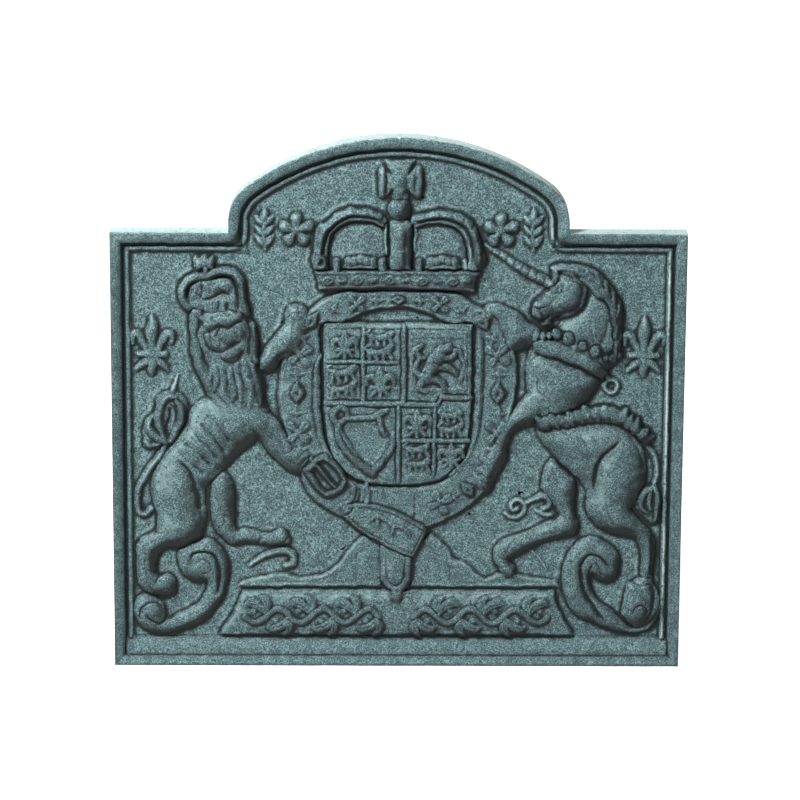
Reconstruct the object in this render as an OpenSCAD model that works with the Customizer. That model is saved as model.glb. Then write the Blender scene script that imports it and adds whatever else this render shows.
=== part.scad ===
// A cast-iron fireback: an arched plate that stands on the hearth against the back wall of a
// fireplace. It is sand cast in one pour, so the pieces below are those of its pattern: the plate,
// the lengths of moulding round it, and the carved figures and ornaments that are planted on it.
// X runs to the viewer's right, -Y faces the room and Z is up. The origin is the middle of the
// bottom edge of the flat back face. All sizes are in millimetres.

/* [Plate] */
// Overall width of the plate
plate_w = 610; // [610:2:700]
// Height of the square shoulders
shoulder_h = 482; // [482:1:540]
// Height of the arch above the shoulders
arch_rise = 103; // [92:1:130]
// Width of the arch where it rises from the shoulders
arch_w = 360; // [320:2:400]
// Height of the straight foot at each end of the arch
arch_foot_h = 11; // [8:0.5:16]
// Radius of the tight curve at each side of the arch
haunch_r = 49; // [40:1:60]
// Thickness of the plate behind the carving
field_t = 16; // [10:1:24]

/* [Border] */
// How far the border stands out from the field
rim_rise = 9; // [8:0.5:14]
// Width of the border, from the plate's edge to the foot of its hollow
rim_w = 13; // [9:0.5:14]
// Width of the flat front of the border
rim_flat = 8; // [5:0.5:8.5]
// Height left at the foot of the border's hollow
rim_toe = 1; // [0.5:0.5:2]
// Width of the half-round bead inside the border
bead_w = 6; // [4:0.5:7]
// How far the bead stands out from the field
bead_rise = 3.5; // [2:0.5:6]
// Gap between the border's foot and the bead
bead_gap = 1.5; // [0.5:0.5:2.5]
// Width of the broad flat band above the bottom border
base_band_w = 17; // [10:1:18]
// How far the bottom band stands out from the field
base_band_rise = 6; // [3:0.5:7.5]

/* [Relief] */
// Height of the supporters' bodies above the field
body_relief = 8; // [5:0.5:9]
// Height of their legs, heads and crowns above the field
limb_relief = 7; // [4:0.5:9]
// Height of their hair, tails and chain above the field
hair_relief = 5.5; // [3:0.5:8]
// Height of the foot scrolls above the field
scroll_relief = 6.5; // [3:0.5:8]
// Height of the big crown above the field
crown_relief = 6.5; // [4:0.5:8.5]
// Thickness of the shield on the field
shield_t = 4; // [2:0.5:5]
// Height of the charges and lines above the shield
charge_rise = 2; // [1:0.5:4]
// Thickness of the garter strap on the field
strap_t = 3.5; // [2:0.5:5]
// Height of the ornament above the strap or plinth that carries it
ornament_rise = 2; // [1:0.5:3.5]
// Height of the loose ornaments on the field
sprig_relief = 5; // [2:0.5:8]
// Thickness of the ground under the supporters
ground_t = 1.5; // [1:0.5:3]

/* [Crown] */
// Gap between the top of the crown's cross and the bead of the arch
crown_clear = 5.5; // [2:0.5:7]
// Width of the circlet, as a share of the arch's width
crown_share = 0.472; // [0.43:0.002:0.51]
// Height of the circlet, as a share of the plate's full height
circlet_share = 0.036; // [0.024:0.001:0.04]
// Radius of the orb on top, as a share of the plate's full height
orb_share = 0.0205; // [0.014:0.0005:0.024]
// Height of the orb's centre above the circlet's underside, as a share of the full height
orb_up_share = 0.15; // [0.135:0.001:0.165]
// Width and height of the cross on the orb, as a share of the full height
cross_share = 0.075; // [0.05:0.001:0.08]

/* [Shield and garter] */
// Drop from the crown's underside to the shield's top, as a share of the full height
shield_drop_share = 0.0615; // [0.055:0.0005:0.068]
// Width of the shield, as a share of the plate's width
shield_w_share = 0.259; // [0.23:0.001:0.275]
// Height of the shield, as a share of the full height
shield_h_share = 0.3095; // [0.28:0.0005:0.32]
// Width of the raised lines between the quarters
quarter_line_w = 4; // [2:0.5:6]
// Clearance between the shield and the strap round it
strap_clear = 2; // [0.5:0.5:4]

/* [Plinth] */
// Gap between the bottom band and the underside of the plinth
plinth_gap = 2; // [1:0.5:6]
// Height of the plinth, as a share of the full height
plinth_h_share = 0.089; // [0.075:0.001:0.096]
// Width of the plinth along its top, as a share of the plate's width
plinth_top_share = 0.56; // [0.52:0.005:0.58]
// Width of the plinth along its bottom, as a share of the plate's width
plinth_base_share = 0.63; // [0.59:0.005:0.645]
// Thickness of the plinth on the field
plinth_t = 4; // [2:0.5:7]

/* [Ornament] */
// Width of the lily at each side of the field, as a share of the plate's width
side_sprig_share = 0.0735; // [0.05:0.0005:0.075]
// Drop from the shoulders to the middle of those lilies, as a share of the shoulders' height
side_sprig_drop_share = 0.257; // [0.235:0.001:0.275]
// How much taller than wide those lilies are drawn
side_sprig_tall = 1.25; // [1:0.05:1.3]
// Distance of the arch's rosettes from the middle, as a share of the arch's width
rosette_share = 0.3; // [0.295:0.001:0.31]
// Distance of the arch's leaf sprays from the middle, as a share of the arch's width
spray_share = 0.394; // [0.39:0.001:0.4]
// Height of the middle of the rosettes and sprays above the shoulders
arch_sprig_up = 2; // [0:0.5:6]

/* [Hidden] */

iron = "#566a6c";
iron_worn = "#71898a";
iron_dark = "#465759";

half_w = plate_w / 2;
half_arch = arch_w / 2;
arch_top_h = shoulder_h + arch_rise;
// The arch's two curves: the tight ones at its sides touch the long one from inside, and
// its long one passes through the middle of the top
haunch_x = half_arch - haunch_r;
haunch_drop = arch_rise - arch_foot_h;
crown_curve_r = (haunch_x * haunch_x + haunch_drop * haunch_drop - haunch_r * haunch_r)
    / (2 * (haunch_drop - haunch_r));
crown_curve_z = arch_top_h - crown_curve_r;
spring_h = shoulder_h + arch_foot_h;
haunch_turn = asin(haunch_x / (crown_curve_r - haunch_r));
bead_in = rim_w + bead_gap;
// The plate that the free-hand carving is drawn for, [width, shoulders, full height], and how
// the carving is fitted to this plate
drawn_for = [610, 482, 585];
fit_x = plate_w / drawn_for[0];
fit_z = min(shoulder_h / drawn_for[1], arch_top_h / drawn_for[2]);
fit_both = min(fit_x, fit_z);
circlet_half_w = arch_w * crown_share / 2;
circlet_h = arch_top_h * circlet_share;
orb_r = arch_top_h * orb_share;
orb_up = arch_top_h * orb_up_share;
cross_size = arch_top_h * cross_share;
shield_drop = arch_top_h * shield_drop_share;
shield_half_w = plate_w * shield_w_share / 2;
shield_h = arch_top_h * shield_h_share;
plinth_h = arch_top_h * plinth_h_share;
plinth_base_h = rim_w + base_band_w + plinth_gap;
plinth_top_h = plinth_base_h + plinth_h;
plinth_top_w = plate_w * plinth_top_share;
plinth_base_w = plate_w * plinth_base_share;
side_sprig_w = plate_w * side_sprig_share;
side_sprig_drop = shoulder_h * side_sprig_drop_share;
rosette_out = arch_w * rosette_share;
spray_out = arch_w * spray_share;
haunch_steps = 6;
crown_steps = 16;
// Radius up to which a touch of the tool is coarse, and past which it is fine, and the
// sides of each
coarse_r = 5;
fine_r = 10;
coarse_sides = 6;
middling_sides = 8;
fine_sides = 10;

// ---- Curves -------------------------------------------------------------------------------

// Point between b and c on the smooth curve through a, b, c and d
function between(a, b, c, d, t) =
    0.5 * (2 * b + (c - a) * t + (2 * a - 5 * b + 4 * c - d) * t * t
        + (3 * b - a - 3 * c + d) * t * t * t);

// Open smooth curve through the points p, with n steps from each to the next
function open_curve(p, n) = concat(
    [for (i = [0 : len(p) - 2]) for (k = [0 : n - 1])
        between(p[max(i - 1, 0)], p[i], p[i + 1], p[min(i + 2, len(p) - 1)], k / n)],
    [p[len(p) - 1]]);

// Closed smooth curve through the points p
function closed_curve(p, n) =
    [for (i = [0 : len(p) - 1]) for (k = [0 : n - 1])
        between(p[(i + len(p) - 1) % len(p)], p[i], p[(i + 1) % len(p)],
            p[(i + 2) % len(p)], k / n)];

// Points drawn for the drawn size of plate, fitted to this one
function fitted(p) = [for (q = p) [q[0] * fit_x, q[1] * fit_z]];
function mirrored(p) = [for (q = p) [-q[0], q[1]]];
function reversed(p) = [for (i = [len(p) - 1 : -1 : 0]) p[i]];
function arc(x, z, r, from, to, n) =
    [for (k = [0 : n]) [x + r * cos(from + (to - from) * k / n),
        z + r * sin(from + (to - from) * k / n)]];

// Right half of the arch, set in from the plate's edge, from the middle down to the spring
function half_arch_curve(in) = concat(
    arc(0, crown_curve_z, crown_curve_r - in, 90, 90 - haunch_turn, crown_steps / 2),
    [for (k = [1 : haunch_steps])
        let (a = (90 - haunch_turn) * (1 - k / haunch_steps))
        [haunch_x + (haunch_r - in) * cos(a), spring_h + (haunch_r - in) * sin(a)]]);

// The whole arch from left foot to right foot, with feet mitred into the shoulders
function arch_line(in) = concat(
    [[-half_arch + in, shoulder_h - in]],
    reversed(mirrored(half_arch_curve(in))),
    [for (i = [1 : len(half_arch_curve(in)) - 1]) half_arch_curve(in)[i]],
    [[half_arch - in, shoulder_h - in]]);

// ---- Building blocks ----------------------------------------------------------------------

// Drawing board on the front of the field: x to the right, y up the plate, z towards the room
module on_field(rise = 0) {
    translate([0, -field_t - rise, 0]) rotate([90, 0, 0]) children();
}

// The same for carving drawn for the drawn size of plate, which is fitted to this one
module carved(rise = 0) {
    on_field(rise) scale([fit_x, fit_z, 1]) children();
}

// A moulding: the profile [distance in from the edge, height] follows line(distance)
module moulding(profile, line) {
    n = len(profile);
    count = len(line(0));
    points = [for (i = [0 : count - 1]) for (q = profile)
        [line(q[0])[i][0], line(q[0])[i][1], q[1]]];
    sides = [for (i = [0 : count - 2]) for (j = [0 : n - 1])
        [i * n + j, i * n + (j + 1) % n, (i + 1) * n + (j + 1) % n, (i + 1) * n + j]];
    start = [for (j = [n - 1 : -1 : 0]) j];
    end = [for (j = [0 : n - 1]) (count - 1) * n + j];
    on_field() polyhedron(points, concat(sides, [start], [end]));
}

// One touch of the modelling tool: a low round swelling at p = [x, z, radius]
module dab(p, h) {
    r = p[2];
    top = min(h, r);
    translate([p[0], p[1], 0]) {
        if (r <= fine_r) {
            cylinder(h = top, r1 = r, r2 = r * 0.5,
                $fn = r <= coarse_r ? coarse_sides : middling_sides);
        } else {
            cylinder(h = top * 0.6, r1 = r, r2 = r * 0.8, $fn = fine_sides);
            cylinder(h = top, r = r * 0.45, $fn = fine_sides);
        }
    }
}

// A rounded limb through the points p
module limb(p, h, steps = 2) {
    path = open_curve(p, steps);
    for (i = [0 : len(path) - 2]) {
        hull() {
            dab(path[i], h);
            dab(path[i + 1], h);
        }
    }
}

// Lets carving pass over the garter's strap, lying on it
module over_strap() {
    difference() {
        on_field() children();
        on_field(-1) linear_extrude(strap_t + 1) polygon(strap_outline);
    }
}

// The same limb and its mirror image
module limb_pair(p, h, steps = 2) {
    limb(p, h, steps);
    mirror([1, 0, 0]) limb(p, h, steps);
}

// ---- Plate and border ---------------------------------------------------------------------

rim_profile = concat(
    [[0, 0], [0, rim_rise], [rim_flat, rim_rise]],
    [for (a = [30 : 30 : 60])
        [rim_w - (rim_w - rim_flat) * cos(a), rim_rise - (rim_rise - rim_toe) * sin(a)]],
    [[rim_w, rim_toe], [rim_w, 0]]);

bead_profile = [for (a = [180 : -30 : 0])
    [bead_in + bead_w / 2 + bead_w / 2 * cos(a), bead_rise * sin(a)]];

band_profile = [
    [rim_w, 0], [rim_w, base_band_rise], [rim_w + base_band_w * 0.8, base_band_rise],
    [rim_w + base_band_w, 0]
];

bead_foot_h = rim_w + base_band_w;
left_line = function (in) [[-half_w + in, in], [-half_w + in, shoulder_h - in]];
right_line = function (in) [[half_w - in, shoulder_h - in], [half_w - in, in]];
bottom_line = function (in) [[half_w - in, in], [-half_w + in, in]];
shoulder_left_line = function (in)
    [[-half_w + in, shoulder_h - in], [-half_arch + in, shoulder_h - in]];
shoulder_right_line = function (in)
    [[half_arch - in, shoulder_h - in], [half_w - in, shoulder_h - in]];
whole_arch = function (in) arch_line(in);

module plate() {
    color(iron)
        rotate([90, 0, 0])
            linear_extrude(field_t)
                polygon(concat([[-half_w, 0], [-half_w, shoulder_h]], arch_line(0),
                    [[half_w, shoulder_h], [half_w, 0]]));
}

module rim_bottom() {
    color(iron) moulding(rim_profile, bottom_line);
}

module rim_left() {
    color(iron) moulding(rim_profile, left_line);
}

module rim_right() {
    color(iron) moulding(rim_profile, right_line);
}

module rim_shoulder_left() {
    color(iron) moulding(rim_profile, shoulder_left_line);
}

module rim_shoulder_right() {
    color(iron) moulding(rim_profile, shoulder_right_line);
}

module rim_arch() {
    color(iron) moulding(rim_profile, whole_arch);
}

module base_band() {
    color(iron_worn) moulding(band_profile, bottom_line);
}

module bead_left() {
    color(iron_worn)
        moulding(bead_profile,
            function (in) [[-half_w + in, bead_foot_h], [-half_w + in, shoulder_h - in]]);
}

module bead_right() {
    color(iron_worn)
        moulding(bead_profile,
            function (in) [[half_w - in, shoulder_h - in], [half_w - in, bead_foot_h]]);
}

module bead_shoulder_left() {
    color(iron_worn) moulding(bead_profile, shoulder_left_line);
}

module bead_shoulder_right() {
    color(iron_worn) moulding(bead_profile, shoulder_right_line);
}

module bead_arch() {
    color(iron_worn) moulding(bead_profile, whole_arch);
}

// ---- Big crown ----------------------------------------------------------------------------

// The crown hangs from the arch, so that its cross always clears the bead
cross_foot_sink = 2;
cross_tall = 0.9;
cross_h = arch_top_h - bead_in - bead_w - crown_clear - cross_tall * cross_size / 2;
orb_h = cross_h - cross_size / 2 + cross_foot_sink - orb_r;
crown_base_h = orb_h - orb_up;
circlet_top_h = crown_base_h + circlet_h;
// Room between the circlet and the centre of the orb, which the crown's arches fill
bow_h = orb_h - circlet_top_h;
// The caps fill the crown between its circlet and the underside of the side arches
arch_foot_x = circlet_half_w - 1;
arch_r = circlet_half_w * 0.074;
side_arch = [
    [arch_foot_x, circlet_top_h + bow_h * 0.08, arch_r],
    [arch_foot_x * 0.95, circlet_top_h + bow_h * 0.45, arch_r],
    [arch_foot_x * 0.8, circlet_top_h + bow_h * 0.73, arch_r],
    [arch_foot_x * 0.5, orb_h - bow_h * 0.07, arch_r],
    [orb_r * 1.4, orb_h - bow_h * 0.13, arch_r * 0.8]
];
front_arch_half_w = circlet_half_w * 0.12;

module crown_circlet() {
    flare = circlet_half_w * 0.035;
    color(iron_worn)
        on_field()
            linear_extrude(crown_relief)
                polygon([[-circlet_half_w, crown_base_h], [circlet_half_w, crown_base_h],
                    [circlet_half_w + flare, circlet_top_h],
                    [-circlet_half_w - flare, circlet_top_h]]);
}

module crown_arches() {
    color(iron_worn) on_field() limb_pair(side_arch, crown_relief, 2);
}

module crown_front_arch() {
    color(iron_worn)
        on_field()
            translate([-front_arch_half_w, circlet_top_h, 0])
                cube([2 * front_arch_half_w, orb_h - orb_r - circlet_top_h, crown_relief]);
}

// Places in the crown, as shares of its half width and of the room above the circlet
function in_crown(x, z) = [circlet_half_w * x, circlet_top_h + bow_h * z];

cap_t = crown_relief * 0.4;

module crown_cap(side) {
    on_field()
        linear_extrude(cap_t)
            polygon([for (q = closed_curve([
                in_crown(0.17, 0.02), in_crown(0.52, 0.02), in_crown(0.85, 0.02),
                in_crown(0.85, 0.52), in_crown(0.66, 0.75), in_crown(0.35, 0.81),
                in_crown(0.17, 0.67)], 3))
                [side * q[0], q[1]]]);
}

module crown_caps() {
    color(iron_dark) {
        crown_cap(-1);
        crown_cap(1);
    }
}

// The leaves and pearls that stand up from the circlet
module crown_fleurons() {
    lobe_r = circlet_half_w * 0.07;
    pearl_r = circlet_half_w * 0.053;
    color(iron_worn)
        on_field(cap_t) {
            for (side = [-1, 1]) for (x = [0.35, 0.48, 0.61]) {
                limb([for (q = [in_crown(side * x, 0.12), in_crown(side * (x + 0.05), 0.16)])
                    [q[0], q[1], lobe_r]], crown_relief - cap_t, 1);
            }
            for (x = [-0.76, -0.21, 0.25, 0.76]) {
                limb([for (q = [in_crown(x, 0.09), in_crown(x, 0.13)])
                    [q[0], q[1], pearl_r]], crown_relief - cap_t, 1);
            }
        }
}

module crown_orb() {
    color(iron_worn)
        on_field()
            intersection() {
                translate([0, orb_h, 0]) scale([1, 1, crown_relief / orb_r]) sphere(orb_r, $fn = 32);
                translate([-orb_r, orb_h - orb_r, 0]) cube([2 * orb_r, 2 * orb_r, crown_relief]);
            }
}

// A cross whose arms splay out to the ends
module splayed_cross(size, h) {
    half = size / 2;
    waist = size * 0.09;
    splay = size * 0.38;
    for (turn = [0 : 90 : 270]) {
        rotate(turn)
            linear_extrude(h)
                polygon([[-waist, 0], [-splay, half], [splay, half], [waist, 0]]);
    }
}

module crown_cross() {
    color(iron_worn)
        on_field()
            translate([0, cross_h, 0])
                scale([1, cross_tall, 1])
                    splayed_cross(cross_size, crown_relief * 0.7);
}

// ---- Shield -------------------------------------------------------------------------------

shield_top_h = crown_base_h - shield_drop;
shield_base_h = shield_top_h - shield_h;
shield_mid_h = shield_top_h - shield_h / 2;
// Right half of the shield, from the top edge down to the middle of the base
shield_half = concat(
    [[shield_half_w, shield_top_h]],
    open_curve([[shield_half_w, shield_top_h - shield_h * 0.3], [shield_half_w * 0.99, shield_mid_h],
        [shield_half_w * 0.92, shield_base_h + shield_h * 0.28],
        [shield_half_w * 0.72, shield_base_h + shield_h * 0.12],
        [shield_half_w * 0.37, shield_base_h + shield_h * 0.03], [0, shield_base_h]], 3));
shield_outline = concat(shield_half, [for (i = [len(shield_half) - 2 : -1 : 0])
    [-shield_half[i][0], shield_half[i][1]]]);

module shield() {
    color(iron_worn) on_field() linear_extrude(shield_t) polygon(shield_outline);
}

module on_shield() {
    on_field(shield_t) children();
}

// The size of shield that the free-hand charges are drawn for
drawn_shield_half_w = 79;
drawn_shield_h = 181;

module shield_charge(x, z) {
    on_shield()
        translate([x, z, 0])
            scale([shield_half_w / drawn_shield_half_w, shield_h / drawn_shield_h, 1])
                children();
}

// The lines between the quarters, and those inside the first and fourth
module shield_quartering() {
    line = quarter_line_w;
    color(iron)
        on_shield()
            linear_extrude(charge_rise)
                intersection() {
                    polygon(shield_outline);
                    union() {
                        translate([-line / 2, shield_base_h]) square([line, shield_h]);
                        translate([-shield_half_w, shield_mid_h - line / 2])
                            square([2 * shield_half_w, line]);
                        translate([-shield_half_w / 2 - line / 4, shield_mid_h])
                            square([line / 2, shield_h / 2]);
                        translate([-shield_half_w, shield_mid_h + shield_h / 4])
                            square([shield_half_w, line / 2]);
                        translate([shield_half_w / 2, shield_base_h])
                            square([line / 2, shield_h / 2]);
                        translate([0, shield_base_h + shield_h / 4])
                            square([shield_half_w, line / 2]);
                        difference() {
                            polygon(shield_outline);
                            offset(delta = -line / 2) polygon(shield_outline);
                        }
                    }
                }
}

// A small lily: a middle leaf and two that curl away from it
module lily(size, h) {
    s = size;
    limb([[0, -s * 0.5, s * 0.08], [0, -s * 0.05, s * 0.1], [0, s * 0.2, s * 0.16],
        [0, s * 0.5, s * 0.05]], h, 1);
    limb_pair([[s * 0.06, -s * 0.1, s * 0.08], [s * 0.2, s * 0.16, s * 0.1],
        [s * 0.36, s * 0.14, s * 0.09], [s * 0.4, -s * 0.02, s * 0.07]], h, 1);
    limb([[-s * 0.2, -s * 0.14, s * 0.07], [s * 0.2, -s * 0.14, s * 0.07]], h, 1);
}

// A small walking beast, seen from the side
module walking_beast(size, h) {
    s = size;
    limb([[-s * 0.3, s * 0.02, s * 0.12], [s * 0.12, s * 0.03, s * 0.13],
        [s * 0.3, s * 0.2, s * 0.13]], h, 1);
    for (x = [-0.32, -0.18, 0.08, 0.24]) {
        limb([[s * x, 0, s * 0.08], [s * (x + 0.06), -s * 0.26, s * 0.06]], h, 1);
    }
    limb([[-s * 0.34, s * 0.06, s * 0.05], [-s * 0.46, s * 0.26, s * 0.06]], h, 1);
}

// From the shield's middle to the middle of a quarter, sideways and up
quarter_x = shield_half_w / 2;
quarter_z = shield_h / 4;
// The last quarter's charges are smaller and sit higher, to clear the shield's curved base
quarter_lift = 4;
quarter_fit = 0.9;

// Lilies and walking beasts by turns, one in each cell of a quarter
module quartered_charge() {
    cell = shield_half_w / 4;
    translate([-cell, quarter_z / 2, 0]) lily(cell * 1.5, charge_rise);
    translate([cell, -quarter_z / 2, 0]) lily(cell * 1.5, charge_rise);
    translate([cell, quarter_z / 2, 0]) walking_beast(cell * 1.6, charge_rise);
    translate([-cell, -quarter_z / 2, 0]) walking_beast(cell * 1.6, charge_rise);
}

module charge_quarter_1() {
    color(iron)
        on_shield() translate([-quarter_x, shield_mid_h + quarter_z, 0]) quartered_charge();
}

// A beast rearing up inside a plain border
module charge_quarter_2() {
    color(iron)
        shield_charge(quarter_x, shield_mid_h + quarter_z) {
            limb([[-8, -16, 7], [-4, 0, 8], [4, 14, 8], [10, 24, 7]], charge_rise, 2);
            limb([[6, 12, 4], [20, 16, 4], [22, 24, 3.5]], charge_rise, 2);
            limb([[2, 4, 4], [16, 2, 4], [22, -4, 3.5]], charge_rise, 2);
            limb([[-6, -16, 5], [6, -22, 4], [8, -34, 4]], charge_rise, 2);
            limb([[-12, -18, 5], [-18, -30, 4], [-8, -36, 4]], charge_rise, 2);
            limb([[-14, -14, 3], [-24, -4, 3], [-20, 12, 3], [-26, 22, 4]], charge_rise, 2);
        }
}

// A harp: a curled pillar, a neck, a sounding board and its strings
module charge_quarter_3() {
    strings = 4;
    string_gap = 9;
    color(iron)
        shield_charge(-quarter_x, shield_mid_h - quarter_z) {
            limb([[-12, -26, 4], [-22, -4, 4], [-28, 18, 4], [-22, 32, 4.5], [-12, 32, 4],
                [-12, 24, 3.5]], charge_rise, 2);
            limb([[-12, -26, 4], [8, -8, 5], [24, 16, 4], [28, 26, 4]], charge_rise, 2);
            limb([[-14, 26, 3.5], [6, 20, 3.5], [28, 26, 4]], charge_rise, 2);
            for (i = [0 : strings - 1]) {
                limb([[-14 + string_gap * i, -16 + string_gap * i, 1.6],
                    [-14 + string_gap * i, 21, 1.6]], charge_rise, 1);
            }
        }
}

module charge_quarter_4() {
    color(iron)
        on_shield()
            translate([quarter_x, shield_mid_h - quarter_z + quarter_lift, 0])
                scale([quarter_fit, quarter_fit, 1]) quartered_charge();
}

// ---- Garter -------------------------------------------------------------------------------

strap_top_h = crown_base_h - 1;
strap_outline = closed_curve(concat([[0, strap_top_h], [42 * fit_x, strap_top_h]],
    fitted([[72, 412], [97, 396], [116, 366], [127, 326], [127, 284], [118, 246], [98, 204],
        [66, 170], [34, 155], [0, 150], [-34, 156], [-68, 170], [-96, 196], [-115, 240],
        [-127, 284], [-127, 326], [-116, 366], [-97, 396], [-72, 412]]),
    [[-42 * fit_x, strap_top_h]]), 3);
buckle_turn = -52;

module garter_strap() {
    color(iron)
        on_field()
            linear_extrude(strap_t)
                difference() {
                    polygon(strap_outline);
                    offset(delta = strap_clear) polygon(shield_outline);
                }
}

// Four-leaved flowers and lozenges, spaced along the strap
strap_flowers = fitted([[-104, 348], [-106, 262], [106, 348], [106, 262], [-44, 403], [44, 403],
    [46, 182], [98, 224]]);
strap_lozenges = fitted([[-108, 306], [-90, 384], [108, 306], [90, 384], [0, 406], [76, 198]]);

module four_leaves(r, h) {
    leaf_r = r * 0.42;
    linear_extrude(h) {
        circle(leaf_r, $fn = middling_sides);
        for (a = [45 : 90 : 315]) {
            translate([(r - leaf_r) * cos(a), (r - leaf_r) * sin(a)])
                circle(leaf_r, $fn = middling_sides);
        }
    }
}

module garter_ornament() {
    flower_r = 10 * fit_both;
    lozenge_w = 10 * fit_both;
    lozenge_h = 18 * fit_both;
    color(iron_worn)
        on_field(strap_t) {
            for (q = strap_flowers) {
                translate([q[0], q[1], 0]) four_leaves(flower_r, ornament_rise);
            }
            for (q = strap_lozenges) {
                translate([q[0], q[1], 0])
                    linear_extrude(ornament_rise)
                        polygon([[-lozenge_w / 2, 0], [0, -lozenge_h / 2], [lozenge_w / 2, 0],
                            [0, lozenge_h / 2]]);
            }
        }
}

// The buckle's frame and tongue, lying across the strap
module garter_buckle() {
    frame_w = 34;
    frame_h = 26;
    bar = 5;
    color(iron_worn)
        carved(strap_t)
            translate([-76, 208, 0])
                rotate(buckle_turn)
                    linear_extrude(ornament_rise) {
                        difference() {
                            square([frame_w, frame_h], center = true);
                            square([frame_w - 2 * bar, frame_h - 2 * bar], center = true);
                        }
                        translate([-frame_w / 2 - bar, -bar / 2]) square([frame_w + bar, bar]);
                    }
}

// The loose end of the strap, passed through the buckle and hanging to the right
module strap_end() {
    outline = fitted([[-58, 188], [-34, 190], [0, 175], [35, 155], [27, 141], [18, 121],
        [-18, 136], [-37, 148], [-56, 164]]);
    color(iron_worn)
        over_strap() linear_extrude(strap_t + ornament_rise) polygon(outline);
}

module pendant() {
    // The tail starts above the plinth and hangs down over it
    neck_h = plinth_top_h + plinth_h * 0.12;
    side_h = plinth_top_h + plinth_h * 0.27;
    top = fitted([[17, 118], [-18, 134]]);
    left = top[1][0];
    right = top[0][0];
    color(iron_worn)
        on_field(plinth_t)
            linear_extrude(ornament_rise)
                polygon(concat([[left, side_h], [left * 0.4, plinth_top_h - plinth_h * 0.04],
                    [left * 0.33, plinth_top_h - plinth_h * 0.3],
                    [right * 0.3, plinth_top_h - plinth_h * 0.3],
                    [right * 0.35, plinth_top_h - plinth_h * 0.04], [right, side_h]], top));
    color(iron_worn)
        on_field()
            linear_extrude(plinth_t)
                polygon(concat([[left, side_h], [left * 0.66, neck_h], [right * 0.7, neck_h],
                    [right, side_h]], top));
}

// ---- Lion ---------------------------------------------------------------------------------

module lion_body() {
    color(iron)
        carved() {
            limb([[-176, 272, 28], [-196, 254, 31], [-213, 233, 31], [-228, 210, 32], [-233, 186, 29]],
                body_relief, 2);
            limb([[-233, 186, 29], [-234, 162, 24]], body_relief, 1);
        }
}

module lion_mane() {
    color(iron)
        carved() {
            limb([[-188, 384, 30], [-184, 352, 36], [-178, 324, 32], [-169, 300, 27],
                [-160, 284, 20]], limb_relief, 2);
            limb([[-200, 312, 9], [-186, 288, 9], [-168, 271, 8]], limb_relief, 2);
        }
}

module lion_head() {
    color(iron_worn)
        carved(limb_relief - 1.5) {
            limb([[-192, 384, 11], [-186, 376, 14], [-180, 366, 11], [-177, 352, 8],
                [-176, 346, 7]], 2, 2);
            limb([[-203, 389, 4], [-194, 391, 5]], 2, 1);
            limb([[-186, 391, 4], [-172, 389, 5]], 2, 1);
        }
}

module lion_crown() {
    color(iron_worn)
        carved() {
            limb([[-222, 392, 6], [-205, 394, 7], [-184, 398, 7], [-166, 396, 6]], limb_relief, 1);
            limb([[-224, 400, 5], [-231, 414, 5], [-224, 430, 5], [-206, 434, 5]], limb_relief, 1);
            limb([[-164, 402, 5], [-160, 418, 5], [-168, 435, 5], [-184, 439, 5],
                [-206, 434, 5]], limb_relief, 1);
            limb([[-206, 432, 4], [-207, 420, 4], [-206, 402, 5]], limb_relief, 1);
            limb([[-214, 412, 12], [-186, 416, 16], [-178, 414, 14]], limb_relief - 2, 1);
            limb([[-206, 440, 4], [-206, 455, 5]], limb_relief, 1);
            limb([[-216, 449, 5], [-196, 449, 5]], limb_relief, 1);
        }
}

module lion_raised_leg() {
    color(iron)
        over_strap()
            scale([fit_x, fit_z, 1])
                limb([[-142, 334, 11], [-130, 350, 12], [-116, 367, 12.5], [-108, 382, 13],
                    [-108, 391, 11]], limb_relief, 2);
}

module lion_fore_leg() {
    color(iron)
        over_strap()
            scale([fit_x, fit_z, 1])
                limb([[-150, 290, 16], [-146, 274, 15], [-132, 259, 13], [-119, 246, 12],
                    [-106, 232, 13], [-101, 229, 12]], limb_relief, 2);
}

module lion_near_hind_leg() {
    color(iron)
        carved() {
            limb([[-236, 160, 23], [-248, 146, 16], [-266, 138, 12], [-269, 120, 12],
                [-267, 102, 10]], limb_relief, 2);
            limb([[-267, 102, 10], [-266, 90, 10], [-248, 88, 11]], limb_relief, 2);
        }
}

module lion_far_hind_leg() {
    color(iron)
        carved() {
            limb([[-192, 205, 15], [-187, 186, 14], [-184, 166, 13], [-172, 150, 9], [-150, 144, 8],
                [-130, 144, 9], [-120, 132, 11], [-117, 117, 11]], limb_relief * 0.85, 2);
            limb([[-124, 124, 5], [-140, 119, 4], [-158, 111, 4]], limb_relief * 0.7, 2);
        }
}

module lion_tail() {
    color(iron)
        carved() {
            limb([[-262, 170, 4], [-277, 172, 4], [-278, 196, 4], [-270, 216, 4], [-256, 234, 4],
                [-246, 250, 5]], hair_relief, 2);
            limb([[-246, 250, 5], [-240, 268, 11], [-240, 288, 14], [-242, 298, 10],
                [-237, 318, 3]], hair_relief, 2);
            limb([[-244, 262, 8], [-262, 260, 6], [-267, 272, 6], [-258, 286, 6]], hair_relief, 2);
        }
}

// ---- Unicorn ------------------------------------------------------------------------------

module unicorn_body() {
    color(iron)
        carved() {
            limb([[196, 398, 22], [200, 370, 27], [190, 345, 28], [176, 318, 28], [176, 292, 25],
                [190, 262, 24], [210, 240, 27], [230, 218, 30], [238, 200, 26]], body_relief, 2);
            limb([[150, 352, 16], [170, 330, 20]], body_relief, 2);
        }
}

module unicorn_head() {
    color(iron)
        carved() {
            limb([[151, 400, 9], [160, 403, 13], [174, 411, 17], [186, 422, 17],
                [188, 428, 14]], limb_relief, 2);
            limb([[152, 386, 7], [164, 392, 9], [182, 402, 12]], limb_relief * 0.9, 2);
            limb([[163, 438, 4], [160, 431, 7]], limb_relief, 1);
        }
}

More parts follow.
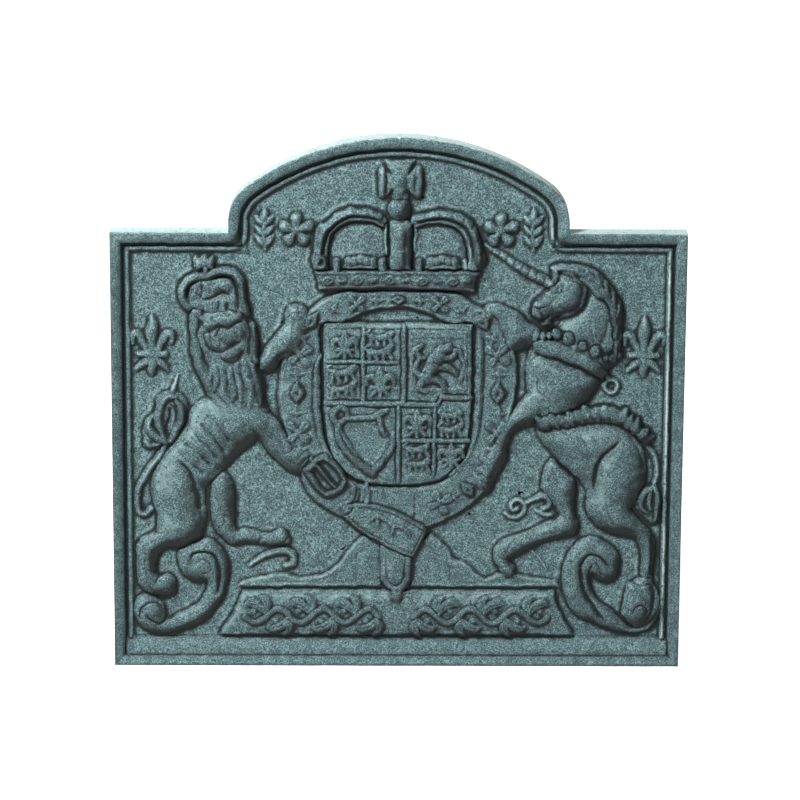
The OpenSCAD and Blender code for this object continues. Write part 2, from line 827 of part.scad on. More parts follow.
module unicorn_horn() {
    color(iron_worn)
        carved() limb([[160, 427, 6], [140, 437, 5.5], [118, 451, 4.5],
            [94, 468, 2.5]], limb_relief, 3);
}

module unicorn_mane() {
    color(iron)
        carved()
            limb([[172, 444, 5], [196, 440, 7], [214, 428, 9], [226, 408, 9], [232, 384, 8],
                [232, 364, 7], [232, 346, 6]], hair_relief + 1.5, 2);
}

module unicorn_collar() {
    band_r = 7;
    color(iron_worn)
        carved(body_relief - 2) {
            limb([[154, 357, band_r], [175, 352, band_r], [197, 340, band_r],
                [216, 327, band_r]], 3, 2);
            for (q = [[168, 368], [182, 366], [197, 356], [210, 348]]) {
                limb([[q[0], q[1] - 4, 5], [q[0], q[1] + 2, 5]], 3, 1);
            }
        }
}

module unicorn_raised_leg() {
    color(iron)
        over_strap()
            scale([fit_x, fit_z, 1])
                limb([[84, 390, 7], [96, 391, 10], [112, 389, 12], [124, 378, 17],
                    [132, 368, 16], [146, 364, 12]], limb_relief, 2);
}

module unicorn_fore_leg() {
    color(iron)
        over_strap()
            scale([fit_x, fit_z, 1])
                limb([[158, 296, 16], [146, 286, 15], [130, 273, 13], [117, 256, 12], [108, 238, 10],
                    [100, 218, 9], [95, 204, 8]], limb_relief, 2);
}

module unicorn_near_hind_leg() {
    color(iron)
        carved() {
            limb([[238, 200, 26], [230, 178, 22], [240, 162, 17], [262, 148, 13], [269, 128, 9],
                [269, 106, 9]], limb_relief, 2);
            limb([[269, 106, 9], [263, 86, 12], [264, 66, 14], [266, 58, 13]], limb_relief, 2);
        }
}

module unicorn_far_hind_leg() {
    color(iron)
        carved() {
            limb([[166, 216, 12], [184, 194, 14], [194, 168, 13], [178, 154, 10], [156, 147, 9],
                [134, 140, 10], [118, 128, 12], [114, 112, 9], [120, 106, 7]],
                limb_relief * 0.85, 2);
        }
}

module unicorn_fringe() {
    color(iron_worn)
        carved()
            limb([[154, 274, 5], [176, 275, 7], [200, 279, 9], [224, 282, 9], [246, 273, 9],
                [262, 258, 8], [272, 250, 6]], body_relief + 0.8, 2);
}

module unicorn_tail() {
    color(iron)
        carved()
            limb([[262, 256, 6], [272, 244, 5], [278, 226, 5], [275, 206, 5], [270, 188, 5],
                [276, 170, 4]], hair_relief, 2);
}

module unicorn_chain() {
    ring_r = 10;
    wire = 3;
    link_at = [227, 315];
    color(iron_worn)
        carved() {
            for (i = [0 : 11]) {
                limb([for (a = [i * 30, i * 30 + 30])
                    [link_at[0] + ring_r * cos(a), link_at[1] + ring_r * sin(a), wire]], hair_relief, 1);
            }
            limb([for (a = [0 : 40 : 520]) let (r = 16 - 13 * a / 560)
                [128 + r * cos(a), 178 + r * sin(a), 3.2]], hair_relief, 1);
            limb([[144, 180, 3.2], [150, 187, 4], [160, 190, 4], [166, 180, 4],
                [160, 170, 3.5]], hair_relief, 1);
        }
}

// ---- Foot scrolls, plinth and ground --------------------------------------------------------

module scroll_left() {
    color(iron)
        carved() {
            limb([[-238, 44, 9], [-221, 54, 9.5], [-205, 70, 10], [-194, 90, 10.5],
                [-190, 112, 9.5], [-200, 131, 9], [-218, 130, 7.5], [-228, 116, 7],
                [-222, 102, 6.5], [-211, 110, 7]], scroll_relief, 2);
            limb([[-238, 44, 9], [-256, 35, 9], [-271, 41, 8], [-277, 56, 6], [-272, 69, 6],
                [-260, 74, 6], [-251, 63, 5], [-258, 54, 6]], scroll_relief, 2);
        }
}

module scroll_right() {
    color(iron)
        carved() {
            limb([[244, 44, 9], [222, 54, 10], [203, 71, 11], [192, 92, 11], [190, 112, 10],
                [201, 134, 9], [219, 136, 8], [233, 122, 7], [231, 104, 7], [219, 110, 8]],
                scroll_relief, 2);
            limb([[244, 44, 9], [260, 39, 7], [273, 45, 6.5], [279, 60, 5]], scroll_relief, 2);
        }
}

// A plinth whose ends flare out at the foot in a hollow curve
plinth_end = open_curve([[plinth_top_w / 2, plinth_top_h],
    [plinth_top_w * 0.515, plinth_top_h - plinth_h * 0.35], [plinth_base_w / 2, plinth_base_h]], 4);

module plinth() {
    color(iron_worn)
        on_field()
            linear_extrude(plinth_t)
                polygon(concat(plinth_end, reversed(mirrored(plinth_end))));
}

// A running stem on each side of the middle, with a leaf at each bend
module plinth_ornament() {
    waves = 6;
    reach = plinth_top_w / 2 - plinth_h * 0.35;
    from_x = plinth_h * 0.35;
    wave = (reach - from_x) / waves;
    swing = plinth_h * 0.15;
    stem_r = plinth_h * 0.048;
    middle = plinth_base_h + plinth_h * 0.45;
    color(iron)
        on_field(plinth_t)
            for (side = [-1, 1]) {
                limb([for (k = [0 : 0.5 : waves])
                    [side * (from_x + wave * k), middle + swing * sin(360 * k / 2), stem_r]],
                    ornament_rise, 1);
                for (k = [0 : waves - 1]) {
                    lean = k % 2 == 0 ? 1 : -1;
                    limb([[side * (from_x + wave * (k + 0.2)), middle, stem_r],
                        [side * (from_x + wave * (k + 0.35)), middle + lean * plinth_h * 0.25,
                            stem_r * 1.6]], ornament_rise, 1);
                }
            }
}

// Low ground on each side, from the strap's end out to the supporters' feet
module ground() {
    base = plinth_top_h;
    left = fitted([[-24, 142], [-37, 148], [-50, 134], [-60, 120], [-68, 109], [-84, 101],
        [-112, 98], [-128, 103], [-160, 96]]);
    right = fitted([[24, 140], [37, 148], [52, 137], [60, 121], [72, 118], [84, 107], [97, 99],
        [108, 104], [140, 100]]);
    color(iron)
        on_field()
            linear_extrude(ground_t) {
                polygon(concat([[-20 * fit_x, base]], left, [[-172 * fit_x, base]]));
                polygon(concat([[20 * fit_x, base]], right, [[176 * fit_x, base]]));
            }
}

// ---- Loose ornaments ------------------------------------------------------------------------

module side_sprigs() {
    color(iron_worn)
        on_field()
            for (side = [-1, 1]) {
                translate([side * (half_w - bead_in - bead_w - side_sprig_w / 2),
                    shoulder_h - side_sprig_drop, 0])
                    scale([1, side_sprig_tall, 1])
                        lily(side_sprig_w, sprig_relief);
            }
}

// Rosettes and upright leaf sprays that fill the arch on each side of the crown
module arch_sprigs() {
    petals = 5;
    middle_h = shoulder_h + arch_sprig_up;
    color(iron_worn)
        on_field()
            for (side = [-1, 1]) {
                translate([side * rosette_out, middle_h, 0])
                    scale([fit_both, fit_both, 1])
                        for (i = [0 : petals - 1]) {
                            rotate(90 + 360 / petals * i)
                                limb([[4, 0, 4], [12, 0, 6]], sprig_relief, 1);
                        }
                translate([side * spray_out, middle_h, 0]) scale([fit_both, fit_both, 1]) {
                    limb([[0, -20, 2.5], [0, -4, 3.5], [0, 10, 4.5], [0, 22, 2.5]], sprig_relief, 1);
                    for (lift = [-12, 0, 11]) {
                        limb([[0, lift - 4, 2.5], [6, lift + 3, 3]], sprig_relief, 1);
                        limb([[0, lift - 4, 2.5], [-6, lift + 3, 3]], sprig_relief, 1);
                    }
                }
            }
}

plate();
rim_bottom();
rim_left();
rim_right();
rim_shoulder_left();
rim_shoulder_right();
rim_arch();
base_band();
bead_left();
bead_right();
bead_shoulder_left();
bead_shoulder_right();
bead_arch();
crown_circlet();
crown_arches();
crown_front_arch();
crown_caps();
crown_fleurons();
crown_orb();
crown_cross();
garter_strap();
garter_ornament();
garter_buckle();
strap_end();
pendant();
shield();
shield_quartering();
charge_quarter_1();
charge_quarter_2();
charge_quarter_3();
charge_quarter_4();
lion_body();
lion_mane();
lion_head();
lion_crown();
lion_raised_leg();
lion_fore_leg();
lion_near_hind_leg();
lion_far_hind_leg();
lion_tail();
unicorn_body();
unicorn_head();
unicorn_horn();
unicorn_mane();
unicorn_collar();
unicorn_raised_leg();
unicorn_fore_leg();
unicorn_near_hind_leg();
unicorn_far_hind_leg();
unicorn_fringe();
unicorn_tail();
unicorn_chain();
scroll_left();
scroll_right();
plinth();
plinth_ornament();
ground();
side_sprigs();
arch_sprigs();
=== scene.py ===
"""Cast-iron fireback: the looks of its plate, border and low-relief carving.

The plate stands on a plain floor in soft studio light. Every carved piece is a height field over
the plate's front, modelled from strokes, swells, mounds and grooves as a pattern carver would cut
them, and meshed as a closed shell that sinks into what carries it. The border, the bead and all
ornaments that repeat are swept or scattered with Geometry Nodes. All carving sizes are in
millimetres above the field, with x to the right and z up; meshes are in metres.
"""

import logging
import math
from collections.abc import Callable, Iterator, Sequence
from dataclasses import dataclass
from enum import Enum

import bmesh
import bpy
import numpy as np
from mathutils import Matrix, Vector

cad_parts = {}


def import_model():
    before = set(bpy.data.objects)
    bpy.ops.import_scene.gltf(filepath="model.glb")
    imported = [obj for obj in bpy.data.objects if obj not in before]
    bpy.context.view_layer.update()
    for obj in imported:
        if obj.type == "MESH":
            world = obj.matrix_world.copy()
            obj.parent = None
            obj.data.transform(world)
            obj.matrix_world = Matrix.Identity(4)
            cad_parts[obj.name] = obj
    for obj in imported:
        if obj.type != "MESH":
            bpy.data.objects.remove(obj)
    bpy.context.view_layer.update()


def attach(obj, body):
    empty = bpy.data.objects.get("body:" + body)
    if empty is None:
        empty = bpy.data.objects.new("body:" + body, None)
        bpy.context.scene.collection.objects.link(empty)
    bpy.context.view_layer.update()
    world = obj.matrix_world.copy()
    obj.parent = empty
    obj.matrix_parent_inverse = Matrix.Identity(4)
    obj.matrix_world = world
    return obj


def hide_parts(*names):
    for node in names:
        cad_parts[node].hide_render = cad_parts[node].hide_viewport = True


log = logging.getLogger("fireback")

Point = tuple[float, float]
Touch = tuple[float, float, float]
Box = tuple[float, float, float, float]

MM = 0.001
SEED = 29
# Heights in mm. The field is at 0, and no carving passes the border's face
FIELD_T = 16.0
FRONT = 24.95 - FIELD_T
# A sheet where nothing is carved, a shell's hidden back, and what lies beyond a mark or the plate
SUNK = -1.2
BACKED = -1.7
OUTSIDE = -9.0
# How steeply a mark's side falls away below what carries it, and the half width of a lip
SIDE = 1.6
LIP_HALF = 1.3


# ---- Small curve and raster tools ---------------------------------------------------------


def smooth_path(points: Sequence[Sequence[float]], closed: bool = False, steps: int = 6) -> np.ndarray:
    """Runs a smooth curve through control points.

    Args:
        points: Control points, all of one length (2 or 3 numbers).
        closed: Whether the curve comes back to its first point.
        steps: Pieces between one control point and the next.

    Returns:
        The curve's points, one row each.
    """
    p = np.asarray(points, float)
    n = len(p)
    if closed:
        before, after, after2 = np.roll(p, 1, 0), np.roll(p, -1, 0), np.roll(p, -2, 0)
        spans = range(n)
    else:
        before = np.vstack([p[:1], p[:-1]])
        after = np.vstack([p[1:], p[-1:]])
        after2 = np.vstack([p[2:], p[-1:], p[-1:]])
        spans = range(n - 1)
    out = []
    for i in spans:
        t = np.linspace(0, 1, steps, endpoint=False)[:, None]
        a, b, c, d = before[i], p[i], after[i], after2[i]
        curve = 2 * b + (c - a) * t + (2 * a - 5 * b + 4 * c - d) * t**2 + (3 * b - a - 3 * c + d) * t**3
        out.append(0.5 * curve)
    if not closed:
        out.append(p[-1:])
    return np.vstack(out)


def closed_line(outline: Sequence[Point], smooth: bool) -> np.ndarray:
    """An outline's points, on a smooth curve or just as they are."""
    return smooth_path(outline, True, 4) if smooth else np.asarray(outline, float)


def mirrored(points: Sequence[Sequence[float]]) -> list[tuple[float, ...]]:
    """Gives the same points on the other side of the plate's middle line."""
    return [(-p[0], *p[1:]) for p in points]


def room(points: Sequence[Sequence[float]], margin: float) -> Box:
    """Finds the part of the plate that some points take up.

    Args:
        points: The points, whose first two numbers are x and z.
        margin: Room to leave round them.

    Returns:
        The least and greatest x, then the least and greatest z.
    """
    p = np.asarray(points, float)
    low, high = p[:, :2].min(0) - margin, p[:, :2].max(0) + margin
    return low[0], high[0], low[1], high[1]


def eased(values: np.ndarray, start: float, width: float) -> np.ndarray:
    """Rises from 0 at the start to 1 a width further on."""
    return np.clip((values - start) / width, 0, 1)


def spans_of(path: np.ndarray, x: np.ndarray, z: np.ndarray) -> Iterator[tuple]:
    """Goes along a path's spans and measures each place against every one.

    Args:
        path: The path's points, one row each.
        x: Places across the plate.
        z: Places up the plate.

    Yields:
        The span's number and two ends, how far along it each place lies (0 to 1), and the square
        of each place's distance from it.
    """
    for k, (a, b) in enumerate(zip(path, path[1:])):
        ex, ez = b[:2] - a[:2]
        length2 = float(ex * ex + ez * ez)
        if length2 < 1e-9:
            continue
        t = np.clip(((x - a[0]) * ex + (z - a[1]) * ez) / length2, 0, 1)
        yield k, a, b, t, (x - a[0] - t * ex) ** 2 + (z - a[1] - t * ez) ** 2


def depth_inside(outline: np.ndarray, x: np.ndarray, z: np.ndarray) -> np.ndarray:
    """Measures how far each place is inside an outline.

    Args:
        outline: The closed outline's points, one row each.
        x: Places across the plate.
        z: Places up the plate.

    Returns:
        The distance to the outline, positive inside it and negative outside.
    """
    best = np.full(x.shape, 1e9)
    inside = np.zeros(x.shape, bool)
    for _, a, b, _, d2 in spans_of(np.vstack([outline, outline[:1]]), x, z):
        np.minimum(best, d2, out=best)
        if a[1] != b[1]:
            crosses = (a[1] > z) != (b[1] > z)
            inside ^= crosses & (x < a[0] + (z - a[1]) * (b[0] - a[0]) / (b[1] - a[1]))
    return np.where(inside, 1, -1) * np.sqrt(best)


def blurred(h: np.ndarray, sigma: float) -> np.ndarray:
    """Softens a height field.

    Args:
        h: The heights.
        sigma: Reach of the blur in cells.

    Returns:
        The softened heights.
    """
    reach = max(1, int(round(sigma * 2.5)))
    k = np.arange(-reach, reach + 1)
    w = np.exp(-0.5 * (k / max(sigma, 1e-6)) ** 2)
    w /= w.sum()
    for axis in (0, 1):
        padded = np.pad(h, [(reach, reach) if a == axis else (0, 0) for a in (0, 1)], mode="edge")
        size = h.shape[axis]
        h = sum(wi * np.take(padded, range(i, i + size), axis) for i, wi in enumerate(w))
    return h


def between(grid: np.ndarray, u: np.ndarray, v: np.ndarray) -> np.ndarray:
    """Reads a grid between its cells.

    Args:
        grid: The grid.
        u: Places along its rows, in cells.
        v: Places along its columns, in cells.

    Returns:
        The values at those places, or at the nearest edge.
    """
    u = np.clip(u, 0, grid.shape[1] - 1.001)
    v = np.clip(v, 0, grid.shape[0] - 1.001)
    i, j = u.astype(int), v.astype(int)
    fu, fv = u - i, v - j
    low = grid[j, i] * (1 - fu) + grid[j, i + 1] * fu
    high = grid[j + 1, i] * (1 - fu) + grid[j + 1, i + 1] * fu
    return low * (1 - fv) + high * fv


class Grain:
    """Seeded smooth noise over the plate, the same wherever it is asked for."""

    CELLS = 256

    def __init__(self, cell: float, seed: int) -> None:
        """Draws the noise.

        Args:
            cell: Width of its lumps, in mm.
            seed: Seed of its draw.
        """
        self.cell = cell
        self.lattice = np.random.default_rng(seed).uniform(-1, 1, (self.CELLS, self.CELLS))

    def at(self, x: np.ndarray, z: np.ndarray) -> np.ndarray:
        """Reads the noise.

        Args:
            x: Places across the plate.
            z: Places up the plate.

        Returns:
            The noise there, from -1 to 1.
        """
        u, v = x / self.cell + 1000.0, z / self.cell + 1000.0
        i, j = np.floor(u).astype(int), np.floor(v).astype(int)
        fu, fv = u - i, v - j
        fu, fv = fu * fu * (3 - 2 * fu), fv * fv * (3 - 2 * fv)
        a = self.lattice[i % self.CELLS, j % self.CELLS]
        b = self.lattice[(i + 1) % self.CELLS, j % self.CELLS]
        c = self.lattice[i % self.CELLS, (j + 1) % self.CELLS]
        d = self.lattice[(i + 1) % self.CELLS, (j + 1) % self.CELLS]
        return (a * (1 - fu) + b * fu) * (1 - fv) + (c * (1 - fu) + d * fu) * fv


# The carver's hand: noises, and how far in mm each moves a line. Its straying up is read that far
# aside of its straying across
HAND = (Grain(10.0, SEED + 5), 0.8), (Grain(3.8, SEED + 6), 0.45)
ASIDE = 500.0


def wander(x: np.ndarray, z: np.ndarray) -> tuple[np.ndarray, ...]:
    """How far a carved line strays across and up, in mm, at the given places."""
    return tuple(sum(share * grain.at(x + far, z) for grain, share in HAND) for far in (0.0, ASIDE))


class CastSkin:
    """The uneven skin that the sand leaves: long waves, lumps and pits."""

    def __init__(self) -> None:
        """Draws its three noises."""
        self.waves = Grain(19.0, SEED)
        self.lumps = Grain(6.5, SEED + 1)
        self.pits = Grain(2.9, SEED + 2)

    def at(self, x: np.ndarray, z: np.ndarray, share: float = 1.0) -> np.ndarray:
        """Measures how far the skin stands out.

        Args:
            x: Places across the plate.
            z: Places up the plate.
            share: How much of the long waves to keep; carving has less than the bare field.

        Returns:
            Its height in mm, above and below an even skin.
        """
        return 0.4 * share * self.waves.at(x, z) + 0.26 * self.lumps.at(x, z) + 0.14 * self.pits.at(x, z)


# ---- Carving: marks on a sheet ------------------------------------------------------------


class Sheet:
    """A window of the plate's front, with the height of the carving at each of its places."""

    def __init__(self, box: Box, pitch: float) -> None:
        """Starts with nothing carved.

        Args:
            box: The window's least and greatest x, then its least and greatest z.
            pitch: Spacing of its places.
        """
        x0, x1, z0, z1 = box
        self.pitch = pitch
        self.xs = np.arange(math.floor(x0 / pitch), math.ceil(x1 / pitch) + 1) * pitch
        self.zs = np.arange(math.floor(z0 / pitch), math.ceil(z1 / pitch) + 1) * pitch
        self.h = np.full((len(self.zs), len(self.xs)), SUNK)
        # The carver's hand is not quite steady, so every line wanders a little
        x, z = np.meshgrid(self.xs, self.zs)
        across, up = wander(x, z)
        self.x, self.z = x + across, z + up

    def part(self, x0: float, x1: float, z0: float, z1: float) -> tuple:
        """Finds the part of the sheet inside a box.

        Args:
            x0: The box's least x.
            x1: Its greatest x.
            z0: Its least z.
            z1: Its greatest z.

        Returns:
            The part's index in the sheet, and the x and the z of its places.
        """
        i0, i1 = np.searchsorted(self.xs, [x0, x1])
        j0, j1 = np.searchsorted(self.zs, [z0, z1])
        at = slice(j0, j1), slice(i0, i1)
        return at, self.x[at], self.z[at]


def swollen(depth: np.ndarray, rise: float, reach: float) -> np.ndarray:
    """Height of a mass: a rounded edge, and on a broad one a dome that goes on rising behind it.

    Args:
        depth: Distance inside its outline, negative outside.
        rise: Height of its top.
        reach: Distance inside the outline at which the dome is about full.

    Returns:
        The height at each place.
    """
    domed = min(max((reach - 4) / 8, 0), 0.55)
    u = np.clip(depth / (reach * (1 - domed) + 3 * domed), 0, 1)
    v = np.clip(depth / (reach * 1.4), 0, 1)
    inside = rise * ((1 - domed) * np.sqrt(u * (2 - u)) + domed * v * (2 - v))
    return np.where(depth > 0, inside, np.maximum(depth * SIDE, SUNK))


def lip_at(depth: np.ndarray, rise: float, inset: float) -> np.ndarray:
    """Height of a rounded lip that follows an outline at a distance inside it."""
    return rise * np.exp(-(((depth - inset) / LIP_HALF) ** 2))


def joined(a: np.ndarray, b: np.ndarray, soft: float) -> np.ndarray:
    """Joins two shapes.

    Args:
        a: Heights of the one.
        b: Heights of the other.
        soft: Difference in height below which the valley between them is filled a little.

    Returns:
        The higher of the two, with a soft valley where they cross.
    """
    top = np.maximum(a, b)
    if soft <= 0:
        return top
    near = np.clip(1 - np.abs(a - b) / soft, 0, 1)
    return top + np.where(top > 0, near**2 * soft * 0.25, 0)


@dataclass(frozen=True)
class Stroke:
    """A rounded limb, lock or rib.

    Attributes:
        touches: Places that it runs through, as x, z and half width.
        rise: Height of its top.
        soft: How softly it joins what is there.
        steps: Pieces between one touch and the next.
        seat: Height that its sides stand on, for a rib on top of something broader.
    """

    touches: Sequence[Touch]
    rise: float
    soft: float = 1.2
    steps: int = 6
    seat: float = 0.0

    def box(self) -> Box:
        """The part of the plate that the mark needs."""
        return room(self.touches, max(t[2] for t in self.touches) + 2.5)

    def carve(self, sheet: Sheet) -> None:
        """Raises the sheet along the stroke.

        Args:
            sheet: The sheet to carve.
        """
        at, x, z = sheet.part(*self.box())
        best = np.full(x.shape, OUTSIDE)
        for _, a, b, t, d2 in spans_of(smooth_path(self.touches, steps=self.steps), x, z):
            r = np.maximum(a[2] + t * (b[2] - a[2]), 0.4)
            d = np.sqrt(d2)
            u = np.clip(1 - d / r, 0, 1)
            round_top = np.sqrt(u * (2 - u))
            if self.seat:
                inside = self.seat + (self.rise - self.seat) * round_top
                outside = OUTSIDE
            else:
                inside = self.rise * (1 - np.exp(-1.25 * r / max(self.rise, 0.1))) * round_top
                outside = np.maximum((r - d) * SIDE, SUNK)
            best = np.maximum(best, np.where(d < r, inside, outside))
        sheet.h[at] = joined(sheet.h[at], best, self.soft)


@dataclass(frozen=True)
class Swell:
    """A mass with rounded sides.

    Attributes:
        outline: Its closed outline.
        rise: Height of its top.
        reach: Distance inside the outline at which its dome is about full.
        soft: How softly it joins what is there.
        smooth: Whether the outline is a smooth curve.
        lip: Height of a lip along the outline.
        lip_in: Distance of the lip inside the outline.
    """

    outline: Sequence[Point]
    rise: float
    reach: float
    soft: float = 1.0
    smooth: bool = True
    lip: float = 0.0
    lip_in: float = 2.2

    def box(self) -> Box:
        """The part of the plate that the mark needs."""
        return room(self.outline, 4)

    def carve(self, sheet: Sheet) -> None:
        """Raises the sheet inside the outline.

        Args:
            sheet: The sheet to carve.
        """
        at, x, z = sheet.part(*self.box())
        depth = depth_inside(closed_line(self.outline, self.smooth), x, z)
        h = swollen(depth, self.rise, self.reach) + lip_at(depth, self.lip, self.lip_in)
        sheet.h[at] = joined(sheet.h[at], h, self.soft)


@dataclass(frozen=True)
class Opening:
    """An opening cut right through the sheet.

    Attributes:
        outline: Its closed outline.
        lip: Height of a lip round it.
        lip_in: Distance of the lip outside the opening.
        smooth: Whether the outline is a smooth curve.
    """

    outline: Sequence[Point]
    lip: float = 0.0
    lip_in: float = 2.2
    smooth: bool = True

    def box(self) -> Box:
        """The part of the plate that the mark needs."""
        return room(self.outline, 8)

    def carve(self, sheet: Sheet) -> None:
        """Cuts the sheet away inside the outline.

        Args:
            sheet: The sheet to carve.
        """
        at, x, z = sheet.part(*self.box())
        depth = -depth_inside(closed_line(self.outline, self.smooth), x, z)
        h = np.minimum(sheet.h[at], swollen(depth, 99.0, 60.0))
        sheet.h[at] = h + np.where(h > 0, lip_at(depth, self.lip, self.lip_in), 0)


@dataclass(frozen=True)
class Mound:
    """A soft muscle, or a hollow where its lift is negative, on what is already there.

    Attributes:
        x: Its middle, across the plate.
        z: Its middle, up the plate.
        reach_x: How far it spreads along itself.
        reach_z: How far it spreads across itself.
        lift: Its height.
        turn: Its slant in degrees.
    """

    x: float
    z: float
    reach_x: float
    reach_z: float
    lift: float
    turn: float = 0.0

    def box(self) -> Box:
        """The part of the plate that the mark needs."""
        return room([(self.x, self.z)], 2.6 * max(self.reach_x, self.reach_z))

    def carve(self, sheet: Sheet) -> None:
        """Lifts the sheet where it is already raised.

        Args:
            sheet: The sheet to carve.
        """
        at, x, z = sheet.part(*self.box())
        c, s = math.cos(math.radians(self.turn)), math.sin(math.radians(self.turn))
        u = ((x - self.x) * c + (z - self.z) * s) / self.reach_x
        v = (-(x - self.x) * s + (z - self.z) * c) / self.reach_z
        sheet.h[at] += self.lift * eased(sheet.h[at], 0, 2.5) * np.exp(-(u**2 + v**2))


@dataclass(frozen=True)
class Groove:
    """A line cut into what is already there, or a fine ridge where its depth is negative.

    Attributes:
        path: Places that it runs through.
        depth: Depth of its middle.
        width: About half of its width.
    """

    path: Sequence[Point]
    depth: float = 1.4
    width: float = 1.6

    def box(self) -> Box:
        """The part of the plate that the mark needs."""
        return room(self.path, self.width * 3 + 1)

    def carve(self, sheet: Sheet) -> None:
        """Cuts the line, fading at its ends.

        Args:
            sheet: The sheet to carve.
        """
        at, x, z = sheet.part(*self.box())
        path = smooth_path(self.path, steps=5)
        cut = np.zeros(x.shape)
        for k, _, _, t, d2 in spans_of(path, x, z):
            along = (k + t) / (len(path) - 1)
            fade = np.clip(np.minimum(along, 1 - along) * 5 + 0.25, 0, 1)
            cut = np.maximum(cut, fade * np.exp(-d2 / self.width**2))
        amount = 1.0 if self.depth < 0 else np.clip(sheet.h[at] / 1.5 + 0.2, 0, 1)
        sheet.h[at] -= self.depth * cut * amount


@dataclass(frozen=True)
class Soften:
    """Rounds off all that has been carved so far, as sand and wear do."""

    sigma: float

    def box(self) -> None:
        """The mark needs no room of its own."""

    def carve(self, sheet: Sheet) -> None:
        """Blurs the whole sheet a little."""
        sheet.h = blurred(sheet.h, self.sigma / sheet.pitch)


Mark = Stroke | Swell | Opening | Mound | Groove | Soften


# ---- Carved pieces ------------------------------------------------------------------------


@dataclass
class Relief:
    """One carved piece: the pattern part that it stands for and the marks that shape it.

    Attributes:
        node: Name of the CAD node that it replaces.
        marks: The carver's marks, in order.
        base: Height above the field of what it is seated on.
        pitch: Spacing of its surface points.
        skin: How much of the sand's unevenness shows on it.
    """

    node: str
    marks: list[Mark]
    base: float = 0.0
    pitch: float = 0.9
    skin: float = 0.55

    def sheet(self) -> Sheet:
        """Carves the piece.

        Returns:
            A sheet of its own, with heights above its base.
        """
        boxes = np.array([m.box() for m in self.marks if m.box() is not None])
        box = boxes[:, 0].min(), boxes[:, 1].max(), boxes[:, 2].min(), boxes[:, 3].max()
        sheet = Sheet(box, self.pitch)
        for mark in self.marks:
            mark.carve(sheet)
        np.clip(sheet.h, SUNK, FRONT - self.base, out=sheet.h)
        return sheet


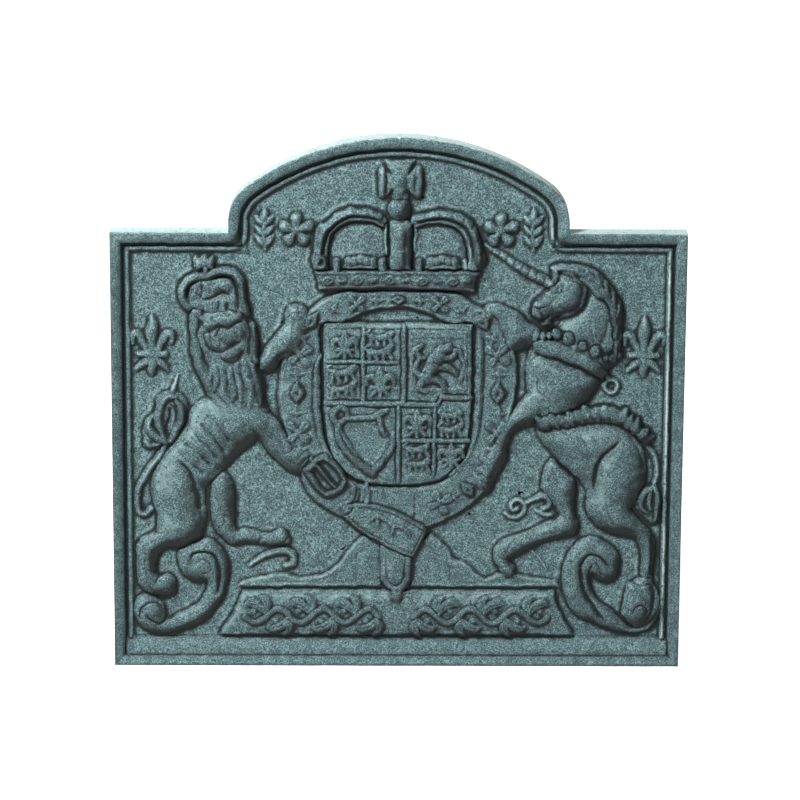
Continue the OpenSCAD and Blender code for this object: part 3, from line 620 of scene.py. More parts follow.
@dataclass
class Lion:
    """The crowned lion on the left, which rears up and holds the garter."""

    body: float = 7.6
    limb: float = 7.0
    hair: float = 5.2
    crown: float = 6.8

    def build(self) -> list[Relief]:
        """Carves the lion.

        Returns:
            Its carved pieces.
        """
        return [
            self.tail(),
            self.far_hind_leg(),
            self.near_hind_leg(),
            self.trunk(),
            self.fore_leg(),
            self.raised_leg(),
            self.mane(),
            self.head(),
            self.headgear(),
        ]

    def trunk(self) -> Relief:
        """Chest, ribs and haunch.

        Returns:
            The carved piece.
        """
        outline = [
            (-205, 301), (-217, 293), (-223, 283), (-227, 272), (-234, 262), (-245, 248), (-254, 234),
            (-262, 216), (-265, 200), (-263, 184), (-258, 168), (-250, 156), (-238, 147), (-225, 143),
            (-212, 147), (-206, 155), (-204, 168), (-205, 185), (-204, 200), (-197, 208), (-182, 221),
            (-168, 238), (-157, 246), (-148, 258), (-143, 285), (-160, 303), (-185, 306),
        ]
        return Relief("lion_body", [
            Swell(outline, self.body - 0.3, 24),
            Mound(-236, 186, 20, 30, 1.7, 8),
            Mound(-196, 266, 18, 22, 1.3, -30),
            Mound(-172, 264, 12, 15, 0.6),
            Mound(-214, 226, 9, 20, -1.1, -45),
            Soften(1.1),
            Groove([(-229, 251), (-214, 240), (-199, 224)], 1.7, 3.0),
            Groove([(-219, 262), (-206, 249), (-191, 231)], 1.7, 3.0),
            Groove([(-211, 272), (-200, 259), (-183, 239)], 1.7, 3.0),
            Groove([(-237, 243), (-224, 231), (-207, 214)], 1.6, 2.8),
            Groove([(-236, 233), (-225, 222), (-218, 208), (-213, 190), (-210, 174)], 2.6, 2.4),
            Groove([(-203, 284), (-193, 271), (-176, 251)], 1.5, 3.0),
            Groove([(-190, 246), (-184, 236), (-176, 232)], 0.7, 1.6),
            Groove([(-252, 170), (-244, 163), (-236, 162)], 0.9, 1.6),
            Groove([(-219, 180), (-216, 165), (-222, 152)], 0.8, 1.7),
            Soften(0.5),
        ])

    def near_hind_leg(self) -> Relief:
        """Shank and paw of the leg that it stands on.

        Returns:
            The carved piece.
        """
        outline = [
            (-254, 178), (-258, 168), (-259, 160), (-261, 151), (-270, 147), (-277, 143), (-281, 134),
            (-282, 120), (-281, 105), (-279, 92), (-272, 82), (-262, 78), (-247, 76), (-239, 80),
            (-236, 89), (-239, 98), (-246, 103), (-254, 101), (-258, 104), (-257, 116), (-253, 127),
            (-246, 131), (-235, 131), (-225, 134), (-214, 141), (-208, 148), (-212, 168), (-235, 182),
        ]
        return Relief("lion_near_hind_leg", [
            Swell(outline, self.limb + 0.3, 13),
            Mound(-233, 152, 14, 9, 0.9, 30),
            Mound(-266, 122, 5, 20, 0.9),
            Mound(-247, 90, 8, 9, 0.8),
            Soften(0.9),
            Groove([(-271, 121), (-271, 108), (-268, 92)], 1.3, 1.5),
            Groove([(-262, 92), (-257, 99), (-252, 102)], 1.6, 1.5),
            Groove([(-262, 150), (-254, 149), (-247, 155)], 1.2, 1.5),
            Groove([(-256, 83), (-250, 87), (-243, 84)], 0.8, 1.3),
            Groove([(-248, 140), (-240, 138), (-232, 142)], 0.6, 1.5),
        ])

    def far_hind_leg(self) -> Relief:
        """Thigh, shank and curled paw of the leg behind, which steps forward.

        Returns:
            The carved piece.
        """
        outline = [
            (-199, 208), (-186, 218), (-177, 208), (-174, 195), (-173, 178), (-174, 162), (-172, 154),
            (-163, 155), (-153, 153), (-144, 150), (-134, 150), (-127, 154), (-121, 153), (-116, 147),
            (-114, 138), (-122, 134), (-134, 133), (-150, 136), (-163, 137), (-178, 134), (-187, 142),
            (-197, 152), (-201, 170), (-201, 190),
        ]
        return Relief("lion_far_hind_leg", [
            Swell(outline, self.limb * 0.84, 11),
            Stroke([(-119.6, 112, 4.4), (-112.6, 114, 4.6), (-111, 121, 4.8), (-116, 128, 5),
                    (-125, 129, 4.8), (-136, 126, 4.4), (-148, 120, 3.8), (-158, 112, 3)],
                   self.limb - 1.4, 0.6),
            Mound(-188, 190, 9, 22, 0.8),
            Mound(-123, 143, 8, 6, 0.8),
            Soften(0.8),
            Groove([(-196, 190), (-192, 184), (-189, 176)], 1.2, 1.6),
            Groove([(-195, 150), (-186, 160), (-186, 172)], 1.2, 1.7),
            Groove([(-146, 147), (-148, 141), (-152, 136)], 1.4, 1.3),
            Groove([(-110, 130), (-120, 134.6), (-131, 131.6), (-144, 131)], 2.6, 1.5),
            Groove([(-115, 147), (-120, 142), (-124, 138)], 1.4, 1.3),
        ])

    def fore_leg(self) -> Relief:
        """The lower foreleg, with its paw on the garter.

        Returns:
            The carved piece.
        """
        outline = [
            (-162, 292), (-150, 296), (-141, 288), (-133, 282), (-126, 275), (-120, 263), (-115, 255),
            (-110, 249), (-103, 247), (-96, 244), (-92, 238), (-93, 231), (-98, 222), (-104, 214),
            (-113, 216), (-122, 223), (-130, 230), (-137, 237), (-143, 246), (-150, 255), (-159, 264),
            (-168, 276),
        ]
        return Relief("lion_fore_leg", [
            Swell(outline, self.limb + 0.3, 13),
            Mound(-146, 274, 14, 9, 0.9, -45),
            Mound(-104, 234, 7, 9, 0.9, 30),
            Soften(0.9),
            Groove([(-122, 240), (-114, 241), (-110, 247)], 1.2, 1.5),
            Groove([(-99, 243), (-104, 236), (-108, 232)], 1.0, 1.2),
            Groove([(-95, 236), (-101, 230), (-105, 226)], 1.0, 1.2),
            Groove([(-134, 264), (-127, 254), (-120, 247)], 0.7, 1.5),
        ])

    def raised_leg(self) -> Relief:
        """The raised foreleg, with its paw turned up.

        Returns:
            The carved piece.
        """
        outline = [
            (-150, 340), (-146, 350), (-141, 357), (-130, 371), (-122, 382), (-121, 394), (-117, 402),
            (-108, 404), (-99, 401), (-94, 392), (-93, 380), (-97, 368), (-100, 360), (-108, 351),
            (-116, 342), (-124, 341), (-128, 333), (-136, 327), (-147, 329),
        ]
        return Relief("lion_raised_leg", [
            Swell(outline, self.limb + 0.3, 13),
            Mound(-108, 391, 9, 8, 0.9),
            Mound(-126, 356, 8, 14, 0.7, -40),
            Soften(0.9),
            Groove([(-118, 389), (-113, 394), (-102, 394)], 1.3, 1.4),
            Groove([(-111, 384), (-112, 378), (-112, 371)], 1.1, 1.4),
            Groove([(-106, 402), (-107, 397), (-106, 393)], 0.9, 1.1),
            Groove([(-129, 340), (-124, 349), (-114, 352)], 0.9, 1.5),
        ])

    def mane(self) -> Relief:
        """The mane: ropes of hair down each side of the face and a beard that ends in a curl.

        Returns:
            The carved piece.
        """
        outline = [
            (-221, 397), (-223, 380), (-222, 355), (-219, 337), (-214, 325), (-209, 313), (-203, 302),
            (-192, 292), (-181, 281), (-172, 268), (-163, 266), (-152, 280), (-137, 284), (-141, 300),
            (-141, 315), (-145, 330), (-149, 341), (-146, 352), (-147, 364), (-152, 380), (-160, 393),
            (-178, 398), (-205, 399),
        ]
        low, top = self.limb - 2.2, self.limb
        locks = [
            [(-195, 334, 2.2), (-194, 322, 2.8), (-196, 310, 2.4)],
            [(-188, 334, 3.2), (-186, 320, 3.6), (-187, 306, 3.4), (-180, 296, 2.8), (-174, 288, 2)],
            [(-179, 332, 3), (-178, 320, 3.2), (-175, 309, 3), (-176, 299, 2.2)],
            [(-172, 336, 2.6), (-171, 325, 3), (-169, 314, 3), (-168, 303, 2.6), (-168, 290, 2)],
            [(-163, 340, 3.4), (-162, 326, 4), (-158, 312, 4), (-157, 299, 3.2), (-159, 288, 2.4)],
            [(-154, 336, 3), (-150, 322, 3.6), (-147, 307, 3.4), (-146, 293, 2.6)],
            [(-155, 380, 3), (-153, 366, 4), (-153, 352, 4), (-150, 341, 2.8)],
        ]
        return Relief("lion_mane", [
            Swell(outline, self.limb - 1.6, 9),
            Soften(0.8),
            Stroke([(-214, 394, 5.6), (-214, 376, 6.2), (-212, 358, 6.4), (-211, 341, 6),
                    (-206, 325, 5), (-200, 310, 4)], top + 0.5, 0.4, seat=low),
            Stroke([(-205, 356, 2.6), (-204, 345, 3.4), (-201, 332, 3), (-201, 322, 2)], top, 0.3, seat=low),
            *[Stroke(lock, top + 0.2, 0.25, seat=low) for lock in locks],
            Stroke([(-199, 306, 4), (-190, 296, 4.8), (-180, 284, 5), (-172, 274, 5)], self.limb - 0.4,
                   0.3, seat=2.4),
            Stroke([(-168, 271, 6.4), (-167.6, 270.6, 6.4)], self.limb + 0.8, 0.1, 1, seat=2.0),
            Groove([(-213.5, 394), (-210.5, 382.5), (-214, 370), (-210.5, 358), (-206, 345.6),
                    (-201.5, 336.4), (-202, 324)], 2.8, 1.8),
            Groove([(-160, 390), (-157, 376), (-158, 360), (-159, 346)], 1.8, 1.4),
            Groove([(-174, 276), (-172, 267), (-166, 264.4), (-161, 268)], 1.4, 1.2),
            Soften(0.55),
        ])

    def head(self) -> Relief:
        """The face: a lumpy brow, a broad nose, a cheek on each side and an open mouth.

        Returns:
            The carved piece.
        """
        face = [
            (-207, 394), (-190, 397), (-172, 397), (-162, 390), (-159, 376), (-160, 362), (-162, 350),
            (-169, 339), (-180, 336), (-192, 341), (-203, 353), (-208, 366), (-209, 380),
        ]
        return Relief("lion_head", [
            Swell(face, 3.2, 6),
            Soften(0.6),
            Stroke([(-203, 379.6, 4.4), (-193, 385, 5.2), (-180, 386.6, 5), (-169, 390.6, 4)], 5.0, 0.35, 4,
                   seat=2.2),
            Stroke([(-186, 372, 7), (-179, 367.4, 8)], 5.5, 0.4, 3, seat=2.0),
            Stroke([(-170, 379, 4.2), (-167.4, 371, 4.6)], 4.8, 0.3, 2, seat=2.2),
            Stroke([(-202.6, 369, 3.6), (-200.4, 361.6, 5.2), (-192.6, 357.6, 4.2)], 4.8, 0.3, 3, seat=2.2),
            Stroke([(-183, 347, 6), (-176, 349.8, 7.2), (-170.6, 352.6, 6)], 5.2, 0.4, 3, seat=1.4),
            Groove([(-207, 372.4), (-198, 374), (-190.4, 379.6), (-186, 378), (-181, 378), (-175, 381),
                    (-170, 384.6), (-164, 385)], 2.5, 1.5),
            Groove([(-190.6, 378), (-192, 373), (-194.4, 368.6)], 2.3, 1.4),
            Groove([(-207, 365), (-201.4, 356), (-190.4, 351), (-180, 357), (-166, 363.4)], 2.8, 1.6),
            Groove([(-191, 348), (-186, 341.6), (-178, 338.4), (-169, 341.4), (-163.6, 352)], 2.4, 1.6),
            Groove([(-197.6, 392), (-198.4, 384)], 1.1, 1.1),
            Soften(0.45),
        ], base=3.4, pitch=0.75)

    def headgear(self) -> Relief:
        """The small crown: a circlet with leaves, two arches, a cap and a cross.

        Returns:
            The carved piece.
        """
        cap = [(-224, 408), (-222, 421), (-213, 430), (-196, 433), (-180, 434), (-173, 426), (-169, 412),
               (-174, 398), (-205, 398), (-219, 400)]
        band = [(-222, 408), (-208, 408), (-196, 411), (-188, 415), (-172, 414), (-163, 408), (-160, 396),
                (-163, 390), (-180, 393), (-200, 390), (-208, 394), (-220, 397)]
        low, top = 4.2, self.crown
        blobs = [((-217, 420, 4.4), (-217, 412, 4.6)), ((-201, 425, 5.4), (-195, 420, 6)),
                 ((-184.6, 424, 5), (-182, 420, 5)), ((-198, 405, 5.6), (-197, 399, 5.6)),
                 ((-186, 405, 4.2), (-185.5, 399, 4.4)), ((-176, 407, 4.4), (-174, 401, 4.6)),
                 ((-214, 404, 4.4), (-210, 401, 3.6))]
        return Relief("lion_crown", [
            Swell(cap, 5.4, 5),
            Swell(band, 5.4, 5),
            Soften(0.6),
            Stroke([(-222, 399, 4), (-227.5, 407, 4.6), (-229, 417, 4.6), (-225, 427, 4.6),
                    (-216, 433, 4.4), (-207.5, 434.4, 3.4)], top, 0.3, seat=3.2),
            Stroke([(-203, 434.5, 3.4), (-195, 438, 4.2), (-185, 440, 4.6), (-175, 438, 5),
                    (-168, 429, 5.2), (-165.5, 416, 5.2), (-163, 402, 5), (-160.5, 393, 4.2)], top, 0.3,
                   seat=3.2),
            *[Stroke(blob, top + 0.2, 0.3, 2, seat=low) for blob in blobs],
            Groove([(-224, 408), (-223, 418), (-219, 426), (-211, 431)], 1.6, 1.2),
            Groove([(-196, 432.6), (-186, 433.6), (-177, 431), (-172.6, 422), (-170.6, 410), (-169, 398)],
                   1.6, 1.3),
            Groove([(-208.6, 430), (-208.4, 420), (-209, 410)], 1.8, 1.2),
            Groove([(-190.4, 424), (-188, 419), (-183, 416)], 1.0, 1.1),
            Groove([(-209, 408), (-199, 410.6), (-191, 414), (-185, 416.6), (-179, 414.4)], 2.2, 1.3),
            Groove([(-191, 408), (-190.6, 398)], 1.6, 1.1),
            Groove([(-181.6, 407), (-181, 397)], 1.4, 1.1),
            Groove([(-204, 392.6), (-197, 391.6), (-190, 395.6), (-184, 394), (-172, 396)], 1.9, 1.2),
            Stroke([(-204, 434, 3), (-204.5, 441, 3)], top, 0.1, 2, seat=0.5),
            Swell([(-203, 441), (-208, 441), (-213, 438.6), (-217.6, 444), (-218.4, 451), (-215.6, 456.6),
                   (-210, 453.6), (-207.4, 457.6), (-202.6, 457.8), (-200.6, 453.6), (-196, 457),
                   (-193.6, 451), (-194.2, 444), (-197.4, 440.6)], self.crown - 1.6, 4.6, 0.1, smooth=False),
            Groove([(-213.6, 450), (-209, 447.6), (-205, 447), (-200, 448), (-197, 450.6)], -0.9, 1.6),
            Soften(0.5),
        ])

    def tail(self) -> Relief:
        """The tail: a thin stem beside the haunch that ends in a bushy tuft.

        Returns:
            The carved piece.
        """
        bush = [(-243, 252), (-233, 263), (-226, 275), (-223, 288), (-225, 299), (-232, 306), (-240, 309),
                (-250, 307), (-257, 301), (-260, 292), (-261, 284), (-270, 276), (-273, 266), (-272, 254),
                (-273, 246), (-266, 243), (-255, 247)]
        low, top = 2.0, self.hair + 0.9
        return Relief("lion_tail", [
            Stroke([(-264, 176, 3.6), (-270, 169, 3.8), (-277, 172, 4.2), (-279, 186, 4.4), (-276, 202, 4.4),
                    (-267, 219, 4.2), (-256, 234, 4), (-247, 250, 4)], self.hair + 1.4, 0.4),
            Swell(bush, self.hair - 2.2, 5),
            Soften(0.7),
            Stroke([(-247, 250, 3), (-253, 264, 4.4), (-255, 280, 5), (-252, 293, 4.8), (-245, 301, 4.4),
                    (-237, 301, 3)], top, 0.1, seat=low),
            Stroke([(-243, 252, 3), (-236, 264, 4.4), (-231, 278, 4.6), (-231, 290, 4), (-236, 296, 2.4)],
                   top, 0.1, seat=low),
            Stroke([(-248, 249, 2.6), (-258, 256, 4), (-266, 266, 4.4), (-265, 275, 3.2)], top - 0.4, 0.1,
                   seat=low),
            Stroke([(-256, 248, 2.6), (-265, 247, 3.4), (-270, 252, 2.8)], top - 0.8, 0.1, seat=low),
            Stroke([(-240, 304, 3.4), (-238, 314, 2.8), (-234, 325, 1.8)], self.hair, 0.3),
            Groove([(-246, 256), (-246, 268), (-243, 280), (-243, 290)], 2.4, 1.5),
            Groove([(-250, 256), (-259, 266), (-261, 277)], 1.6, 1.2),
            Groove([(-236, 272), (-237, 284), (-240, 292)], 1.4, 1.1),
            Soften(0.45),
        ])


@dataclass
class Unicorn:
    """The collared and chained unicorn on the right."""

    body: float = 7.6
    limb: float = 7.0
    hair: float = 6.4
    metal: float = 7.4

    def build(self) -> list[Relief]:
        """Carves the unicorn.

        Returns:
            Its carved pieces.
        """
        return [
            self.tail(),
            self.far_hind_leg(),
            self.near_hind_leg(),
            self.trunk(),
            self.fringe(),
            self.fore_leg(),
            self.raised_leg(),
            self.mane(),
            self.head(),
            self.horn(),
            self.collar(),
            self.chain(),
        ]

    def trunk(self) -> Relief:
        """Neck, chest, loins and thigh.

        Returns:
            The carved piece.
        """
        neck = [
            (186, 441), (198, 434), (209, 424), (218, 413), (225, 402), (231, 388), (234, 366),
            (233, 345), (226, 332), (217, 325), (205, 328), (185, 338), (165, 345), (154, 352),
            (160, 366), (166, 378), (172, 396), (174, 415), (176, 434),
        ]
        chest = [
            (146, 366), (140, 360), (137, 345), (136, 326), (137, 308), (139, 292), (144, 278),
            (154, 272), (170, 277), (190, 288), (204, 298), (211, 309), (216, 321), (208, 330),
            (190, 340), (168, 350), (153, 358),
        ]
        loins = [
            (148, 268), (165, 270), (190, 275), (215, 278), (238, 273), (254, 262), (264, 246),
            (267, 228), (267, 210), (262, 194), (253, 178), (240, 168), (222, 162), (208, 166),
            (203, 180), (202, 199), (190, 212), (173, 228), (160, 243), (151, 256),
        ]
        return Relief("unicorn_body", [
            Swell(neck, self.body - 0.8, 20),
            Swell(chest, self.body - 0.2, 22),
            Swell(loins, self.body - 0.4, 24),
            Mound(169, 320, 22, 26, 1.3, 20),
            Mound(238, 208, 19, 30, 1.9, 8),
            Mound(186, 254, 24, 12, 0.9, -15),
            Mound(213, 220, 7, 18, -1.3, -8),
            Mound(208, 385, 12, 20, 0.7, -10),
            Soften(1.2),
            *[Mound(x, z, r, r, -2.2) for x, z, r in ((168, 374, 7), (181, 370, 9), (196, 362, 7),
                                                      (209, 357, 9), (223, 349, 7))],
            Groove([(200, 424), (201.4, 412), (197, 400), (188, 392), (178, 388), (171, 385), (166, 376)],
                   3.4, 2.6),
            Groove([(238, 253), (229, 246), (219, 237), (214, 226), (211, 212), (210, 196)], 3.0, 2.4),
            Groove([(243, 263), (252, 252), (260, 238), (264, 222)], 1.0, 1.8),
            Groove([(149, 325), (148, 317), (150, 309), (158, 304)], 1.2, 1.6),
            Groove([(150, 350), (142, 343), (139, 332)], 1.2, 1.6),
            Groove([(180, 316), (188, 321), (195, 322)], 0.7, 1.4),
            Groove([(191, 400), (203, 385), (208, 366)], 0.8, 1.8),
            Groove([(222, 388), (220, 372), (214, 360)], 0.8, 1.6),
            Groove([(176, 263), (196, 257), (206, 244)], 0.6, 1.8),
            Groove([(228, 190), (236, 180), (238, 170)], 0.8, 1.7),
            Groove([(160, 292), (163, 284), (168, 279)], 1.1, 1.4),
        ])

    def near_hind_leg(self) -> Relief:
        """Shank and hoof of the leg that it stands on.

        Returns:
            The carved piece.
        """
        outline = [
            (204, 190), (203, 172), (210, 161), (219, 153), (232, 147), (247, 145), (257, 141),
            (261, 131), (262, 117), (261, 103), (256, 97), (249, 93), (246, 82), (243, 68), (243, 58),
            (249, 48), (258, 42), (268, 43), (277, 49), (284, 58), (286, 68), (283, 79), (279, 90),
            (277, 102), (278, 120), (278, 138), (274, 151), (263, 163), (252, 176), (246, 190),
            (225, 196),
        ]
        return Relief("unicorn_near_hind_leg", [
            Swell(outline, self.limb + 0.3, 13),
            Mound(240, 165, 15, 10, 0.8, -35),
            Mound(261, 66, 13, 17, 1.2),
            Mound(270, 122, 4, 18, 0.8),
            Soften(1.0),
            Groove([(258, 103), (265, 100), (274, 99)], 1.9, 1.8),
            Groove([(249, 97), (256, 93), (264, 91), (272, 93)], 1.8, 1.6),
            Groove([(271, 94), (276, 86), (277, 74), (274, 60), (268, 49)], 2.0, 1.7),
            Groove([(254, 58), (258, 66), (265, 69), (270, 64), (268, 57)], 2.0, 1.5),
            Groove([(272, 152), (275, 138), (274, 120), (274, 106)], 1.1, 1.4),
            Groove([(262, 148), (252, 152), (240, 156)], 0.7, 1.6),
            Groove([(226, 178), (227, 168), (232, 160)], 0.9, 1.6),
        ])

    def far_hind_leg(self) -> Relief:
        """Thigh, shank and hoof of the leg behind, which steps forward.

        Returns:
            The carved piece.
        """
        outline = [
            (190, 212), (176, 224), (169, 232), (163, 232), (157, 223), (154, 212), (154, 200),
            (160, 190), (169, 179), (173, 168), (160, 162), (146, 155), (130, 149), (117, 144),
            (108, 138), (103, 128), (104, 118), (108, 109), (114, 101), (122, 98), (129, 103),
            (128, 112), (122, 118), (130, 124), (142, 130), (155, 137), (168, 142), (183, 145),
            (194, 149), (196, 160), (192, 172), (191, 188), (192, 202),
        ]
        return Relief("unicorn_far_hind_leg", [
            Swell(outline, self.limb * 0.84, 8.5),
            Mound(182, 195, 9, 20, 0.9, 15),
            Mound(184, 156, 10, 8, 0.8),
            Mound(117, 110, 7, 8, 0.8),
            Soften(0.9),
            Groove([(165, 226), (170, 216), (172, 204)], 1.1, 1.6),
            Groove([(128, 146), (122, 136), (116, 128)], 1.2, 1.5),
            Groove([(109, 124), (116, 120), (123, 119)], 1.2, 1.4),
            Groove([(106, 113), (112, 111), (118, 113)], 0.9, 1.2),
            Groove([(150, 146), (163, 151), (176, 153)], 0.7, 1.8),
        ])

    def fore_leg(self) -> Relief:
        """The lower foreleg, which comes down to the garter.

        Returns:
            The carved piece.
        """
        outline = [
            (158, 312), (148, 313), (140, 309), (134, 302), (127, 294), (119, 283), (111, 272),
            (105, 262), (101, 250), (94, 239), (88, 226), (84, 213), (83, 204), (88, 195), (95, 192),
            (101, 198), (105, 210), (112, 221), (118, 234), (119, 249), (124, 261), (134, 268),
            (143, 270), (155, 279), (168, 286),
        ]
        return Relief("unicorn_fore_leg", [
            Swell(outline, self.limb + 0.3, 12),
            Mound(143, 291, 13, 9, 0.9, 40),
            Mound(110, 250, 6, 9, 0.7, 50),
            Mound(93, 204, 6, 8, 0.8),
            Soften(0.9),
            Groove([(102, 252), (109, 247), (117, 244)], 1.0, 1.4),
            Groove([(88, 218), (95, 214), (102, 213)], 1.5, 1.4),
            Groove([(86, 212), (92, 207), (100, 206)], 1.2, 1.2),
            Groove([(92, 203), (92, 198), (92, 193)], 0.9, 1.1),
            Groove([(139, 300), (148, 296), (153, 287)], 0.6, 1.6),
        ])

    def raised_leg(self) -> Relief:
        """The raised foreleg, bent at the knee.

        Returns:
            The carved piece.
        """
        outline = [
            (75, 388), (79, 393), (86, 397), (92, 403), (101, 406), (112, 404), (122, 399),
            (131, 393), (140, 384), (147, 381), (153, 374), (151, 362), (146, 358), (136, 354),
            (126, 351), (117, 352), (112, 361), (109, 371), (105, 381), (101, 386), (94, 381),
            (85, 379), (78, 382),
        ]
        return Relief("unicorn_raised_leg", [
            Swell(outline, self.limb + 0.3, 12),
            Mound(127, 374, 12, 13, 0.9, 20),
            Mound(84, 387, 6, 5, 0.8),
            Soften(0.9),
            Groove([(97, 403), (99, 395), (103, 388)], 1.4, 1.4),
            Groove([(91, 401), (93, 393), (96, 385)], 1.1, 1.2),
            Groove([(113, 364), (121, 372), (133, 374)], 0.8, 1.7),
            Groove([(146, 378), (142, 370), (143, 361)], 1.0, 1.6),
        ])

    def head(self) -> Relief:
        """The head in profile, looking at the shield.

        Returns:
            The carved piece.
        """
        outline = [
            (163, 444), (164, 436), (162, 429), (158, 421), (152, 415), (145, 409), (141, 403),
            (140.6, 395), (143, 390), (148, 386), (152, 381), (158, 378.6), (163, 382), (166, 388),
            (172, 391), (180, 392), (188, 395), (195, 401), (199.6, 410), (199, 421), (193, 431),
            (186, 437), (176, 441), (168, 443),
        ]
        low = 5.6
        return Relief("unicorn_head", [
            Swell(outline, self.limb, 13),
            Soften(0.7),
            Stroke([(182, 408, 10), (184, 419, 10.4)], 8.9, 0.8, 3, seat=low + 0.8),
            Stroke([(165, 431, 2.8), (166, 438, 3.2), (164, 444, 2.2)], 8.2, 0.3, seat=4),
            Stroke([(170, 424, 5), (160, 412, 5), (152, 403, 4.4)], 8.2, 0.6, seat=low),
            Stroke([(163, 421, 3.2), (164.4, 421, 3.2)], 8.8, 0.2, 1, seat=low),
            Stroke([(145.6, 396, 4), (149, 392.6, 4.4)], 8.0, 0.3, 2, seat=low - 1),
            Stroke([(147, 404.6, 3), (152, 406, 3)], 8.6, 0.2, 2, seat=low - 1),
            Stroke([(155, 383.6, 3.6), (160, 385, 3.6)], 7.4, 0.3, 2, seat=low - 1.5),
            Groove([(157.6, 423), (162, 426), (168, 424.6), (170, 420)], 1.7, 1.1),
            Groove([(158, 417.4), (163.6, 416.6), (169, 419)], 1.5, 1.0),
            Groove([(149, 400.8), (152, 402), (155, 402.6)], 2.6, 1.2),
            Groove([(147, 387.4), (152, 387.4), (157, 389.4), (161.6, 393)], 2.4, 1.2),
            Groove([(170, 396), (178, 399), (184, 402)], -0.5, 2.2),
            Soften(0.45),
        ])

    def horn(self) -> Relief:
        """The twisted horn, across the arch's foot.

        Returns:
            The carved piece.
        """
        marks: list[Mark] = [
            Stroke([(162, 426, 6.2), (152, 431, 6.2), (140, 437, 5.8), (126, 446, 5), (110, 457, 4),
                    (92, 469, 2.2)], self.limb - 0.4, 0.3),
            Soften(0.5),
        ]
        for k in range(8):
            t = 0.06 + k * 0.115
            x, z = 160 - 68 * t, 427 + 42 * t
            w = 6.4 - 4 * t
            marks.append(Groove([(x - w * 0.1, z + w), (x - 2, z), (x - 4.5, z - w)], 1.2, 1.0))
        return Relief("unicorn_horn", marks, pitch=0.75)

    def mane(self) -> Relief:
        """The mane over the crest of the neck: a low band with short tufts.

        Returns:
            The carved piece.
        """
        outline = [
            (160, 443), (166, 448), (176, 449.5), (190, 448.5), (201, 445.5), (211, 440.5), (219, 433),
            (226, 425), (232, 416), (237.5, 405), (240, 395), (238.6, 380), (238.4, 362), (236.6, 346),
            (229, 343), (226, 356), (226, 374), (222, 388), (221, 400), (213, 411), (203, 421),
            (192, 430), (180, 434), (168, 438),
        ]
        low, top = self.hair - 0.6, self.hair + 1.2
        tufts = [
            [(189, 443, 2.4), (195, 438, 3)], [(199, 440.6, 2.4), (205, 433, 3.2)],
            [(209, 436, 2.6), (214, 427, 3.6)], [(219, 427, 2.4), (223, 415, 3.6)],
            [(228, 415, 2.4), (229, 404, 3.6)], [(234, 403, 2.2), (233, 392, 3)],
            [(193, 433, 1.8), (203, 424, 2.4), (211, 413, 1.8)], [(205, 424, 1.6), (214, 412, 2.2)],
            [(227, 396, 2), (229, 384, 2.6)], [(232, 381, 2.2), (231, 369, 2.8)],
            [(232, 360, 2.2), (231, 349, 2.6)],
        ]
        return Relief("unicorn_mane", [
            Swell(outline, self.hair - 0.4, 6),
            Soften(0.6),
            *[Stroke(tuft, top, 0.2, seat=low) for tuft in tufts],
            Stroke([(165, 443.4, 2.6), (174, 445, 3), (184, 444, 2.4)], top, 0.2, seat=low),
            Groove([(190, 437), (200, 428), (208, 419), (215, 409), (220, 400)], 1.5, 1.2),
            Groove([(183, 440), (190, 434), (197, 426), (203, 419)], 1.3, 1.3),
            Groove([(225, 390), (227, 374), (228, 358)], 1.2, 1.3),
            *[Groove(tick, 1.8, 1.1) for tick in (
                [(196, 443), (202, 435)], [(206, 438), (212, 430)], [(215, 431), (219, 421)],
                [(224, 422), (226, 411)], [(231, 409), (231, 399)], [(235, 396), (234, 386)],
                [(234, 377), (233, 366)], [(234, 362), (233, 353)])],
            Soften(0.5),
        ])

    def collar(self) -> Relief:
        """A coronet worn as a collar: a plain band with a row of knobs.

        Returns:
            The carved piece.
        """
        upper = [(142, 363), (152, 366.4), (165, 365.4), (178, 359.6), (190, 354.4), (203, 347.6),
                 (215, 339.6), (225, 330)]
        lower = [(218, 322), (206, 327.6), (194, 335), (180, 340.4), (166, 344.8), (153, 348.4),
                 (144, 352)]
        low, top = 3.0, self.metal - 0.2
        knobs = [(153, 369.6, 3.6), (160, 370, 2.8), (168, 371.6, 5), (181, 367, 6.6), (196, 359.6, 5.2),
                 (209.4, 353.6, 6.4), (221, 345, 3.6), (228.6, 344.6, 5), (236, 349, 3.4)]
        return Relief("unicorn_collar", [
            Swell(upper + lower, self.metal - 1.0, 3, smooth=False),
            Soften(0.4),
            Groove([(144, 360), (152, 362.6), (165, 361.6), (178, 355.8), (190, 350.8), (203, 344),
                    (214, 336.4), (221, 329)], 1.3, 1.1),
            *[Stroke([(x, z - 0.5, r), (x, z + 0.5, r)], top, 0.1, 1, seat=low) for x, z, r in knobs],
            *[Mound(x, z, r * 0.4, r * 0.4, -1.6) for x, z, r in knobs if r > 4.5],
            Soften(0.4),
        ], base=2.0, pitch=0.75)

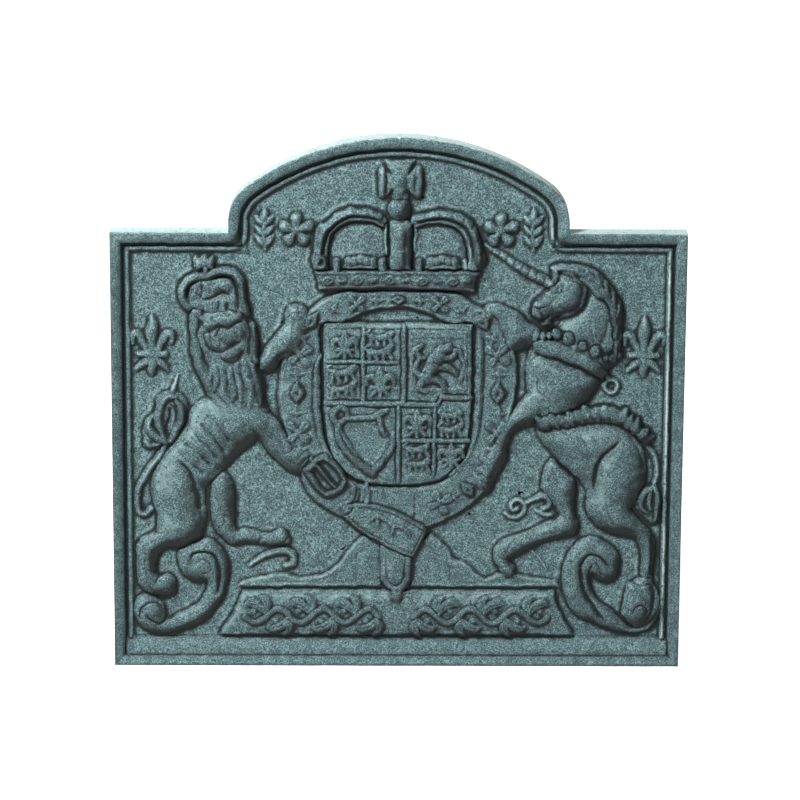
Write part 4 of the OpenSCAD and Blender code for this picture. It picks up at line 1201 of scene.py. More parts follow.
    def fringe(self) -> Relief:
        """The tufts of hair along its back.

        Returns:
            The carved piece.
        """
        outline = [
            (149, 276), (154, 280), (160, 283), (167, 279), (175, 281), (184, 285), (196, 288),
            (208, 291), (222, 292), (236, 289), (247, 283), (258, 274), (267, 265), (276, 258),
            (270, 251), (264, 247), (254, 258), (242, 267), (230, 271), (216, 273), (200, 272),
            (184, 269), (168, 267), (152, 267),
        ]
        low, top = self.body - 1.4, self.body + 0.4
        tufts: list[Mark] = []
        centre = smooth_path([(152, 272), (168, 273), (185, 276.6), (203, 280.6), (222, 281.6), (239, 278),
                              (253, 268), (268, 254)], steps=2)
        for k in range(len(centre) - 1):
            p, q = centre[k], centre[k + 1]
            d = (q - p) / max(float(np.hypot(*(q - p))), 1e-6)
            n = np.array([-d[1], d[0]])
            lean = (3.4, 1.2, 2.4)[k % 3]
            tall = (8.4, 6.4, 9.4, 7.2)[k % 4]
            tufts.append(Stroke([(*(p - n * 5 + d * lean), 2.4), (*(p - n * 1), 4), (*(p + n * 3), 4.6),
                                 (*(p + n * tall - d * lean), 3)], top, 0.3, seat=low))
        return Relief("unicorn_fringe", [
            Swell(outline, self.body - 1.6, 4),
            Soften(0.5),
            *tufts,
            Groove([(154, 269), (170, 270), (187, 273), (204, 276.6), (222, 277), (238, 273), (252, 263)],
                   1.4, 1.4),
            Soften(0.8),
        ])

    def tail(self) -> Relief:
        """The tail behind the haunch, with its tuft.

        Returns:
            The carved piece.
        """
        tuft = [(255, 186), (260, 196), (268, 203), (277, 201), (283, 192), (284.6, 178), (282.6, 166),
                (276, 159), (268, 164), (260, 171), (255, 178)]
        low, top = 1.6, self.hair - 0.2
        return Relief("unicorn_tail", [
            Stroke([(262, 250, 3.6), (271, 244, 3.6), (277, 232, 3.6), (278, 218, 3.4), (275, 205, 3.2)],
                   self.hair - 0.6, 0.4),
            Swell(tuft, self.hair - 3.0, 4),
            Soften(0.7),
            Stroke([(275, 202, 2.4), (266, 196, 3.4), (261, 187, 3.8), (263, 177, 3), (269, 173, 2)], top,
                   0.1, seat=low),
            Stroke([(276, 202, 2.4), (280, 191, 3.4), (279, 178, 3.4), (277, 166, 2.4)], top, 0.1, seat=low),
            Stroke([(272, 198, 2), (270, 188, 2.8), (272, 178, 2.6)], top, 0.1, seat=low),
            Soften(0.4),
        ])

    def chain(self) -> Relief:
        """The collar's ring and the chain's loose end beside the far leg.

        Returns:
            The carved piece.
        """
        ring = [(227 + 7.4 * math.cos(a), 314 + 7.4 * math.sin(a), 3.1)
                for a in np.linspace(0, 2 * math.pi, 11)]
        coil = [(127 + r * math.cos(a), 179 + r * math.sin(a), 2.9)
                for a, r in zip(np.linspace(-2.6, 5.4, 13), np.linspace(13.5, 2.5, 13))]
        return Relief("unicorn_chain", [
            Stroke([(221, 330, 3.6), (224, 324, 3.2), (227, 320, 2.6)], self.metal, 0.2),
            Stroke(ring, self.metal - 1.0, 0.2, steps=3),
            Stroke(coil, 5.0, 0.2, steps=3),
            Stroke([(139, 184, 3), (148, 188, 3.6), (157, 192, 4.2), (163, 187, 4), (163, 180, 3.6),
                    (156, 176, 3)], 5.0, 0.2),
            Stroke([(150, 174, 2.6), (158, 170, 3.2), (166, 170, 2.8)], 4.4, 0.2),
            Soften(0.5),
        ], pitch=0.75)


@dataclass
class BigCrown:
    """The arched crown over the garter, with its orb and cross."""

    metal: float = 6.2
    lining: float = 2.6

    def build(self) -> list[Relief]:
        """Returns the crown's carved pieces."""
        return [self.caps(), self.arches(), self.front_arch(), self.circlet(), self.fleurons(), self.orb(),
                self.cross()]

    def circlet(self) -> Relief:
        """The band round its foot, set with plain stones.

        Returns:
            The carved piece.
        """
        band = [(-88, 441), (-88, 436), (-86, 428), (-84, 418.6), (-60, 420), (0, 421), (50, 420),
                (80, 416.6), (82, 424), (84, 434), (86, 441)]
        low, top = self.metal - 1.6, self.metal + 1.2
        stones: list[Mark] = []
        for k, x in enumerate((-75, -60, -44, -27, -10, 8, 25, 42, 58, 73)):
            if k % 2:
                stones.append(Stroke([(x - 3, 430, 2.4), (x + 3, 430.4, 2.4)], top, 0.1, 1, seat=low))
            else:
                stones.append(Stroke([(x - 5, 430, 1.4), (x, 433.6, 1.6), (x + 5, 430, 1.4), (x, 426.4, 1.6),
                                      (x - 5, 430, 1.4)], top - 0.2, 0.1, 3, seat=low))
                stones.append(Stroke([(x - 0.5, 430, 1.6), (x + 0.5, 430, 1.6)], top, 0.1, 1, seat=low))
        return Relief("crown_circlet", [
            Swell(band, self.metal - 0.8, 2.6, smooth=False),
            Soften(0.4),
            Stroke([(-86, 438.6, 1.9), (0, 438.8, 1.9), (85, 438.6, 1.9)], top - 0.4, 0.1, 4, seat=low),
            Stroke([(-83, 421.6, 1.7), (0, 423.4, 1.7), (80, 419.6, 1.7)], top - 0.4, 0.1, 4, seat=low),
            *stones,
            Soften(0.4),
        ], pitch=0.8)

    def caps(self) -> Relief:
        """The cloth caps that fill the arches.

        Returns:
            The carved piece.
        """
        left = [(-76, 440), (-75, 455), (-74, 468), (-68, 481), (-60, 489), (-46, 494), (-30, 493),
                (-18, 489), (-13, 480), (-12, 440)]
        right = [(15, 440), (15, 480), (18, 488), (32, 492), (48, 492), (60, 486), (68, 477), (72, 465),
                 (73, 440)]
        return Relief("crown_caps", [
            Swell(left, self.lining, 7, smooth=False),
            Swell(right, self.lining, 7, smooth=False),
            Soften(0.8),
            Stroke([(-13.6, 490, 1.7), (-14, 474, 1.7), (-13.6, 458, 1.5)], 4.2, 0.1, seat=1.2),
            Stroke([(17.6, 488, 1.7), (17.6, 474, 1.7), (17.4, 462, 1.5)], 4.2, 0.1, seat=1.2),
            Groove([(-71, 446), (-71.5, 460), (-69, 472), (-62, 482), (-52, 488), (-38, 490), (-22, 486)],
                   0.9, 1.6),
            Groove([(24, 486), (38, 488.6), (50, 487), (60, 481), (66, 473), (69, 462), (69, 448)], 0.9, 1.6),
            Soften(0.5),
        ])

    def arches(self) -> Relief:
        """The two side arches, with their scalloped backs.

        Returns:
            The carved piece.
        """
        left = [(-88, 441), (-93, 450), (-90.6, 462), (-89, 474), (-87.6, 485), (-82.6, 492.6), (-77, 491),
                (-72, 498), (-66, 504), (-58, 505), (-50.5, 510.4), (-42, 507.5), (-31, 507.8),
                (-22, 503), (-13, 498), (-12, 492), (-18, 491), (-25, 494), (-40, 496.6), (-52, 495.6),
                (-62, 492), (-70, 485), (-75, 475), (-76, 464), (-76, 456), (-75, 441)]
        right = [(12, 491), (13, 500), (20, 502), (30, 503.8), (44, 507.4), (55, 503.5), (63, 505),
                 (70, 499.4), (78, 494.4), (85.4, 481), (90.4, 466), (94, 453), (91, 446), (86, 441),
                 (73, 441), (75, 450), (76, 462), (72, 476), (65, 485), (56, 491), (45, 494),
                 (30, 493.4), (19, 490)]
        left_bead = [(-75.4, 443, 2.2), (-76, 456, 2.3), (-75.4, 469, 2.3), (-72.5, 479, 2.3),
                     (-66, 488, 2.3), (-57, 494, 2.3), (-42, 496.4, 2.3), (-27, 494, 2.3),
                     (-17, 490, 2)]
        right_bead = [(17, 489, 2), (30, 492.6, 2.3), (45, 494, 2.3), (56, 491.4, 2.3),
                      (65, 485, 2.3), (71, 477, 2.3), (75, 465, 2.3), (75, 452, 2.3), (73.5, 443, 2.2)]
        top = self.metal + 1.8
        scallops = [[(-88, 456), (-84, 470)], [(-86, 476), (-82, 487)], [(-80, 489), (-73, 492)],
                    [(-71, 498), (-65, 499)], [(-59, 504), (-54, 501)], [(-46, 508), (-42, 502)],
                    [(-32, 507), (-30, 501)], [(28, 503), (30, 498)], [(42, 506), (44, 500)],
                    [(57, 503), (58, 497)], [(70, 499), (68, 493)], [(80, 492), (77, 486)],
                    [(87, 476), (82, 472)], [(90, 460), (84, 458)]]
        return Relief("crown_arches", [
            Swell(left, self.metal - 1.2, 4),
            Swell(right, self.metal - 1.2, 4),
            Soften(0.5),
            Stroke([(-85, 452, 4), (-83, 470, 4.2), (-80, 483, 4.4), (-71, 493, 4.6), (-60, 500, 4.6),
                    (-48, 503.4, 4.8), (-34, 503, 4.2), (-20, 498.6, 3.4)], top, 0.1, seat=3.0),
            Stroke([(20, 498, 3.2), (32, 500, 3.8), (46, 501.6, 4.6), (60, 498.6, 4.6), (72, 491.6, 4.8),
                    (80, 479, 4.8), (84, 464, 4.8), (85, 450, 4.4)], top, 0.1, seat=3.0),
            *[Groove(line, 1.3, 1.4) for line in scallops],
            Groove([(-78.6, 446), (-79, 460), (-78, 472), (-74, 482), (-67, 490.6), (-57, 497), (-42, 499.6),
                    (-24, 496.6)], 2.4, 1.1),
            Groove([(20, 493.8), (32, 496.4), (45, 497.4), (57, 494.8), (67, 488), (74, 479), (78, 466),
                    (78, 450)], 2.4, 1.1),
            Stroke(left_bead, 5.2, 0.1, 4, seat=1.6),
            Stroke(right_bead, 5.2, 0.1, 4, seat=1.6),
            Stroke([(-86.6, 445, 2.6), (-78.4, 445, 2.6), (-78.4, 454.6, 2.6), (-86.6, 454.6, 2.6),
                    (-86.6, 445, 2.6)], top + 0.4, 0.1, 3, seat=4),
            Soften(0.4),
        ], pitch=0.8)

    def front_arch(self) -> Relief:
        """The arch that is seen from the front, as an upright bar.

        Returns:
            The carved piece.
        """
        bar = [(-10.4, 440), (-10.4, 493), (-7, 496.4), (9, 496.4), (13.6, 493), (15, 487), (14.6, 440)]
        return Relief("crown_front_arch", [
            Swell(bar, self.metal, 5, smooth=False),
            Soften(0.6),
            Stroke([(2, 484, 7), (2.2, 470, 7)], self.metal + 2.2, 0.4, 2, seat=4.4),
            Stroke([(1.6, 459, 6.4), (2, 449, 6.6)], self.metal + 2.0, 0.4, 2, seat=4.4),
            Groove([(-8, 492), (2, 493.4), (12, 492)], 2.0, 1.3),
            Soften(0.5),
        ])

    def fleurons(self) -> Relief:
        """Leaves and pearls along the circlet.

        Returns:
            The carved piece.
        """
        marks: list[Mark] = []
        for x0, x1 in ((-58, -22), (29, 65)):
            mid = (x0 + x1) / 2
            marks.append(Swell([(x0 + 1, 442), (x0 - 0.6, 447), (x0, 453.6), (x0 + 5, 457), (x0 + 10, 456),
                                (mid - 3, 459), (mid + 3, 459), (x1 - 10, 456), (x1 - 5, 457),
                                (x1, 453.6), (x1 + 0.6, 447), (x1 - 1, 442)], 4.4, 3))
        marks.append(Soften(0.4))
        for x0, x1 in ((-58, -22), (29, 65)):
            mid = (x0 + x1) / 2
            for x, z, r in ((x0 + 5.6, 450.6, 4.8), (mid - 6.4, 451.6, 4.6), (mid, 453.4, 4.6),
                            (mid + 6.4, 451.6, 4.6), (x1 - 5.6, 450.6, 4.8)):
                marks.append(Stroke([(x, z - 1, r), (x, z + 0.4, r)], 6.8, 0.1, 1, seat=2.4))
            marks.append(Stroke([(x0 + 5, 444, 1.7), (mid, 445, 1.8), (x1 - 5, 444, 1.7)], 6.2, 0.1, seat=3))
        for x in (-65.5, -17, 22):
            marks.append(Stroke([(x, 442, 4.8), (x, 450.6, 4.6)], 6.8, 0.1, 2, seat=1.4))
        marks.append(Stroke([(70, 443, 3.6), (69.4, 451, 3.4)], 5.0, 0.1, 2, seat=1.0))
        return Relief("crown_fleurons", [*marks, Soften(0.4)], pitch=0.8)

    def orb(self) -> Relief:
        """The ball under the cross.

        Returns:
            The carved piece.
        """
        around = [(1 + 12.8 * math.cos(a), 507 + 12.8 * math.sin(a))
                  for a in np.linspace(0, 2 * math.pi, 16, endpoint=False)]
        return Relief("crown_orb", [Swell(around, self.metal + 2.4, 12), Soften(0.4)])

    def cross(self) -> Relief:
        """A cross with splayed limbs, whose top runs into the arch's bead.

        Returns:
            The carved piece.
        """
        outline = [(-17, 560.8), (-12.5, 553), (-8.5, 546), (-12.5, 549.4), (-15.6, 553.6), (-19.6, 553.8),
                   (-22, 549), (-22.6, 538), (-22.4, 528), (-21, 521.5), (-17, 518), (-12.4, 520.2),
                   (-7.5, 527.5), (-8.6, 522), (-7.6, 516.4), (10, 516.4), (10.6, 522), (9.4, 527.5),
                   (13.5, 522), (18.6, 517), (23.6, 520), (25.6, 528), (25.8, 538), (25.4, 547),
                   (24, 553.4), (19.6, 554.8), (14.4, 550.5), (9.6, 546), (13, 553), (18, 560.8)]
        return Relief("crown_cross", [
            Swell(outline, self.metal - 2.4, 3.6, smooth=False),
            Soften(0.6),
            Stroke([(-17.6, 547, 3.6), (-18, 537, 3.8), (-17.4, 525, 3.6)], self.metal - 1.0, 0.1, seat=2.6),
            Stroke([(20.8, 547, 3.6), (21.4, 537, 3.6), (20, 525, 3.4)], self.metal - 1.0, 0.1, seat=2.6),
            Stroke([(0, 544, 6.4), (1, 535, 7.4), (1, 526, 6)], self.metal - 0.4, 0.3, seat=2.6),
            Groove([(-13.4, 550), (-12.6, 538), (-13.4, 523)], 1.5, 1.3),
            Groove([(15.6, 549), (16, 538), (15, 524)], 1.1, 1.3),
            Soften(0.45),
        ])


SHIELD_OUTLINE = [
    (-79.5, 383.5), (79.5, 383.5), (79.8, 350), (79.5, 310), (78.5, 280), (76, 255), (70, 236),
    (61, 221), (48, 210), (30, 204.5), (10, 203), (-10, 203), (-28, 204.5), (-47, 210),
    (-60, 221), (-70, 236), (-76, 255), (-79, 280), (-79.8, 310), (-79.8, 350),
]


@dataclass
class Shield:
    """The quartered shield, whose charges are worn almost flat."""

    slab: float = 3.9
    line: float = 3.0
    charge: float = 3.7
    mid_z: float = 292.0

    def build(self) -> list[Relief]:
        """Returns the shield, its dividing lines and its four quarters' charges."""
        return [self.plate(), self.quartering(), self.quarter_1(), self.quarter_2(), self.quarter_3(),
                self.quarter_4()]

    def plate(self) -> Relief:
        """The shield itself, with a narrow border and a cut line down each side of every bar.

        Returns:
            The carved piece.
        """
        cuts: list[Mark] = []
        for a, b, r in self.bars():
            length = math.dist(a, b)
            nx, nz = -(b[1] - a[1]) / length * (r + 0.7), (b[0] - a[0]) / length * (r + 0.7)
            cuts += [Groove([(a[0] + k * nx, a[1] + k * nz), (b[0] + k * nx, b[1] + k * nz)], 1.1, 1.2)
                     for k in (-1, 1)]
        hollows = [Mound(x, z, 16, 17, -0.9) for x, z in ((-57, 360), (-18, 358), (-57, 319), (-18, 318),
                                                         (22, 271), (57, 271), (22, 234), (57, 236),
                                                         (26, 340), (54, 336), (-40, 262))]
        return Relief("shield", [
            Swell(SHIELD_OUTLINE, self.slab, 2.2, smooth=False, lip=0.5, lip_in=1.8),
            *hollows,
            Soften(0.6),
            *cuts,
            Groove([(-74, 376), (0, 376.4), (74, 375)], 0.9, 1.2),
        ], pitch=0.9, skin=1.0)

    def bars(self) -> list[tuple[Point, Point, float]]:
        """Sets out the bars between the quarters.

        Returns:
            Both ends and the half width of each.
        """
        z = self.mid_z
        return [((6.4, 380), (6.4, z + 3), 2.7), ((0.8, z - 2), (0.8, 207), 2.3),
                ((-77, z + 2.6), (41, z + 1.6), 2.6), ((42, z + 1.6), (46, z + 10), 2.0),
                ((46, z + 10), (77, z + 9), 2.6), ((-37, 377), (-37, z + 7), 2.2),
                ((-75, 341), (0, 340), 2.0), ((39, z - 3), (39, 215), 2.0), ((6, 253), (76, 253.5), 2.2)]

    def bar(self, a: Point, b: Point, r: float) -> Mark:
        """A raised line between two quarters."""
        return Stroke([(*a, r), (*b, r)], self.line, 0.1, 1)

    def quartering(self) -> Relief:
        """The middle bars, and the fainter ones that quarter the first and last quarters.

        Returns:
            The carved piece.
        """
        return Relief("shield_quartering", [
            *[self.bar(a, b, r) for a, b, r in self.bars()],
            Soften(0.4),
        ], base=3.5, pitch=0.8)

    def lily(self, x: float, z: float, s: float) -> list[Mark]:
        """A small lily of three leaves tied by a band.

        Args:
            x: Its middle, across the plate.
            z: Its middle, up the plate.
            s: Its size in mm.

        Returns:
            The marks that carve it.
        """
        h = self.charge
        return [
            Stroke([(x, z - 0.5 * s, 0.08 * s), (x, z, 0.12 * s), (x, z + 0.25 * s, 0.18 * s),
                    (x, z + 0.56 * s, 0.04 * s)], h, 0.1, 4),
            *[Stroke([(x + k * 0.08 * s, z - 0.08 * s, 0.09 * s), (x + k * 0.26 * s, z + 0.22 * s, 0.13 * s),
                      (x + k * 0.46 * s, z + 0.18 * s, 0.12 * s), (x + k * 0.48 * s, z - 0.06 * s, 0.07 * s)],
                     h, 0.1, 4) for k in (-1, 1)],
            *[Stroke([(x + k * 0.07 * s, z - 0.2 * s, 0.08 * s), (x + k * 0.3 * s, z - 0.44 * s, 0.08 * s)],
                     h, 0.1, 3) for k in (-1, 1)],
            Stroke([(x - 0.3 * s, z - 0.16 * s, 0.08 * s), (x + 0.3 * s, z - 0.16 * s, 0.08 * s)], h * 1.15,
                   0.1, 1),
            Groove([(x, z - 0.02 * s), (x, z + 0.2 * s), (x, z + 0.42 * s)], 1.2, 1.0),
        ]

    def beast(self, x: float, z: float, s: float) -> list[Mark]:
        """A small walking beast, its head turned out.

        Args:
            x: Its middle, across the plate.
            z: Its middle, up the plate.
            s: Its size in mm.

        Returns:
            The marks that carve it.
        """
        h = self.charge
        return [
            Stroke([(x - 0.36 * s, z + 0.03 * s, 0.11 * s), (x - 0.1 * s, z, 0.1 * s),
                    (x + 0.14 * s, z + 0.04 * s, 0.13 * s), (x + 0.32 * s, z + 0.17 * s, 0.13 * s)],
                   h, 0.1, 4),
            *[Stroke([(x + u * s, z - 0.03 * s, 0.08 * s), (x + (u + v) * s, z - 0.25 * s, 0.07 * s)],
                     h * 0.95, 0.1, 2) for u, v in ((-0.38, 0.0), (-0.22, 0.08), (0.1, -0.02), (0.26, 0.12))],
            Stroke([(x - 0.42 * s, z + 0.06 * s, 0.05 * s), (x - 0.55 * s, z + 0.14 * s, 0.05 * s),
                    (x - 0.42 * s, z + 0.26 * s, 0.06 * s)], h * 0.95, 0.1, 4),
            Groove([(x + 0.18 * s, z + 0.14 * s), (x + 0.24 * s, z + 0.02 * s)], 1.4, 1.0),
        ]

    def quarter_1(self) -> Relief:
        """Lilies and walking beasts, worn nearly away.

        Returns:
            The carved piece.
        """
        return Relief("charge_quarter_1", [
            *self.lily(-57, 358, 27), *self.beast(-17, 367, 31), *self.beast(-18, 351, 31),
            *self.beast(-58, 328, 33), *self.beast(-58, 310, 31), *self.lily(-19, 317, 31),
            Soften(0.5),
        ], base=3.2, pitch=0.7)

    def quarter_2(self) -> Relief:
        """A beast rearing up inside a plain border.

        Returns:
            The carved piece.
        """
        h = self.charge + 0.9
        return Relief("charge_quarter_2", [
            Swell([(12, 376), (74, 376), (74, 308), (12, 308)], 1.4, 1.2, smooth=False),
            Opening([(16, 367), (70, 367), (70, 312), (16, 312)], smooth=False),
            Stroke([(29, 322, 6.5), (35, 333, 8), (41, 345, 8.5), (47, 354, 6.5)], h, 0.1),
            Stroke([(47, 354, 5.6), (54, 357, 5)], h + 0.3, 0.1),
            Stroke([(46, 344, 3.8), (57, 346, 3.6), (61, 354, 3)], h - 0.2, 0.1),
            Stroke([(43, 336, 3.8), (55, 334, 3.6), (62, 328, 3)], h - 0.2, 0.1),
            Stroke([(33, 321, 5), (44, 320, 4.4), (50, 312, 3.6)], h - 0.1, 0.1),
            Stroke([(27, 320, 4.6), (22, 312, 3.8), (30, 308, 3)], h - 0.2, 0.1),
            Stroke([(24, 325, 3), (18, 333, 2.8), (23, 345, 2.8), (18, 353, 3.4), (26, 360, 2.8)],
                   h - 0.3, 0.1),
            Stroke([(20, 348, 2.4), (27, 345, 2.4)], h - 0.4, 0.1),
            Stroke([(65, 358, 2.4), (67, 346, 2.6), (70, 338, 2.4), (66, 318, 2.6)], h - 0.6, 0.1),
            Groove([(30, 333), (27, 325), (29, 317)], 1.6, 1.2),
            Groove([(37, 341), (44, 338), (50, 333)], 1.8, 1.2),
            Groove([(37, 357), (36, 348), (39, 341)], 1.8, 1.2),
            Groove([(46, 352), (51, 350), (56, 352)], 1.6, 1.1),
            Groove([(38, 329), (43, 326), (47, 320)], 1.6, 1.2),
            Soften(0.45),
        ], base=3.2, pitch=0.7)

    def quarter_3(self) -> Relief:
        """A harp, with a curled pillar.

        Returns:
            The carved piece.
        """
        h = self.charge + 0.7
        strings: list[Mark] = [
            Groove([(-43 + 7 * k, 273), (-43 + 7 * k, 246 - 6 * k)], -1.4, 1.0) for k in range(5)
        ]
        return Relief("charge_quarter_3", [
            Stroke([(-56, 277, 3.4), (-62, 273, 3.8), (-68, 277, 4.2), (-69, 285, 4.2), (-62, 290, 4),
                    (-55, 287, 3.4), (-53.6, 281.6, 2.8)], h, 0.1),
            Stroke([(-62, 273, 4.2), (-63, 262, 5.4), (-57, 249, 6), (-49, 237, 6), (-39, 226, 5.4),
                    (-26, 216, 4.6)], h, 0.1),
            Groove([(-62, 265), (-56, 251), (-47, 239), (-34, 227)], 2.2, 1.3),
            Stroke([(-51, 278, 3.2), (-40, 278, 3.4), (-28, 279, 3.4), (-20, 284, 3.8), (-12, 287, 3.4)], h,
                   0.1),
            Stroke([(-19, 277, 3.6), (-18, 268, 3.2), (-13, 261, 3.6)], h - 0.1, 0.1),
            Stroke([(-27, 219, 4), (-14, 232, 3.8), (-6, 248, 3.4), (-4.6, 262, 3)], h - 0.4, 0.1),
            Groove([(-52, 282.6), (-34, 282.6), (-24, 287)], 1.4, 1.1),
            Soften(0.5),
            *strings,
        ], base=3.2, pitch=0.7)

    def quarter_4(self) -> Relief:
        """Lilies and walking beasts again, smaller.

        Returns:
            The carved piece.
        """
        return Relief("charge_quarter_4", [
            *self.lily(21, 272, 29), *self.beast(58, 281, 28), *self.beast(58, 265, 28),
            *self.beast(22, 243, 30), *self.beast(24, 226, 28), *self.lily(57, 236, 27),
            Soften(0.5),
        ], base=3.2, pitch=0.7)


@dataclass
class Garter:
    """The buckled strap round the shield, with its loose end."""

    strap_rise: float = 3.5

    def build(self) -> list[Relief]:
        """Returns the garter's carved pieces."""
        return [self.strap(), self.buckle(), self.end(), self.pendant()]

    def outline(self) -> list[Point]:
        """The strap's outer edge.

        Returns:
            Its points.
        """
        right = [(0, 418.4), (40, 418.4), (62, 416.5), (74, 410), (84, 402), (97, 396), (110, 384),
                 (120, 368), (126, 346), (128, 326), (126, 300), (120, 276), (113, 250), (105, 220),
                 (98, 200), (90, 190), (78, 179), (60, 168), (47, 160), (33, 155), (14, 152)]
        left = [(-14, 152), (-34, 156), (-54, 164), (-70, 171), (-84, 181), (-97, 194), (-103, 212),
                (-109, 232), (-117, 252), (-124, 274), (-128, 297), (-127, 320), (-123, 344),
                (-115, 368), (-104, 386), (-94, 398), (-84, 406), (-72, 413), (-58, 418), (-40, 418.4)]
        return right + left

    def strap(self) -> Relief:
        """The strap, with a raised line along both edges.

        Returns:
            The carved piece.
        """
        inner = [(-81, 382), (-62, 383), (-50, 388), (-38, 393), (-22, 397.5), (0, 399.5), (20, 397),
                 (34, 392), (46, 386), (60, 383), (81, 382), (82, 350), (81.5, 310), (80.5, 280),
                 (78, 254), (72, 235), (63, 219.5), (50, 208.5), (31, 202.5), (10, 201), (-10, 201),
                 (-29, 202.5), (-49, 208.5), (-62, 219.5), (-72, 235), (-78, 254), (-81, 280), (-82, 310),
                 (-82, 350)]
        low, top = self.strap_rise - 0.6, self.strap_rise + 1.5
        return Relief("garter_strap", [
            Swell(self.outline(), self.strap_rise, 2.4, lip=0.9, lip_in=3.2),
            Opening(inner, 0.9, 3.0),
            Soften(0.6),
            Stroke([(86, 370, 1.8), (87, 345, 2), (87, 310, 2), (86, 280, 2), (83, 258, 2), (77, 240, 1.8),
                    (68, 226, 1.8), (56, 214, 1.8)], top, 0.1, seat=low),
            Stroke([(-82, 347, 1.8), (-86, 335, 2), (-87, 318, 2), (-87, 300, 2), (-86, 278, 2),
                    (-81, 258, 2), (-74, 241, 1.8), (-66, 228, 1.8)], top, 0.1, seat=low),
            Stroke([(-52, 389, 1.6), (-38, 396, 1.8), (-20, 401, 1.8), (0, 402.6, 1.8), (20, 400.4, 1.8),
                    (34, 395.6, 1.8), (48, 388.6, 1.6)], top, 0.1, seat=low),
            Groove([(90.6, 372), (91.6, 345), (91.6, 310), (90.4, 280), (87, 256)], 1.2, 1.2),
            Groove([(-84, 349), (-90, 330), (-91.6, 300), (-90, 274), (-85, 254), (-78, 240)], 1.2, 1.2),
            Groove([(19, 192), (19.5, 178), (18, 166)], 1.4, 1.3),
            Stroke([(-46, 204, 2.2), (-47, 193, 2.4), (-52, 185, 2.6), (-62, 180, 2.4)], top + 0.6, 0.1,
                   seat=low),
            Stroke([(-33, 206, 2.2), (-32, 192, 2.4), (-35, 180, 2.6), (-44, 170, 2.4), (-54, 165, 2)],
                   top + 0.6, 0.1, seat=low),
            Groove([(-40, 203), (-40, 190), (-45, 180), (-56, 173)], 1.6, 1.4),
            Stroke([(-17.6, 200, 2), (-17.4, 189, 1.8)], top, 0.1, seat=low),
            Soften(0.4),
        ], pitch=1.0)

    def buckle(self) -> Relief:
        """The buckle's frame, with its tongue.

        Returns:
            The carved piece.
        """
        middle = np.array([-77.0, 214.0])
        a = math.radians(-52)
        u, v = np.array([math.cos(a), math.sin(a)]), np.array([-math.sin(a), math.cos(a)])

        def at(p: float, q: float, r: float) -> Touch:
            """A touch at a place along the buckle's own sides."""
            x, z = middle + u * p + v * q
            return float(x), float(z), r

        corners = [(-17, -12.5), (17, -12.5), (17, 12.5), (-17, 12.5), (-17, -12.5)]
        return Relief("garter_buckle", [
            Stroke([at(p, q, 3.8) for p, q in corners], 4.6, 0.1, 3, seat=0.5),
            Stroke([at(-24, 0, 2.6), at(-4, 0, 3), at(15, 0, 2.2)], 5.2, 0.1, 3, seat=0.5),
            *[Groove([at(p, q, 0)[:2], at(p * 0.55, q * 0.55, 0)[:2]], 1.2, 1.1) for p, q in corners[:4]],
            Soften(0.4),
        ], base=2.6, pitch=0.8)

    def end(self) -> Relief:
        """The loose end, passed through the buckle.

        Returns:
            The carved piece.
        """
        outline = [(-57, 187), (-50, 182), (-40, 184), (-30, 184), (-18, 182.5), (0, 175), (18, 165),
                   (35, 155.5), (31, 148), (27, 140), (23, 130), (17, 120), (0, 127), (-18, 136),
                   (-37, 148), (-54, 163), (-60, 170), (-62, 179)]
        low, top = 4.4, 7.0
        return Relief("strap_end", [
            Swell(outline, 5.2, 2.4, smooth=False),
            Soften(0.5),
            Stroke([(-52, 180, 1.9), (-30, 180.6, 1.9), (-8, 175, 1.9), (14, 164, 1.9), (31, 155, 1.8)], top,
                   0.1, seat=low),
            Stroke([(-55, 168, 1.9), (-38, 153, 1.9), (-18, 140.6, 1.9), (0, 131.6, 1.9), (17, 124, 1.8)],
                   top, 0.1, seat=low),
            Stroke([(31, 153, 1.8), (26, 143, 1.8), (21, 132, 1.8), (17, 124, 1.8)], top, 0.1, seat=low),
            Stroke([(-30, 164, 2), (-22, 168.6, 2.4), (-13, 164.6, 2.2), (-4, 158.6, 2.4), (5, 157, 2.2),
                    (14, 149, 2)], top, 0.1, seat=low),
            Stroke([(-22, 168, 1.8), (-21, 158, 2.2)], top, 0.1, seat=low),
            Stroke([(-4, 158, 1.8), (-6, 148, 2.2)], top, 0.1, seat=low),
            Groove([(-46, 182), (-50, 174), (-58, 168)], 1.5, 1.3),
            Soften(0.4),
        ], pitch=0.9)

    def pendant(self) -> Relief:
        """The tail that hangs from the strap's end over the plinth.

        Returns:
            The carved piece.
        """
        outline = [(-18.5, 138), (-18.5, 96), (-13, 90), (-6.5, 83), (-8.5, 77), (-4, 71), (0, 67.5),
                   (4, 71), (7.5, 77), (6.5, 83), (13, 89), (17, 97), (17.4, 122)]
        u = [(-11.5, 132), (-11.5, 106), (-8, 96), (-2, 91), (4, 94), (8, 104), (8.5, 126)]
        return Relief("pendant", [
            Swell(outline, 5.8, 3.4, smooth=False),
            Soften(0.6),
            Groove(u, 1.7, 1.3),
            Groove([(-15, 134), (-15, 104)], 0.5, 0.9),
            Groove([(-6, 86), (0, 84.5), (6, 86)], 1.1, 1.2),
            Mound(0, 77, 4, 4, 0.8),
        ], pitch=0.8)


